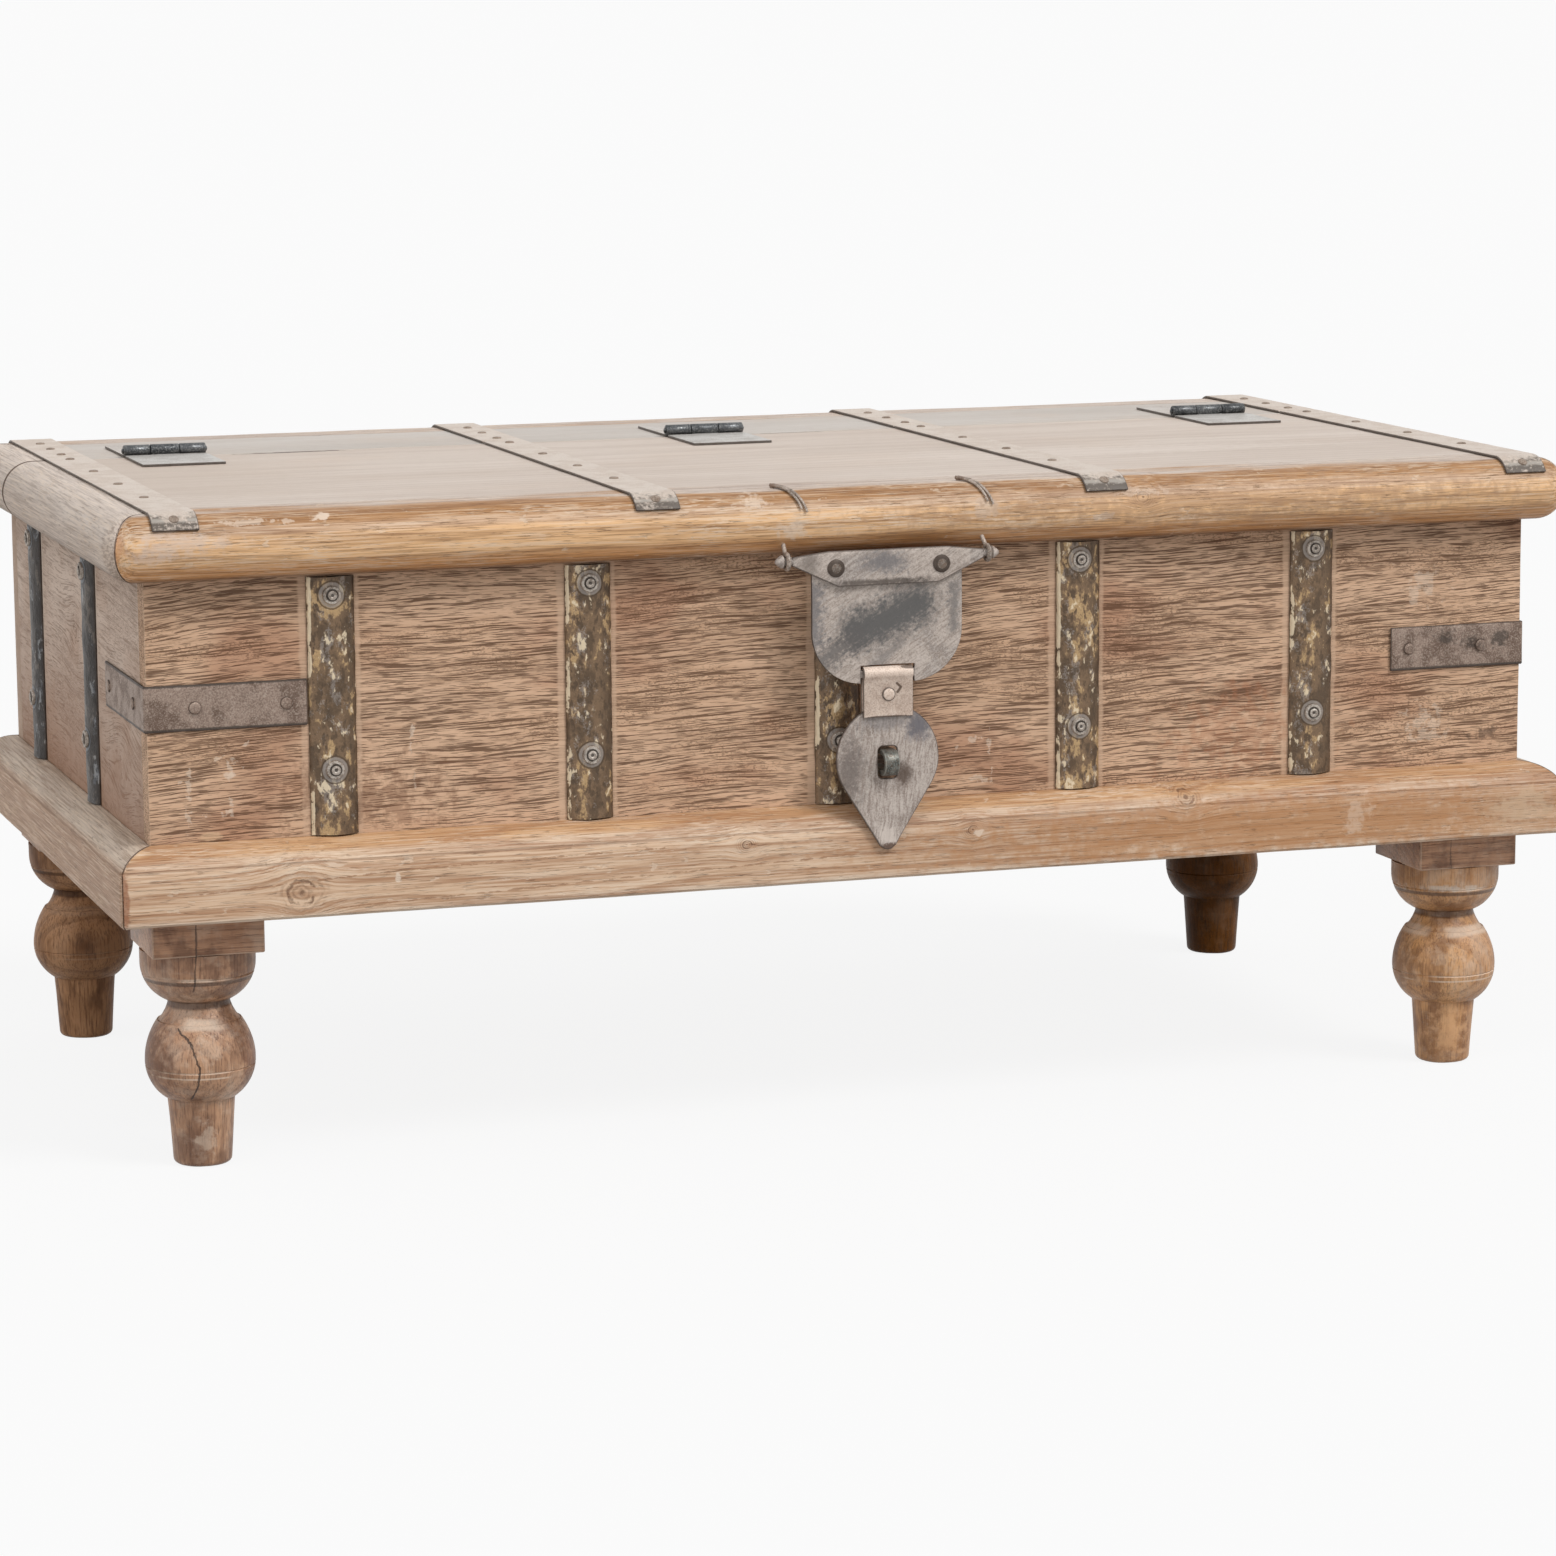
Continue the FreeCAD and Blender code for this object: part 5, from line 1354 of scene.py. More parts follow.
FRONT_LEG_STAINS_AND_PAINTED_LIGHT = (
    Stroke((-0.5053, -0.2484, 0.1018), (0.0008,) * 3, CRACK, 0.85, 0.3, 0.5, 2.0, sway=0.005, depth=0.0, path=(
        (-0.498, -0.258, 0.0917), (-0.4936, -0.2623, 0.0758), (-0.4947, -0.2589, 0.0615), (-0.4975, -0.2507, 0.052),
    )),
    Stroke((-0.4942, -0.2639, 0.156), (0.0007,) * 3, CRACK, 0.7, 0.5, 0.4, 1.0, depth=0.0,
           path=((-0.496, -0.2587, 0.1303),)),
    # A pale patch on the front of the ball: painted highlight.
    StainOrPaintedLight((-0.4860, -0.2620, 0.087), (0.010, 0.02, 0.010), paint(214, 190, 168), 0.3, 1.2, 0.9),
    StainOrPaintedLight((-0.4860, -0.245, 0.020), (0.007, 0.02, 0.014), paint(206, 184, 164), 0.5, 1.2, 0.9),
    # Dark patches at the ball's left and right: painted shade round the ball.
    StainOrPaintedLight((-0.5250, -0.235, 0.078), (0.022, 0.05, 0.034), paint(104, 66, 42), 0.85, 0.6, 1.0),
    StainOrPaintedLight((-0.4450, -0.240, 0.074), (0.022, 0.05, 0.030), paint(112, 70, 46), 0.85, 0.6, 1.0),
    StainOrPaintedLight((-0.4850, -0.262, 0.128), (0.050, 0.05, 0.006), paint(96, 62, 42), 0.5, 0.9, 1.0),
    StainOrPaintedLight((-0.4850, -0.262, 0.148), (0.050, 0.05, 0.004), paint(100, 66, 46), 0.45, 1.0, 1.0),
)
RIGHT_LEG_STAINS_AND_PAINTED_LIGHT = (
    # A pale patch on the front of the ball: painted highlight.
    StainOrPaintedLight((0.470, -0.258, 0.085), (0.008, 0.02, 0.012), paint(214, 190, 166), 0.25, 1.2, 0.9),
    StainOrPaintedLight((0.470, -0.262, 0.1405), (0.034, 0.05, 0.0030), paint(206, 196, 184), 0.6, 0.9, 0.8),
    # A lighter, more orange foot: painted light.
    StainOrPaintedLight((0.4820, -0.245, 0.026), (0.018, 0.04, 0.030), paint(224, 176, 130), 0.6, 0.8, 1.0),
    # Dark patches at the ball's left and right: painted shade round the ball.
    StainOrPaintedLight((0.4450, -0.235, 0.075), (0.011, 0.05, 0.034), paint(128, 84, 48), 0.6, 0.9, 1.0),
    StainOrPaintedLight((0.5230, -0.240, 0.072), (0.011, 0.05, 0.030), paint(128, 84, 48), 0.6, 0.9, 1.0),
    StainOrPaintedLight((0.4850, -0.262, 0.127), (0.050, 0.05, 0.005), paint(124, 84, 52), 0.45, 0.9, 1.0),
)
INNER_WOOD_X = Timber("inner_along_x", Axis.X, 40.0)
INNER_WOOD_Y = Timber("inner_along_y", Axis.Y, 41.0, pith=(0.0, 0.0, 0.38))
INNER_WOOD_Z = Timber("inner_upright", Axis.Z, 42.0, pith=(-0.45, -0.2, 0.0))

WALL_STRAP_IRON = StrapIron("front_strap_bronze", Axis.X, ALONG_STRAPS, STRAP_HALF, 50.0)
SIDE_STRAP_IRON = StrapIron(
    "side_strap_bronze", Axis.Y, SIDE_STRAPS, STRAP_HALF, 52.0, base=paint(74, 68, 64), deep=paint(36, 30, 26),
    gold=paint(122, 112, 102), cream=paint(164, 164, 164), lilac=paint(112, 116, 122), gilt=0.55, painted_shade_side=-1.0,
)
BAND_IRON = Iron(
    "band_mottled", paint(150, 130, 117), paint(112, 92, 80), paint(190, 174, 160), stain=paint(88, 68, 56),
    seed=60.0, patch_size=0.016, stained=0.45, hammer=0.0007,
    stains_and_painted_light=tuple(
        StainOrPaintedLight((x, -0.266, z), (0.010, 0.02, 0.007), paint(58, 50, 44), 0.75, 1.2, 0.8)
        for x, z in ((0.462, 0.333), (0.484, 0.329), (0.508, 0.331))
    ) + tuple(
        # Thin dark lines along the bands' edges: painted shade.
        StainOrPaintedLight((x, -0.2, z), (0.2, 0.2, 0.0015), paint(62, 54, 48), 0.85, 0.35, 0.6)
        for x, z in ((-0.5, 0.3166), (-0.5, 0.3478), (0.5, 0.3114))
    ),
)
TOP_STRAP_IRON = Iron(
    "top_strap_limed", paint(206, 193, 181), paint(197, 182, 169), paint(216, 205, 195), stain=paint(172, 154, 138),
    seed=64.0, stained=0.2, metallic=0.0, roughness=0.5, hammer=0.0002,
    stains_and_painted_light=(
        StainOrPaintedLight((0.0, -0.292, 0.4630), (2.0, 0.0140, 0.03), paint(112, 102, 92), 0.9, 1.1, 0.8),
        StainOrPaintedLight((0.0, -0.290, 0.4650), (2.0, 0.0060, 0.03), paint(72, 62, 54), 0.7, 1.8, 0.9),
        # A narrow pale band along the bend over the nose: painted highlight.
        StainOrPaintedLight((0.0, -0.286, 0.4650), (2.0, 0.0020, 0.03), paint(190, 182, 172), 0.6, 1.4, 0.9),
    ),
)
LEAF_ZINC = Iron(
    "leaf_zinc", paint(192, 189, 184), paint(172, 168, 163), paint(216, 213, 208), seed=68.0, stained=0.15,
    metallic=0.35, roughness=0.4, hammer=0.0002,
)
REAR_LEAF = Iron(
    "leaf_limed", paint(200, 193, 186), paint(188, 180, 172), paint(216, 210, 204), seed=69.0, stained=0.2,
    metallic=0.1, roughness=0.5, hammer=0.0002,
)
BARREL_STEEL = Iron(
    "barrel_steel", paint(86, 88, 90), paint(56, 58, 60), paint(160, 160, 158), stain=paint(60, 60, 62), seed=70.0,
    metallic=0.7, roughness=0.3, hammer=0.0002,
)
HASP_IRON = Iron(
    "hasp_pale", paint(184, 171, 161), paint(158, 148, 141), paint(206, 195, 186), stain=paint(118, 104, 94),
    seed=74.0, patch_size=0.03, patch_edge=(0.5, 0.62), stroke_angle=32.0, stroked=0.4, stained=0.3,
    metallic=0.15, roughness=0.42, hammer=0.0005,
    stains_and_painted_light=(
        Stroke((-0.014, -0.294, 0.3660), (0.0230,) * 3, SLATE, 0.95, 0.6, 0.9, path=((0.030, -0.294, 0.3820),)),
        Stroke((-0.044, -0.294, 0.3440), (0.0120,) * 3, paint(92, 88, 86), 0.8, 1.0, 1.0,
               path=((-0.018, -0.294, 0.3600),)),
        Stroke((-0.048, -0.294, 0.3950), (0.0100,) * 3, paint(100, 98, 100), 0.75, 1.0, 1.0,
               path=((-0.048, -0.294, 0.3600),)),
        Stroke((0.058, -0.294, 0.3950), (0.0060,) * 3, paint(104, 100, 98), 0.7, 1.0, 1.0,
               path=((0.058, -0.294, 0.3650),)),
        Stroke((-0.008, -0.294, 0.3360), (0.0050,) * 3, paint(122, 116, 112), 0.6, 0.7, 0.9,
               path=((0.018, -0.294, 0.3560),)),
        StainOrPaintedLight((0.004, -0.2975, 0.4150), (0.022, 0.01, 0.012), paint(104, 102, 104), 0.8, 0.7, 0.9),
        StainOrPaintedLight((-0.052, -0.2975, 0.4160), (0.010, 0.01, 0.010), paint(112, 102, 94), 0.7, 0.7, 0.9),
        StainOrPaintedLight((0.004, -0.2975, 0.4010), (0.050, 0.01, 0.0030), paint(70, 60, 52), 0.8, 0.7, 0.8),
    ),
)
DROP_IRON = Iron(
    "drop_pale", paint(178, 165, 156), paint(150, 138, 130), paint(206, 196, 187), stain=paint(116, 100, 90),
    seed=75.0, patch_size=0.03, patch_edge=(0.5, 0.62), stroke_angle=84.0, stroked=0.5, stained=0.35,
    metallic=0.15, roughness=0.42, hammer=0.0005,
    stains_and_painted_light=(
        StainOrPaintedLight((0.031, -0.294, 0.2950), (0.013, 0.02, 0.015), paint(98, 96, 102), 0.9, 0.6, 0.9),
        StainOrPaintedLight((0.006, -0.294, 0.2990), (0.026, 0.02, 0.008), paint(118, 114, 114), 0.6, 0.7, 0.9),
        StainOrPaintedLight((0.019, -0.294, 0.2600), (0.009, 0.02, 0.010), paint(80, 62, 50), 0.85, 0.7, 0.8),
        # Darker left part of the drop, left of the staple: painted shade.
        StainOrPaintedLight((-0.021, -0.294, 0.2650), (0.014, 0.02, 0.036), paint(104, 94, 88), 0.8, 0.9, 1.0),
        StainOrPaintedLight((0.0075, -0.294, 0.2160), (0.008, 0.02, 0.010), paint(214, 202, 192), 0.7, 0.7, 0.7),
        StainOrPaintedLight((0.0085, -0.294, 0.2075), (0.007, 0.02, 0.0034), paint(88, 62, 46), 0.9, 0.7),
    ),
)
LINK_IRON = Iron(
    "link_pale", paint(226, 206, 190), paint(206, 184, 168), paint(234, 220, 208), stain=paint(150, 122, 102),
    seed=76.0, stained=0.25, metallic=0.1, hammer=0.0005,
    stains_and_painted_light=(
        Stroke((0.0140, -0.296, 0.3270), (0.0012,) * 3, paint(92, 72, 58), 0.9, 0.4, 0.6, sway=0.001, depth=0.0,
               path=((0.0168, -0.296, 0.3240), (0.0145, -0.296, 0.3205))),
        # A thin dark line along the link's lower edge: painted shade where it lies on the drop.
        StainOrPaintedLight((0.0075, -0.2965, 0.3030), (0.018, 0.01, 0.0009), paint(86, 68, 56), 0.85, 0.5),
        StainOrPaintedLight((0.0230, -0.2965, 0.3385), (0.006, 0.01, 0.0016), paint(86, 68, 56), 0.85, 0.6),
    ),
)
EYE_IRON = Iron(
    "split_pin_grey", paint(170, 156, 144), paint(124, 112, 102), paint(208, 198, 188), seed=79.0, metallic=0.3,
    patch_size=0.006,
    stains_and_painted_light=tuple(
        StainOrPaintedLight((x, -0.2665, 0.4690), (0.008, 0.009, 0.006), paint(112, 84, 64), 0.7, 1.0, 0.7)
        for x in (-0.0700, 0.0710)
    ),
)
LIMED_NAIL = Iron(
    "nail_limed", paint(150, 134, 120), paint(122, 106, 92), paint(178, 164, 150), seed=82.0, metallic=0.1,
    patch_size=0.006,
)
STAPLE_IRON = Iron(
    "staple_dark", paint(104, 104, 98), paint(70, 72, 68), paint(160, 160, 152), seed=78.0, metallic=0.6,
    roughness=0.38, patch_size=0.008,
)
NAIL_IRON = Iron(
    "nail_dark", paint(116, 104, 94), paint(84, 74, 66), paint(170, 160, 150), seed=80.0, patch_size=0.006,
)
SCREW_IRON = Iron(
    "screw_grey", paint(184, 175, 165), paint(140, 130, 120), paint(214, 206, 196), seed=84.0, patch_size=0.004,
    painted_edge_shade=paint(58, 50, 44),
)


# ---------------------------------------------------------------- sub-assemblies


@dataclass
class Assembly:
    """A group of pieces that is built and dressed together."""

    pieces: list[bpy.types.Object] = field(default_factory=list)

    def keep(self, shape: Shape, name: str, body: Body, nodes: Sequence[str], finish: Finish, slot: str,
             crease: float = 40.0) -> bpy.types.Object:
        """Turns a shape into a piece that rides on a body.

        Args:
            shape: The finished shape, which is used up.
            name: The piece's name.
            body: What it rides on.
            nodes: The frame's nodes that it stands for.
            finish: Its finish.
            slot: The record's material slot; not used.
            crease: Edges sharper than this stay sharp.

        Returns:
            The piece.
        """
        shape.bm.normal_update()
        mesh = bpy.data.meshes.new(name)
        shape.bm.to_mesh(mesh)
        shape.bm.free()
        mesh.shade_smooth()
        mesh.set_sharp_from_angle(angle=math.radians(crease))
        mesh.materials.append(finish.material())
        piece = bpy.data.objects.new(name, mesh)
        bpy.context.scene.collection.objects.link(piece)
        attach(piece, body.value)
        if nodes:
            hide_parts(*nodes)
        self.pieces.append(piece)
        LOG.info("%s: %d faces on %s", name, len(mesh.polygons), body.value)
        return piece

    def build(self) -> None:
        """Builds every piece of the group."""
        raise NotImplementedError


@dataclass
class Legs(Assembly):
    """Four turned legs under square blocks."""

    foot: float = 0.017
    foot_round: float = 0.004
    ball: tuple[float, float] = (0.0393, 0.075)
    ball_low: tuple[float, float] = (0.0252, 0.0485)
    ball_high: tuple[float, float] = (0.030, 0.1045)
    neck: float = 0.0223
    cup: tuple[float, float] = (0.041, 0.146)
    top: float = 0.156
    groove: float = 0.0006
    # Tones per leg. The front right leg's lighter, more orange tones are painted light, and the rear right leg's
    # near-black tones are painted shade under the box.
    tones: dict[str, tuple[Colour, Colour, Colour]] = field(default_factory=lambda: {
        "leg_front_left": (paint(194, 152, 120), paint(166, 122, 90), paint(80, 46, 28)),
        "leg_front_right": (paint(210, 160, 110), paint(188, 136, 88), paint(108, 66, 36)),
        "leg_rear_left": (paint(178, 134, 98), paint(148, 106, 74), paint(78, 48, 30)),
        "leg_rear_right": (paint(104, 62, 14), paint(80, 44, 6), paint(42, 22, 3)),
    })
    stains_and_painted_light: dict[str, tuple[StainOrPaintedLight, ...]] = field(default_factory=lambda: {
        "leg_front_left": FRONT_LEG_STAINS_AND_PAINTED_LIGHT, "leg_front_right": RIGHT_LEG_STAINS_AND_PAINTED_LIGHT,
    })

    @staticmethod
    def swell(edge: tuple[float, float], crest: tuple[float, float], steps: int) -> list[tuple[float, float]]:
        """Points of the round between an edge and the widest place.

        Args:
            edge: Radius and height of the edge.
            crest: Radius and height of the widest place.
            steps: Number of runs.

        Returns:
            Points from the edge to the crest.
        """
        rise, run = edge[1] - crest[1], crest[0] - edge[0]
        radius = (run * run + rise * rise) / (2 * run)
        turn = math.degrees(math.asin(rise / radius))
        return arc((crest[0] - radius, crest[1]), radius, turn, 0.0, steps)

    def profile(self) -> list[tuple[float, float]]:
        """The leg's outline from the floor up.

        Returns:
            Pairs of radius and height.
        """
        points = [(0.0, 0.0), (self.foot, 0.0)]
        points += arc((self.foot, self.foot_round), self.foot_round, -90.0, 0.0, 4)[1:]
        points += [(0.0219, 0.018), (0.0229, 0.033), (0.024, 0.0485)]
        points += self.swell(self.ball_low, self.ball, 14)
        points += self.swell(self.ball_high, self.ball, 14)[::-1][1:]
        points += [(0.0288, 0.1045), (0.0265, 0.1075), (0.0242, 0.1115), (0.0228, 0.115), (self.neck, 0.1165)]
        points += [(self.neck, 0.1185)]
        points += self.swell((self.neck, 0.1185), self.cup, 16)[1:]
        points += [(self.cup[0], 0.1515), (self.cup[0], self.top), (0.0, self.top)]
        return points

    def scribed(self, points: list[tuple[float, float]]) -> list[tuple[float, float]]:
        """Adds the fine lines that a turner cuts.

        Args:
            points: The outline.

        Returns:
            The outline with grooves.
        """
        lines = (0.0678, 0.0718, 0.1355, 0.1385, 0.1515)
        half = 0.0007
        out = list(points)
        for line in lines:
            for i in range(len(out) - 1):
                (r0, z0), (r1, z1) = out[i], out[i + 1]
                if z0 < line - half and z1 > line + half and r0 > 0.02 and r1 > 0.02:
                    at = [(r0 + (r1 - r0) * (z - z0) / (z1 - z0), z) for z in (line - half, line, line + half)]
                    at[1] = (at[1][0] - self.groove, line)
                    out[i + 1:i + 1] = at
                    break
        return out

    def build(self) -> None:
        """Turns the legs and sets a block on each."""
        outline = self.scribed(self.profile())
        for row, side, seed in (("front", "left", 1.0), ("rear", "left", 2.0), ("front", "right", 3.0),
                                ("rear", "right", 4.0)):
            node = f"leg_{row}_{side}"
            low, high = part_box(node)
            middle = Vector(((low.x + high.x) / 2, (low.y + high.y) / 2, 0.0))
            light, body, dark = self.tones[node]
            # The rear legs take less chalk, which darkens them as painted shade under the box.
            finish = LegTimber(
                f"{node}_wood", Axis.Z, 30.0 + seed, pith=(middle.x + 0.01, middle.y + 0.03, 0.0),
                stains_and_painted_light=self.stains_and_painted_light.get(node, ()), chalky=0.6 if row == "front" else 0.1, light=light, body=body,
                dark=dark, waxed=0.45 if row == "front" else 0.1,
            )
            shape = Shape().turned(outline, middle, Axis.Z.way, 72)
            shape.uneven(0.0004, Vector((40.0, 40.0, 25.0)), seed)
            self.keep(shape, f"turned_{node}", Body.CHEST, [node], finish, "leg_wood", 34.0)
        low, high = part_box("leg_blocks")
        shape = Shape()
        size = 0.08
        for x in (low.x, high.x - size):
            for y in (low.y, high.y - size):
                shape.block(Vector((x, y, low.z)), Vector((x + size, y + size, high.z)))
        shape.soften(0.0012, 2)
        self.keep(shape, "square_leg_blocks", Body.CHEST, ["leg_blocks"], BLOCK_WOOD, "leg_wood")


@dataclass
class Mouldings(Assembly):
    """Pieces that go round the box with mitred corners."""

    joint_width: float = 0.0008
    split_width: float = 0.0022

    def run(self, section: Sequence[tuple[float, float]], along: Axis, sign: float, span: tuple[float, float],
            corners: Sequence[tuple[float, float]], pitch: float, ends: float) -> Shape:
        """Pushes a section along one side and mitres it.

        Args:
            section: Pairs of distance from the middle of the box and height.
            along: The side's direction.
            sign: Which side.
            span: Where it starts and ends.
            corners: Mitred corners.
            pitch: Distance between cuts.
            ends: Length near each end that is cut finely.

        Returns:
            The moulding.
        """
        low, high = span
        if along is Axis.X:
            outline = [Vector((low, sign * out, up)) for out, up in section]
        else:
            outline = [Vector((sign * out, low, up)) for out, up in section]
        shape = Shape().prism(outline, along.way * (high - low))
        for corner in corners:
            self.mitre(shape, corner, along is Axis.X)
        if len(corners) == 1:
            free = max(span, key=lambda end: abs(end - corners[0][1]))
            self.broken(shape, along.way * free, along.way, self.split_width)
        places = spaced(low, high, pitch)
        if ends:
            places += spaced(low, low + ends, 0.0025) + spaced(high - ends, high, 0.0025)
        return shape.sliced(along, places)

    def mitre(self, shape: Shape, corner: tuple[float, float], keep_x: bool) -> None:
        """Saws a corner off at 45 degrees and breaks the sawn edges.

        Args:
            shape: The moulding.
            corner: X and Y of the mitre's outer end.
            keep_x: Whether the moulding runs along X.
        """
        away = Vector((math.copysign(1.0, corner[0]), -math.copysign(1.0, corner[1]), 0.0))
        point = Vector((*corner, 0.0))
        shape.sawn(point, away if keep_x else -away)
        self.broken(shape, point, away, self.joint_width)

    @staticmethod
    def broken(shape: Shape, point: Vector, away: Vector, width: float) -> None:
        """Breaks the edges that lie in a cut, where dirt gathers.

        Args:
            shape: The moulding.
            point: A point on the cut.
            away: The cut's direction.
            width: How far the edges are broken.
        """
        shape.soften(width, 1, only=lambda edge: all(abs((v.co - point).dot(away)) < 1e-5 for v in edge.verts),
                     mark=-1.0)

    @staticmethod
    def rounded(shape: Shape, corner: tuple[float, float], radius: float) -> Shape:
        """Rounds the corners of the box's outline, seen from above.

        Args:
            shape: The moulding.
            corner: Half the length and half the depth.
            radius: The corner's radius.

        Returns:
            The shape.
        """
        start = (corner[0] - radius, corner[1] - radius)

        def pull(point: Vector) -> Vector:
            """Draws one point in towards the round corner."""
            past = Vector((abs(point.x) - start[0], abs(point.y) - start[1]))
            if past.x <= 0 or past.y <= 0:
                return point
            past = past.normalized() * max(past.x, past.y)
            x = math.copysign(start[0] + past.x, point.x)
            return Vector((x, math.copysign(start[1] + past.y, point.y), point.z))

        return shape.moved(pull)

    def build(self) -> None:
        """Nothing of its own."""


@dataclass
class Plinth(Mouldings):
    """Moulding round the foot of the box."""

    step: float = 0.0150
    corner: float = 0.006

    def section(self, wall: float, out: float, low: float, high: float) -> list[tuple[float, float]]:
        """The plinth's outline: an upright face under a rounded slope.

        Args:
            wall: Distance of the wall.
            out: Distance of the face.
            low: Underside.
            high: Top.

        Returns:
            Pairs of distance and height.
        """
        run = out - wall
        radius = (run * run + self.step * self.step) / (2 * self.step)
        turn = math.degrees(math.asin(run / radius))
        points = [(wall, low), (out - 0.002, low), (out, low + 0.002)]
        points += [(out, low + 0.014), (out, low + 0.027)]
        slope = arc((wall, high - radius), radius, 90.0 - turn, 90.0, 12)
        return points + slope

    def build(self) -> None:
        """Builds the four sides."""
        low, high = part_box("plinth_front")
        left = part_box("plinth_left")
        half = (high.x, -low.y)
        wall = (-left[1].x, -high.y)
        for name, along, sign in (("front", Axis.X, -1.0), ("rear", Axis.X, 1.0), ("left", Axis.Y, -1.0),
                                  ("right", Axis.Y, 1.0)):
            flat = along is Axis.X
            section = self.section(wall[1] if flat else wall[0], half[1] if flat else half[0], low.z, high.z)
            length = half[0] if flat else half[1]
            corners = [(end * half[0], sign * half[1]) if flat else (sign * half[0], end * half[1])
                       for end in (-1.0, 1.0)]
            shape = self.run(section, along, sign, (-length, length), corners, 0.012, 0.012)
            self.rounded(shape, half, self.corner)
            shape.uneven(0.0007, Vector((9.0, 9.0, 24.0)), 3.0 + sign)
            finish = PLINTH_WOOD if flat else PLINTH_SIDE_WOOD
            self.keep(shape, f"plinth_moulding_{name}", Body.CHEST, [f"plinth_{name}"], finish, "plinth_wood", 38.0)


@dataclass
class Top(Mouldings):
    """The lift-up top, the fixed strip behind it, and their rounded edges."""

    corner: float = 0.024
    joint: float = 0.0005

    def section(self, inner: float, outer: float, low: float, high: float) -> list[tuple[float, float]]:
        """The edge's outline: flat inside and half round outside.

        Args:
            inner: Distance of the inner face.
            outer: Distance of the outermost place.
            low: Underside.
            high: Top.

        Returns:
            Pairs of distance and height.
        """
        radius = (high - low) / 2
        round_edge = arc((outer - radius, low + radius), radius, -90.0, 90.0, 26)
        return [(inner, low), *round_edge, (inner, high)]

    def edge(self, name: str, node: str, body: Body, along: Axis, sign: float, corners: Sequence[tuple[float, float]],
             span: tuple[float, float]) -> None:
        """Builds one rounded edge.

        Args:
            name: The piece's name.
            node: The frame's node.
            body: What it rides on.
            along: Its direction.
            sign: Which side of the box.
            corners: Mitred corners.
            span: Where it starts and ends.
        """
        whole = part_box("lid_front_moulding")
        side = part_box("lid_left_moulding")
        half = (whole[1].x, -whole[0].y)
        inner = (-side[1].x, -whole[1].y)
        flat = along is Axis.X
        section = self.section(inner[1] if flat else inner[0], half[1] if flat else half[0], whole[0].z, whole[1].z)
        shape = self.run(section, along, sign, span, corners, 0.012, 0.06)
        self.rounded(shape, half, self.corner)
        shape.uneven(0.0006, Vector((10.0, 10.0, 30.0)), 6.0 + sign)
        finish = NOSE_WOOD if flat else SIDE_NOSE_WOOD
        self.keep(shape, name, body, [node], finish, "top_wood", 50.0)

    def boards(self) -> None:
        """Builds the flat boards inside the edges."""
        for name, node, body, finish in (
            ("lid_top_boards", "lid_board", Body.LID, LID_WOOD),
            ("rear_strip_board", "rear_top_board", Body.CHEST, REAR_WOOD),
        ):
            low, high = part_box(node)
            shape = Shape().block(low, high).soften(self.joint, 1, mark=0.2)
            shape.sliced(Axis.X, spaced(low.x, high.x, 0.02)).sliced(Axis.Y, spaced(low.y, high.y, 0.02))
            shape.uneven(0.0003, Vector((6.0, 12.0, 6.0)), 2.0)
            self.keep(shape, name, body, [node], finish, "top_wood", 35.0)

    def build(self) -> None:
        """Builds the edges and the boards."""
        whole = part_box("lid_front_moulding")
        x, y = whole[1].x, -whole[0].y
        split_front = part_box("lid_left_moulding")[1].y
        split_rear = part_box("rear_end_left")[0].y
        self.edge("lid_front_nose", "lid_front_moulding", Body.LID, Axis.X, -1.0, [(-x, -y), (x, -y)], (-x, x))
        self.edge("rear_nose", "rear_moulding", Body.CHEST, Axis.X, 1.0, [(-x, y), (x, y)], (-x, x))
        for side, sign in (("left", -1.0), ("right", 1.0)):
            self.edge(f"lid_{side}_nose", f"lid_{side}_moulding", Body.LID, Axis.Y, sign, [(sign * x, -y)],
                      (-y, split_front))
            self.edge(f"rear_{side}_nose", f"rear_end_{side}", Body.CHEST, Axis.Y, sign, [(sign * x, y)],
                      (split_rear, y))
        self.boards()


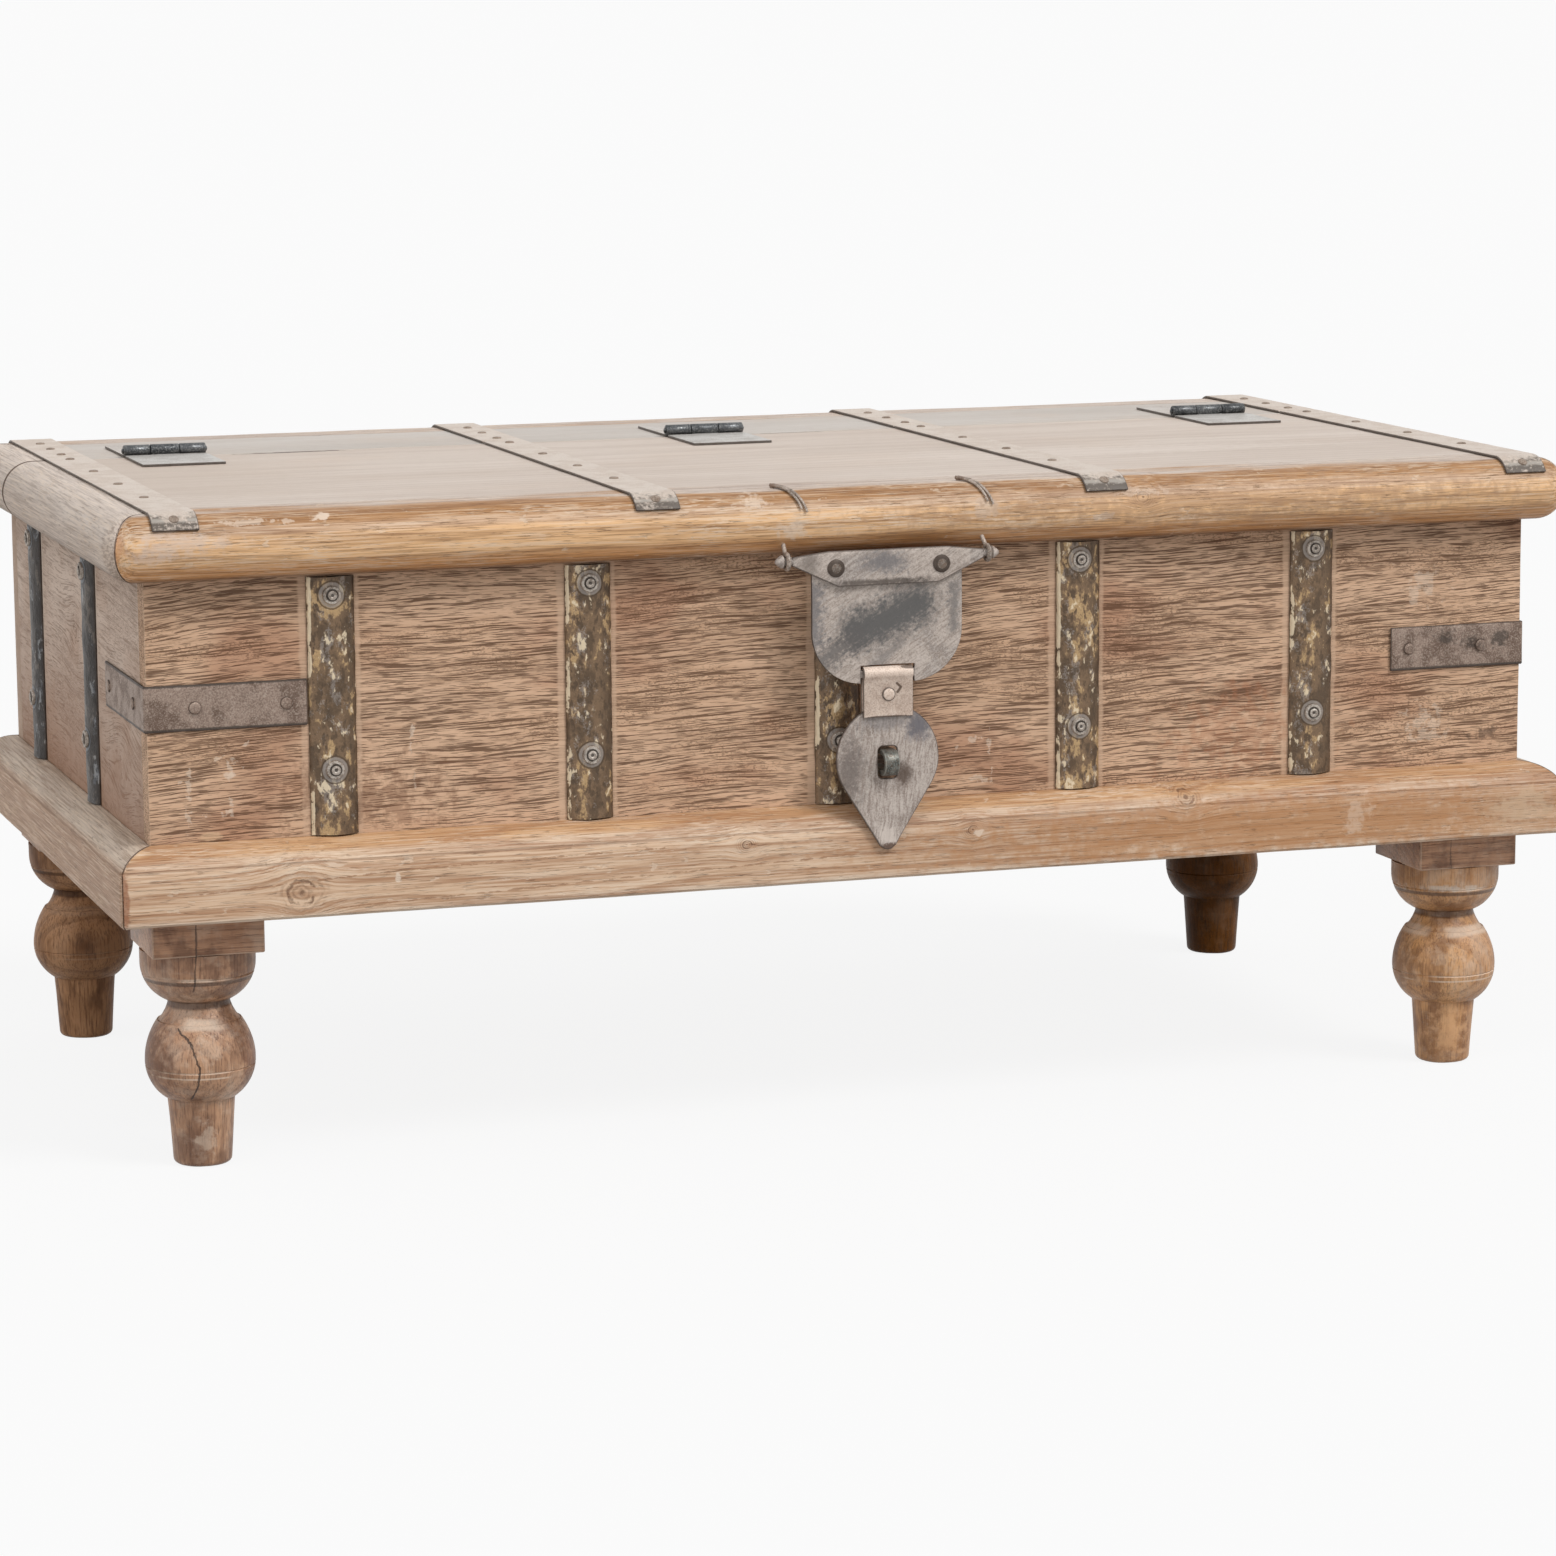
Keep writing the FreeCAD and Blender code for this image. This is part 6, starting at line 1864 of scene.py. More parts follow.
@dataclass
class Walls(Assembly):
    """The box's four walls, its bottom and what stiffens it inside."""

    edge: float = 0.001

    def board(self, name: str, node: str, finish: Finish, slot: str, body: Body = Body.CHEST,
              edge: float | None = None, pitch: float = 0.03) -> None:
        """Builds one board in its node's box.

        Args:
            name: The piece's name.
            node: The frame's node.
            finish: Its finish.
            slot: The record's material slot.
            body: What it rides on.
            edge: How far its edges are rounded.
            pitch: Distance between cuts.
        """
        low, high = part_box(node)
        shape = Shape().block(low, high).soften(edge or self.edge, 2)
        for axis in Axis:
            first, last = low[("X", "Y", "Z").index(axis.letter)], high[("X", "Y", "Z").index(axis.letter)]
            if last - first > pitch * 2:
                shape.sliced(axis, spaced(first, last, pitch))
        shape.uneven(0.0004, Vector((8.0, 8.0, 20.0)), 5.0)
        self.keep(shape, name, body, [node], finish, slot, 35.0)

    def build(self) -> None:
        """Builds the boards, posts, rail and battens."""
        self.board("front_wall_board", "front_panel", FRONT_WALL_WOOD, "wall_wood")
        self.board("rear_wall_board", "rear_panel", REAR_WALL_WOOD, "wall_wood")
        self.board("left_wall_board", "left_panel", SIDE_WALL_WOOD, "wall_wood")
        self.board("right_wall_board", "right_panel", SIDE_WALL_WOOD, "wall_wood")
        self.board("bottom_boards", "bottom_board", INNER_WOOD_X, "inner_wood")
        self.rail()
        low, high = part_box("corner_posts")
        size = 0.03
        shape = Shape()
        for x in (low.x, high.x - size):
            for y in (low.y, high.y - size):
                shape.block(Vector((x, y, low.z)), Vector((x + size, y + size, high.z)))
        self.keep(shape.soften(0.001, 2), "corner_post_set", Body.CHEST, ["corner_posts"], INNER_WOOD_Z, "inner_wood")
        low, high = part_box("lid_battens")
        width = 0.045
        shape = Shape()
        for x in (low.x, high.x - width):
            shape.block(Vector((x, low.y, low.z)), Vector((x + width, high.y, high.z)))
        self.keep(shape.soften(0.002, 2), "lid_batten_pair", Body.LID, ["lid_battens"], INNER_WOOD_Y, "inner_wood")

    def rail(self) -> None:
        """Builds the stepped rail under the hinges."""
        low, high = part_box("hinge_rail")
        neck, shoulder = high.x - 0.0055, 0.4205
        outline = [
            (low.x, low.z), (high.x, low.z), (high.x, shoulder), (neck, shoulder), (neck, high.z),
            (-neck, high.z), (-neck, shoulder), (low.x, shoulder),
        ]
        corners = [Vector((x, low.y, z)) for x, z in outline]
        shape = Shape().prism(corners, Vector((0.0, high.y - low.y, 0.0))).soften(0.001, 2)
        self.keep(shape, "hinge_carrier_rail", Body.CHEST, ["hinge_rail"], INNER_WOOD_X, "inner_wood")


@dataclass
class WallIron(Assembly):
    """Convex straps on the walls, flat bands round the corners, and what holds them."""

    sink: float = 0.0008
    band: float = 0.002
    corner: float = 0.0025
    screw_head: tuple[float, float] = (0.0065, 0.0026)
    rivet_head: tuple[float, float] = (0.0045, 0.0018)

    def strap(self, low: Vector, high: Vector, out: Axis, sign: float, seed: float) -> Shape:
        """Builds one convex strap.

        Args:
            low: Lowest corner of its box.
            high: Highest corner of its box.
            out: Direction away from the wall.
            sign: Which way along it.
            seed: Picks another hammering.

        Returns:
            The strap.
        """
        across = Axis.Y if out is Axis.X else Axis.X
        spread = ("X", "Y", "Z").index(across.letter)
        depth = ("X", "Y", "Z").index(out.letter)
        half = (high[spread] - low[spread]) / 2
        rise = high[depth] - low[depth]
        middle = (high[spread] + low[spread]) / 2
        wall = low[depth] if sign > 0 else high[depth]
        lip = 0.0014
        radius = (half * half + (rise - lip) ** 2) / (2 * (rise - lip))
        turn = math.degrees(math.asin(half / radius))
        crown = arc((0.0, rise - radius), radius, 90.0 - turn, 90.0 + turn, 14)
        outline = [(half, 0.0), *crown, (-half, 0.0)]
        points = []
        for side, up in outline:
            point = Vector((0.0, 0.0, low.z))
            point[spread] = middle + side
            point[depth] = wall + sign * up
            points.append(point)
        shape = Shape().prism(points, Vector((0.0, 0.0, high.z - low.z)))
        # The side faces of the strap take painted shade.
        shape.marked(-1.0, lambda face: abs(face.normal[spread]) > 0.7)
        shape.sliced(Axis.Z, spaced(low.z, high.z, 0.0032))
        return shape.uneven(self.sink, Vector((70.0, 70.0, 60.0)), seed, 2)

    def stud(self, shape: Shape, foot: Vector, out: Vector, head: tuple[float, float], slot: bool = False) -> None:
        """Adds a nail, rivet or screw head.

        Args:
            shape: What it is added to.
            foot: Middle of its foot on the surface.
            out: Direction away from the surface.
            head: Radius and height.
            slot: Whether it has a washer ring round a smaller head.
        """
        radius, height = head
        if slot:
            profile = [(0.0, -0.001), (radius, -0.001), (radius, height * 0.3), (radius * 0.94, height * 0.5),
                       (radius * 0.72, height * 0.55), (radius * 0.66, height * 0.3), (radius * 0.56, height * 0.3),
                       (radius * 0.5, height * 0.8), (radius * 0.3, height), (radius * 0.18, height * 0.7),
                       (0.0, height * 0.6)]
        else:
            profile = [(0.0, -0.001), (radius, -0.001), (radius, height * 0.3), (radius * 0.92, height * 0.6),
                       (radius * 0.7, height * 0.86), (radius * 0.4, height * 0.97), (0.0, height)]
        shape.turned(profile, foot, out, 20)
        if slot:
            rings = ((0.0, 0.2), (0.52, 0.67))

            def grooved(face: bmesh.types.BMFace) -> bool:
                """Whether a face lies in the middle or in the groove."""
                away = face.calc_center_median() - foot
                along = away.dot(out)
                far = (away - out * along).length / radius
                return away.length < radius * 1.2 and any(low <= far <= high for low, high in rings)

            # The dimple in the head and the groove take painted shade.
            shape.marked(-1.0, grooved)

    def straps(self) -> None:
        """Builds the straps on the front and the two ends."""
        for i in range(1, 6):
            node = f"front_strap_{i}"
            shape = self.strap(*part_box(node), Axis.Y, -1.0, i * 2.3)
            self.keep(shape, f"hammered_{node}", Body.CHEST, [node], WALL_STRAP_IRON, "wall_strap_iron", 60.0)
        for side, sign in (("left", -1.0), ("right", 1.0)):
            low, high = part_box(f"side_straps_{side}")
            shape = Shape()
            for k, y in enumerate(SIDE_STRAPS):
                one = self.strap(Vector((low.x, y - STRAP_HALF, low.z)), Vector((high.x, y + STRAP_HALF, high.z)),
                                 Axis.X, sign, 20.0 + k + sign)
                shape.joined(one)
            self.keep(shape, f"hammered_side_straps_{side}", Body.CHEST, [f"side_straps_{side}"], SIDE_STRAP_IRON,
                      "wall_strap_iron", 60.0)

    def bands(self) -> None:
        """Builds the flat bands and their rivets."""
        rivets = Shape()
        for side, sign in (("left", -1.0), ("right", 1.0)):
            low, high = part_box(f"corner_band_{side}")
            outer = low.x if sign < 0 else high.x
            reach = high.x if sign < 0 else low.x
            front, rear = low.y, high.y
            turn = arc((outer - sign * self.corner, front + self.corner), self.corner, 270.0,
                       180.0 if sign < 0 else 360.0, 5)
            outline = [(reach, front), *turn, (outer, rear), (outer - sign * self.band, rear),
                       (outer - sign * self.band, front + self.band), (reach, front + self.band)]
            shape = Shape().prism([Vector((x, y, low.z)) for x, y in outline], Vector((0.0, 0.0, high.z - low.z)))
            # The rounded edges take painted shade.
            shape.soften(0.0009, 2, 50.0, mark=-0.9)
            shape.sliced(Axis.Z, spaced(low.z, high.z, 0.005)).sliced(Axis.X, spaced(low.x, high.x, 0.006))
            shape.sliced(Axis.Y, spaced(low.y, high.y, 0.006))
            shape.uneven(0.0003, Vector((60.0, 60.0, 60.0)), 9.0 + sign, 2)
            self.keep(shape, f"corner_band_iron_{side}", Body.CHEST, [f"corner_band_{side}"], BAND_IRON, "band_iron")
            middle = (low.z + high.z) / 2
            wall_x, wall_y = outer - sign * self.band, front + self.band
            for reached in (0.034, abs(reach - wall_x) - 0.015):
                self.stud(rivets, Vector((wall_x - sign * reached, front, middle)), -Axis.Y.way, self.rivet_head)
            for reached in (0.034, rear - wall_y - 0.015):
                self.stud(rivets, Vector((outer, wall_y + reached, middle)), Axis.X.way * sign, self.rivet_head)
        # The rivets' flanks take painted shade.
        rivets.marked(-1.0, lambda face: max(abs(face.normal.x), abs(face.normal.y)) < 0.85)
        self.keep(rivets, "band_rivet_heads", Body.CHEST, ["band_rivets"], BAND_IRON, "fastener_iron")

    def screws(self) -> None:
        """Builds the screws that hold the straps."""
        shape = Shape()
        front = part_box("front_strap_1")[0].y
        for z in SCREW_HEIGHTS:
            for x in ALONG_STRAPS:
                self.stud(shape, Vector((x, front, z)), -Axis.Y.way, self.screw_head, True)
            for sign in (-1.0, 1.0):
                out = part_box("side_straps_right")[1].x * sign
                for y in SIDE_STRAPS:
                    self.stud(shape, Vector((out, y, z)), Axis.X.way * sign, self.screw_head, True)
        self.keep(shape, "strap_screw_heads", Body.CHEST, ["strap_screws"], SCREW_IRON, "fastener_iron")

    def build(self) -> None:
        """Builds straps, bands and screws."""
        self.straps()
        self.bands()
        self.screws()


@dataclass
class TopIron(Assembly):
    """Flat straps over the top, their nails, and the three hinges."""

    thick: float = 0.002
    lift: float = 0.0002
    wrap: float = 56.0
    nail: tuple[float, float] = (0.0035, 0.0012)
    tip: float = 34.0
    knuckle: float = 0.0045
    middle: float = 0.022
    side: float = 0.0201
    relief: float = 0.0053
    leaf: float = 0.002
    width: float = 0.063

    def nose(self) -> tuple[float, float, float]:
        """Distance and height of the nose's axis, and its radius."""
        low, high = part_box("lid_front_moulding")
        radius = (high.z - low.z) / 2
        return -low.y - radius, low.z + radius, radius

    def strap(self, x: tuple[float, float], sign: float, start: float, seed: float) -> Shape:
        """Builds a flat strap from the split over the nose.

        Args:
            x: Its two edges.
            sign: Which way it runs from the split.
            start: Where it starts.
            seed: Picks another unevenness.

        Returns:
            The strap.
        """
        axis, height, radius = self.nose()
        near, far = radius + self.lift, radius + self.lift + self.thick
        upper = arc((axis, height), far, 90.0, 90.0 - self.wrap, 12)
        lower = arc((axis, height), near, 90.0 - self.wrap, 90.0, 12)
        outline = [(abs(start) * math.copysign(1.0, start * sign), height + far), *upper, *lower,
                   (abs(start) * math.copysign(1.0, start * sign), height + near)]
        points = [Vector((x[0], sign * y, z)) for y, z in outline]
        shape = Shape().prism(points, Vector((x[1] - x[0], 0.0, 0.0))).soften(0.0007, 2, 50.0, mark=0.3)
        # Side faces and the underside take painted shade, and so does the rim of the bent tip.
        shape.marked(-1.0, lambda face: abs(face.normal.x) > 0.6 or face.normal.z < -0.1)

        def outlined(face: bmesh.types.BMFace) -> bool:
            """Whether a face lies along the rim of the bent tip."""
            spot = face.calc_center_median()
            return sign * spot.y > axis + 0.003 and min(spot.x - x[0], x[1] - spot.x) < 0.001

        shape.marked(-1.0, outlined)
        ends = sorted((start, sign * axis))
        shape.sliced(Axis.Y, spaced(ends[0], ends[1], 0.012)).sliced(Axis.X, spaced(x[0], x[1], 0.006))
        return shape.uneven(0.00018, Vector((40.0, 30.0, 40.0)), seed, 2)

    def stud(self, shape: Shape, foot: Vector, out: Vector) -> None:
        """Adds one nail head to a shape."""
        radius, height = self.nail
        profile = [(0.0, -0.001), (radius, -0.001), (radius, height * 0.3), (radius * 0.8, height * 0.75),
                   (radius * 0.4, height * 0.96), (0.0, height)]
        shape.turned(profile, foot, out, 16)

    def straps(self) -> None:
        """Builds the straps in front of and behind the split, and their nails."""
        axis, height, radius = self.nose()
        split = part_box("lid_strap_1")[1].y
        rear_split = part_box("rear_straps")[0].y
        nails, rear_nails, rear = Shape(), Shape(), Shape()
        top = height + radius + self.lift + self.thick
        for i in range(1, 5):
            low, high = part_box(f"lid_strap_{i}")
            middle = (low.x + high.x) / 2
            shape = self.strap((low.x, high.x), -1.0, split, i * 1.7)
            self.keep(shape, f"lid_flat_strap_{i}", Body.LID, [f"lid_strap_{i}"], TOP_STRAP_IRON, "top_strap_iron")
            rear.joined(self.strap((low.x, high.x), 1.0, rear_split, i * 2.9))
            for y in (0.10325, 0.00825, -0.08675, -0.18175):
                self.stud(nails, Vector((middle, y, top)), Axis.Z.way)
            for y in (0.14075, 0.18575, 0.23075):
                self.stud(rear_nails, Vector((middle, y, top)), Axis.Z.way)
            turn, far = math.radians(self.tip), radius + self.lift + self.thick
            for sign, shape in ((-1.0, nails), (1.0, rear_nails)):
                out = Vector((0.0, sign * math.sin(turn), math.cos(turn)))
                self.stud(shape, Vector((middle, sign * axis, height)) + out * far, out)
        self.keep(rear, "rear_flat_straps", Body.CHEST, ["rear_straps"], TOP_STRAP_IRON, "top_strap_iron")
        self.keep(nails, "lid_nail_heads", Body.LID, ["lid_strap_nails"], LIMED_NAIL, "fastener_iron")
        self.keep(rear_nails, "rear_nail_heads", Body.CHEST, ["rear_strap_nails"], LIMED_NAIL, "fastener_iron")

    def leaf_outline(self, x: float, sign: float, axis: float, far: float) -> list[tuple[float, float]]:
        """A leaf's outline, cut back beside the other leaf's knuckles.

        Args:
            x: Middle of the hinge.
            sign: -1 for the front leaf, 1 for the rear one.
            axis: Y of the pin.
            far: Y of the leaf's outer edge.

        Returns:
            Pairs of X and Y.
        """
        half, tab = self.width / 2, self.middle / 2
        back = axis + sign * self.relief
        if sign < 0:
            return [(x - half, far), (x + half, far), (x + half, back), (x + tab, back), (x + tab, axis),
                    (x - tab, axis), (x - tab, back), (x - half, back)]
        inner = half - self.side
        return [(x - half, axis), (x - inner, axis), (x - inner, back), (x + inner, back), (x + inner, axis),
                (x + half, axis), (x + half, far), (x - half, far)]

    def hinges(self) -> None:
        """Builds leaves, knuckles, pins and screws."""
        front_low, front_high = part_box("hinge_front_leaves")
        rear_low, rear_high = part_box("hinge_rear_leaves")
        pin_low, pin_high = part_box("hinge_pins")
        axis, up = (pin_low.y + pin_high.y) / 2, (pin_low.z + pin_high.z) / 2
        middles = (front_low.x + self.width / 2, 0.002, front_high.x - self.width / 2)
        leaves = {-1.0: Shape(), 1.0: Shape()}
        barrels = {-1.0: Shape(), 1.0: Shape()}
        screws = {-1.0: Shape(), 1.0: Shape()}
        pins = Shape()
        for x in middles:
            for sign, far in ((-1.0, front_low.y), (1.0, rear_high.y)):
                outline = self.leaf_outline(x, sign, axis, far)
                plate = Shape().prism([Vector((a, b, front_low.z)) for a, b in outline], Axis.Z.way * self.leaf)
                # The leaf's side faces take painted shade.
                plate.soften(0.0004, 2, 50.0).marked(-1.0, lambda face: abs(face.normal.z) < 0.4)
                leaves[sign].joined(plate)
                for off, near in ((-0.02, 0.026), (0.02, 0.026), (0.0, 0.056)):
                    spot = Vector((x + off, axis + sign * near, front_low.z + self.leaf - 0.00005))
                    screws[sign].turned(
                        [(0.0, -0.002), (0.004, -0.002), (0.004, -0.0002), (0.0034, 0.0), (0.0012, -0.0005),
                         (0.0, -0.0005)], spot, Axis.Z.way, 18)
            self.barrel(barrels[-1.0], x - self.middle / 2, x + self.middle / 2, axis, up)
            for sign in (-1.0, 1.0):
                ends = sorted((x + sign * self.width / 2, x + sign * (self.width / 2 - self.side)))
                self.barrel(barrels[1.0], ends[0], ends[1], axis, up)
            reach = self.width / 2 + 0.0015
            pins.turned([(0.0, -reach), (0.0012, -reach), (0.002, -reach + 0.0006), (0.002, reach - 0.0006),
                         (0.0012, reach), (0.0, reach)], Vector((x, axis, up)), Axis.X.way, 18)
        for sign, word, body in ((-1.0, "front", Body.LID), (1.0, "rear", Body.CHEST)):
            node = f"hinge_{word}_leaves"
            leaf = LEAF_ZINC if sign < 0 else REAR_LEAF
            self.keep(leaves[sign], f"{word}_hinge_leaves", body, [node], leaf, "hinge_zinc")
            self.keep(barrels[sign], f"{word}_hinge_barrels", body, [node], BARREL_STEEL, "hinge_zinc", 50.0)
            self.keep(screws[sign], f"{word}_hinge_screw_heads", body, [f"hinge_{word}_screws"], NAIL_IRON,
                      "fastener_iron")
        self.keep(pins, "hinge_pin_rods", Body.CHEST, ["hinge_pins"], BARREL_STEEL, "hinge_steel")

    def barrel(self, shape: Shape, low: float, high: float, axis: float, up: float) -> None:
        """Adds one knuckle.

        Args:
            shape: What it is added to.
            low: X of its one end.
            high: X of its other end.
            axis: Y of the pin.
            up: Z of the pin.
        """
        radius, bore = self.knuckle, 0.00205
        half = (high - low) / 2
        profile = [(bore, -half), (radius - 0.0005, -half), (radius, -half + 0.0005), (radius, half - 0.0005),
                   (radius - 0.0005, half), (bore, half), (bore, -half)]
        shape.turned(profile, Vector(((low + high) / 2, axis, up)), Axis.X.way, 28)

    def build(self) -> None:
        """Builds straps and hinges."""
        self.straps()
        self.hinges()


@dataclass
class Hasp(Assembly):
    """The hanging hasp: eyes, bar, plate, link, slotted drop and staple."""

    middle: float = 0.0075
    pivot: float = 0.418
    plate_front: float = -0.294
    plate_back: float = -0.291
    bar_front: float = -0.2975
    rivet: float = 0.04
    # Mark for the rounded edges of bar, plate, link and drop: below 0, so they take painted shade.
    outline: float = -0.8
    link_axis: tuple[float, float] = (-0.2925, 0.33425)

    def upright(self, points: Sequence[tuple[float, float]], y: float) -> list[Vector]:
        """Stands an outline up in the plane of the front.

        Args:
            points: Pairs of distance from the hasp's middle and height.
            y: The plane.

        Returns:
            The outline's corners.
        """
        return [Vector((self.middle + u, y, z)) for u, z in points]

    @staticmethod
    def sideways(face: bmesh.types.BMFace) -> bool:
        """Whether a face looks to the side, up or down."""
        return abs(face.normal.y) < 0.5

    def bar(self) -> None:
        """Builds the bar with its pins and pointed ends."""
        half = [(0.0385, -0.0195), (0.073, -0.0032), (0.073, 0.0032), (0.045, 0.0065)]
        outline = half + [(-u, z) for u, z in reversed(half)]
        points = self.upright([(u, self.pivot + z) for u, z in outline], self.plate_front)
        shape = Shape().prism(points, Vector((0.0, self.bar_front - self.plate_front, 0.0)))
        # Rounded edges and faces that look sideways take painted shade.
        shape.soften(0.001, 2, mark=self.outline).marked(-1.0, self.sideways)
        shape.sliced(Axis.X, spaced(self.middle - 0.073, self.middle + 0.073, 0.006))
        shape.sliced(Axis.Z, spaced(self.pivot - 0.0195, self.pivot + 0.0065, 0.005))
        for sign in (-1.0, 1.0):
            profile = [(0.0, 0.06), (0.003, 0.06), (0.003, 0.078), (0.0042, 0.0786), (0.005, 0.0795),
                       (0.0047, 0.0805), (0.003, 0.083), (0.0015, 0.0846), (0.0, 0.085)]
            shape.turned(profile, Vector((self.middle, -0.2945, self.pivot)), Axis.X.way * sign, 20)
        shape.uneven(0.00035, Vector((50.0, 50.0, 50.0)), 1.0, 2)
        self.keep(shape, "hasp_hammered_bar", Body.HASP, ["hasp_bar"], HASP_IRON, "hasp_iron")

    def plate(self) -> None:
        """Builds the rounded plate with the slot for the link."""
        side = arc((0.019, self.pivot - 0.0525), 0.038, 0.0, -88.0, 14)
        half = [(0.057, self.pivot + 0.004), *side, (0.0205, self.pivot - 0.0905), (0.0205, self.pivot - 0.0865)]
        outline = half + [(-u, z) for u, z in reversed(half)]
        slot = [(0.0205, self.pivot - 0.0776), (0.0205, self.pivot - 0.081), (-0.0205, self.pivot - 0.081),
                (-0.0205, self.pivot - 0.0776)]
        shape = Shape().holed(self.upright(outline, self.plate_front), self.upright(slot, self.plate_front),
                              Vector((0.0, self.plate_back - self.plate_front, 0.0)))
        # Rounded edges and faces that look sideways take painted shade.
        shape.soften(0.001, 2, 50.0, mark=self.outline).marked(-1.0, self.sideways)
        shape.sliced(Axis.X, spaced(self.middle - 0.057, self.middle + 0.057, 0.005))
        shape.sliced(Axis.Z, spaced(self.pivot - 0.0905, self.pivot + 0.004, 0.005))
        shape.uneven(0.0004, Vector((40.0, 40.0, 40.0)), 4.0, 2)
        self.keep(shape, "hasp_round_plate", Body.HASP, ["hasp_plate"], HASP_IRON, "hasp_iron")

    def link(self) -> None:
        """Builds the folded strap that joins the plate and the drop."""
        y, z = self.link_axis
        foot, outer, inner, thick, thin = 0.30245, 0.0053, 0.0035, 0.00335, 0.00155
        out_turn = math.degrees(math.asin(thick / outer))
        in_turn = math.degrees(math.asin(thin / inner))
        round_out = arc((y, z), outer, 270.0 - out_turn, -90.0 + out_turn, 20)
        round_in = arc((y, z), inner, -90.0 + in_turn, 270.0 - in_turn, 20)
        outline = [(y - thick, foot), *round_out, (y + thick, foot), (y + thin, foot), *round_in, (y - thin, foot)]
        points = [Vector((self.middle - 0.019, a, b)) for a, b in outline]
        # Rounded edges and the link's ends take painted shade.
        shape = Shape().prism(points, Axis.X.way * 0.038).soften(0.0006, 2, 60.0, mark=self.outline)
        shape.marked(-1.0, lambda face: abs(face.normal.x) > 0.5)
        shape.sliced(Axis.X, spaced(self.middle - 0.019, self.middle + 0.019, 0.004))
        shape.uneven(0.0002, Vector((60.0, 60.0, 60.0)), 7.0, 2)
        self.keep(shape, "hasp_folded_link", Body.DROP, ["hasp_link"], LINK_IRON, "hasp_iron", 45.0)
        rivet = Shape()
        for sign, face in ((-1.0, y - thick), (1.0, y + thick)):
            profile = [(0.0, -0.001), (0.005, -0.001), (0.005, 0.0006), (0.0042, 0.0013), (0.0024, 0.00172),
                       (0.0, 0.0018)]
            rivet.turned(profile, Vector((self.middle, face, 0.31925)), Axis.Y.way * sign, 22)
        # The rivet's flank takes painted shade.
        rivet.marked(-1.0, lambda face: abs(face.normal.y) < 0.96)
        self.keep(rivet, "hasp_link_rivet_heads", Body.DROP, ["hasp_link_rivet"], LINK_IRON, "fastener_iron")

    def drop(self) -> None:
        """Builds the leaf-shaped drop with its slot."""
        centre, radius, neck, top = 0.27245, 0.0393, 0.015, 0.32925
        tip_half, tip_z, tip = 0.009, 0.21325, 0.20525
        away = math.hypot(tip_half, centre - tip_z)
        lowest = math.degrees(math.atan2(tip_z - centre, tip_half) + math.acos(radius / away))
        highest = math.degrees(math.acos(neck / radius))
        side = arc((0.0, centre), radius, highest, lowest, 16)
        half = [(neck, top), *side, (tip_half, tip_z), (tip_half * 0.72, tip_z - 0.0045), (tip_half * 0.34, tip + 0.0008)]
        outline = half + [(0.0, tip)] + [(-u, z) for u, z in reversed(half)]
        middle, wide, tall, turn = 0.26945, 0.007, 0.0115, 0.003
        slot = []
        for u, z, start in ((1, 1, 90.0), (1, -1, 0.0), (-1, -1, -90.0), (-1, 1, -180.0)):
            slot += arc((u * (wide - turn), middle + z * (tall - turn)), turn, start, start - 90.0, 4)
        shape = Shape().holed(self.upright(outline, self.plate_front), self.upright(slot, self.plate_front),
                              Vector((0.0, self.plate_back - self.plate_front, 0.0)))
        # Rounded edges and faces that look sideways take painted shade.
        shape.soften(0.001, 2, 50.0, mark=self.outline).marked(-1.0, self.sideways)
        shape.sliced(Axis.X, spaced(self.middle - radius, self.middle + radius, 0.005))
        shape.sliced(Axis.Z, spaced(tip, top, 0.005))
        shape.uneven(0.0004, Vector((40.0, 40.0, 40.0)), 11.0, 2)
        self.keep(shape, "hasp_slotted_drop", Body.DROP, ["hasp_drop"], DROP_IRON, "hasp_iron")

    def rivets(self) -> None:
        """Builds the two domed rivets through bar and plate."""
        shape = Shape()
        for sign in (-1.0, 1.0):
            for face, way in ((self.bar_front, -1.0), (self.plate_back, 1.0)):
                spot = Vector((self.middle + sign * self.rivet, face, self.pivot - 0.006))
                profile = [(0.0, -0.001), (0.0065, -0.001), (0.0065, 0.0004), (0.0057, 0.001), (0.0036, 0.0016),
                           (0.0, 0.0018)]
                shape.turned(profile, spot, Axis.Y.way * way, 24)
        # The rivets' flanks take painted shade.
        shape.marked(-1.0, lambda face: abs(face.normal.y) < 0.975)
        self.keep(shape, "hasp_rivet_heads", Body.HASP, ["hasp_rivets"], NAIL_IRON, "fastener_iron")

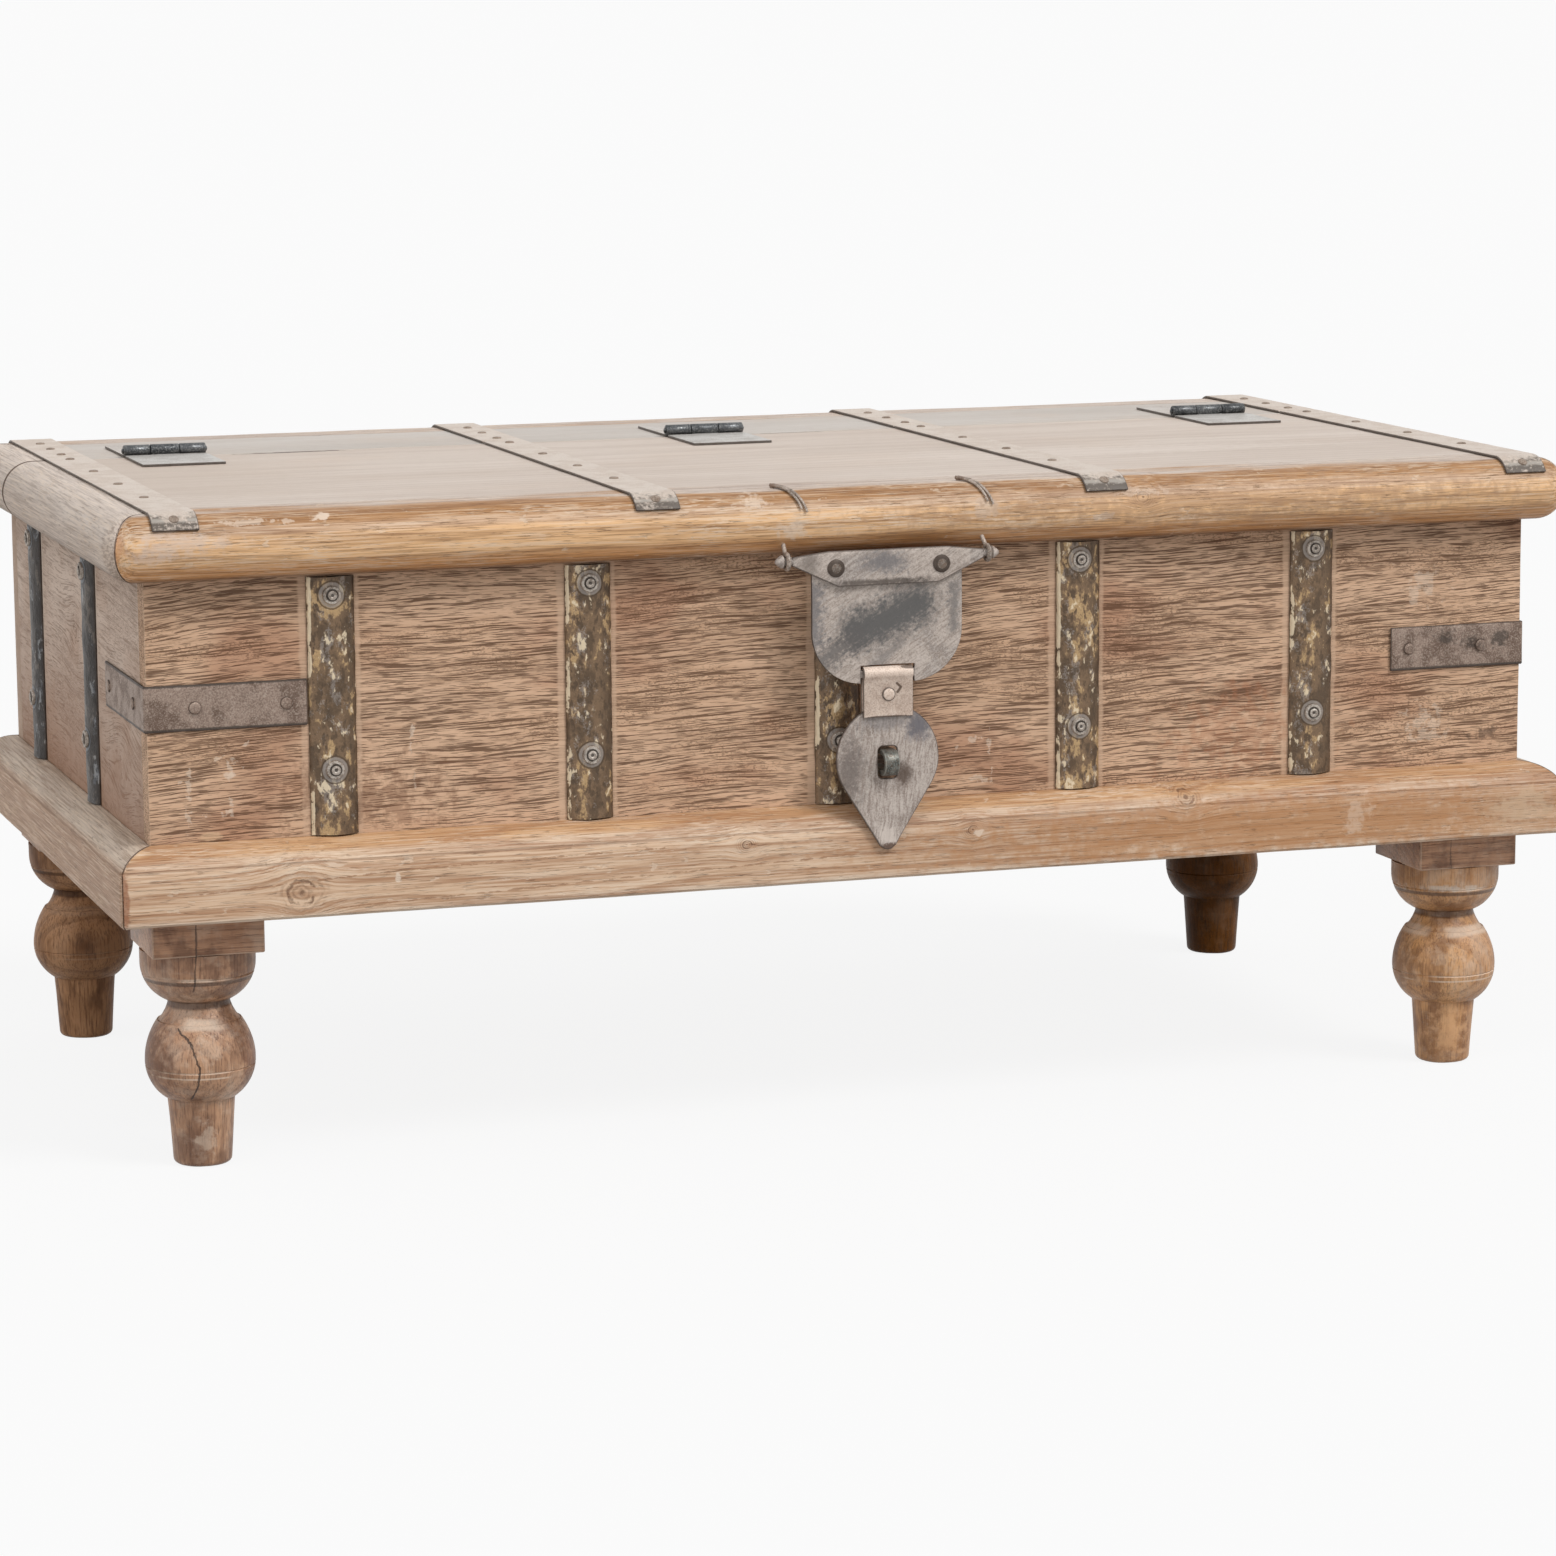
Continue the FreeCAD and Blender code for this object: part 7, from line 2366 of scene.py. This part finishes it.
    def eyes(self) -> None:
        """Builds the two split-pin eyes with their bent legs."""
        ring, wire = 0.0053, 0.0017
        y, nose_y, nose_z, nose = -0.2945, -0.2705, 0.4445, 0.0235
        shape = Shape()
        for x, shift in ((self.middle - 0.076, -0.0015), (self.middle + 0.076, -0.0125)):
            loop = [Vector((x, y + a, self.pivot + b)) for a, b in arc((0.0, 0.0), ring, 0.0, 345.0, 23)]
            shape.tube(loop, [wire] * len(loop), 10, True)
            leave = Vector((x + shift, -0.2658, 0.470))
            start = Vector((x, y + 0.0035, self.pivot + ring))
            shape.tube([start, start.lerp(leave, 0.5), leave], [wire * 0.95] * 3, 10)
            for split in (-0.55 * wire, 0.55 * wire):
                path, radii = [leave + Vector((split, 0.0, 0.0))], [wire * 0.75]
                for k in range(13):
                    turn = math.radians((68.0 + split * 3000.0) * k / 12)
                    spot_y = nose_y - (nose + wire * 0.8) * math.sin(turn)
                    spot_x = leave.x + 0.56 * (leave.y - spot_y) + split * (1.0 + 0.8 * k / 12)
                    path.append(Vector((spot_x, spot_y, nose_z + (nose + wire * 0.8) * math.cos(turn))))
                    radii.append(wire * (0.75 - 0.25 * k / 12))
                shape.tube(path, radii, 10)
        self.keep(shape, "hasp_split_pin_eyes", Body.LID, ["hasp_eyes"], EYE_IRON, "hasp_iron", 60.0)

    def staple(self) -> None:
        """Builds the loop that the drop goes over."""
        low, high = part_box("hasp_staple")
        middle, outer, inner = (low.z + high.z) / 2, 0.0095, 0.0055
        bend = low.y + outer
        round_out = arc((bend, middle), outer, 90.0, 270.0, 14)
        round_in = arc((bend, middle), inner, 270.0, 90.0, 14)
        outline = [(high.y, middle + outer), *round_out, (high.y, middle - outer), (high.y, middle - inner),
                   *round_in, (high.y, middle + inner)]
        points = [Vector((low.x, a, b)) for a, b in outline]
        shape = Shape().prism(points, Axis.X.way * (high.x - low.x)).soften(0.0008, 2, 50.0)
        self.keep(shape, "hasp_staple_loop", Body.CHEST, ["hasp_staple"], STAPLE_IRON, "hasp_iron", 45.0)

    def build(self) -> None:
        """Builds the hasp's parts from the top down."""
        self.eyes()
        self.bar()
        self.plate()
        self.rivets()
        self.link()
        self.drop()
        self.staple()


# ---------------------------------------------------------------- studio


@dataclass
class Studio:
    """Pale floor, soft light and the camera."""

    eye: tuple[float, float, float] = (-1.1766, -3.6176, 0.8465)
    yaw: float = 18.324
    pitch: float = 9.465
    roll: float = -0.383
    lens: float = 114.97
    lamps: tuple[tuple[str, float, float, tuple[float, float, float]], ...] = (
        ("main_lamp", 1.8, 22.0, (0.42, -0.52, 0.74)), ("fill_lamp", 0.7, 60.0, (-0.75, -0.38, 0.54)),
    )
    sky: float = 0.5
    backdrop: Colour = (0.956, 0.956, 0.956, 1.0)
    floor_tone: Colour = (0.5, 0.495, 0.49, 1.0)
    shadow: float = 0.08

    def floor(self) -> None:
        """Lays the floor."""
        bm = bmesh.new()
        bmesh.ops.create_grid(bm, x_segments=1, y_segments=1, size=150.0)
        mesh = bpy.data.meshes.new("floor")
        bm.to_mesh(mesh)
        bm.free()
        coat = Coat("floor_paper")
        seen = self.seen(coat)
        shaded = coat.node("ShaderNodeBsdfDiffuse", {}, {"Color": self.backdrop})["BSDF"]
        plain = coat.node("ShaderNodeEmission", {}, {"Color": self.backdrop})["Emission"]
        white = coat.node("ShaderNodeMixShader", {}, {0: self.shadow, 1: plain, 2: shaded})["Shader"]
        dim = coat.node("ShaderNodeBsdfDiffuse", {}, {"Color": self.floor_tone})["BSDF"]
        made = coat.node("ShaderNodeMixShader", {}, {0: seen, 1: dim, 2: white})
        coat.node("ShaderNodeOutputMaterial", {}, {"Surface": made["Shader"]})
        mesh.materials.append(coat.material)
        floor = bpy.data.objects.new("floor", mesh)
        bpy.context.scene.collection.objects.link(floor)

    @staticmethod
    def seen(nodes: Nodes) -> Wire:
        """Is 1 where the backdrop itself is seen or mirrored."""
        path = nodes.node("ShaderNodeLightPath")
        return path["Is Camera Ray"].larger(path["Is Glossy Ray"]).larger(path["Is Transmission Ray"])

    def light(self) -> None:
        """Sets the soft lamps and the sky."""
        for name, energy, width, way in self.lamps:
            lamp = bpy.data.lights.new(name, "SUN")
            lamp.energy = energy
            lamp.angle = math.radians(width)
            holder = bpy.data.objects.new(name, lamp)
            holder.rotation_euler = Vector(way).to_track_quat("Z", "Y").to_euler()
            bpy.context.scene.collection.objects.link(holder)
        world = bpy.data.worlds.new("studio")
        bpy.context.scene.world = world
        world.use_nodes = True
        sky = Nodes(world.node_tree)
        seen = self.seen(sky)
        dim = (self.sky, self.sky, self.sky, 1.0)
        made = sky.node("ShaderNodeBackground", {}, {"Color": sky.blend(seen, dim, self.backdrop), "Strength": 1.0})
        sky.node("ShaderNodeOutputWorld", {}, {"Surface": made["Background"]})

    def camera(self) -> None:
        """Sets the camera."""
        yaw, pitch, roll = (math.radians(value) for value in (self.yaw, self.pitch, self.roll))
        ahead = Vector((math.sin(yaw) * math.cos(pitch), math.cos(yaw) * math.cos(pitch), -math.sin(pitch)))
        right = Vector((math.cos(yaw), -math.sin(yaw), 0.0))
        up = right.cross(ahead)
        tilted = right * math.cos(roll) + up * math.sin(roll)
        lifted = up * math.cos(roll) - right * math.sin(roll)
        turn = Matrix((tilted, lifted, -ahead)).transposed().to_4x4()
        data = bpy.data.cameras.new("camera")
        data.lens, data.sensor_width, data.clip_end = self.lens, 36.0, 500.0
        camera = bpy.data.objects.new("camera", data)
        camera.matrix_world = Matrix.Translation(Vector(self.eye)) @ turn
        bpy.context.scene.collection.objects.link(camera)
        bpy.context.scene.camera = camera

    def build(self) -> None:
        """Sets up the studio."""
        bpy.context.scene.view_settings.view_transform = "Standard"
        self.floor()
        self.light()
        self.camera()


def dress_hidden() -> None:
    """Gives the bolts, which stay as they are, an iron finish."""
    for node in ("leg_bolts",):
        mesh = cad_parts[node].data
        mesh.materials.clear()
        mesh.materials.append(NAIL_IRON.material())


def main() -> None:
    """Builds the table and its studio."""
    logging.basicConfig(level=logging.INFO, format="%(message)s")
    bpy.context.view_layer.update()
    for group in (Walls(), Plinth(), Legs(), WallIron(), Top(), TopIron(), Hasp()):
        group.build()
        LOG.info("%s: %d pieces", type(group).__name__, len(group.pieces))
    dress_hidden()
    Studio().build()


if __name__ == "__main__":
    main()
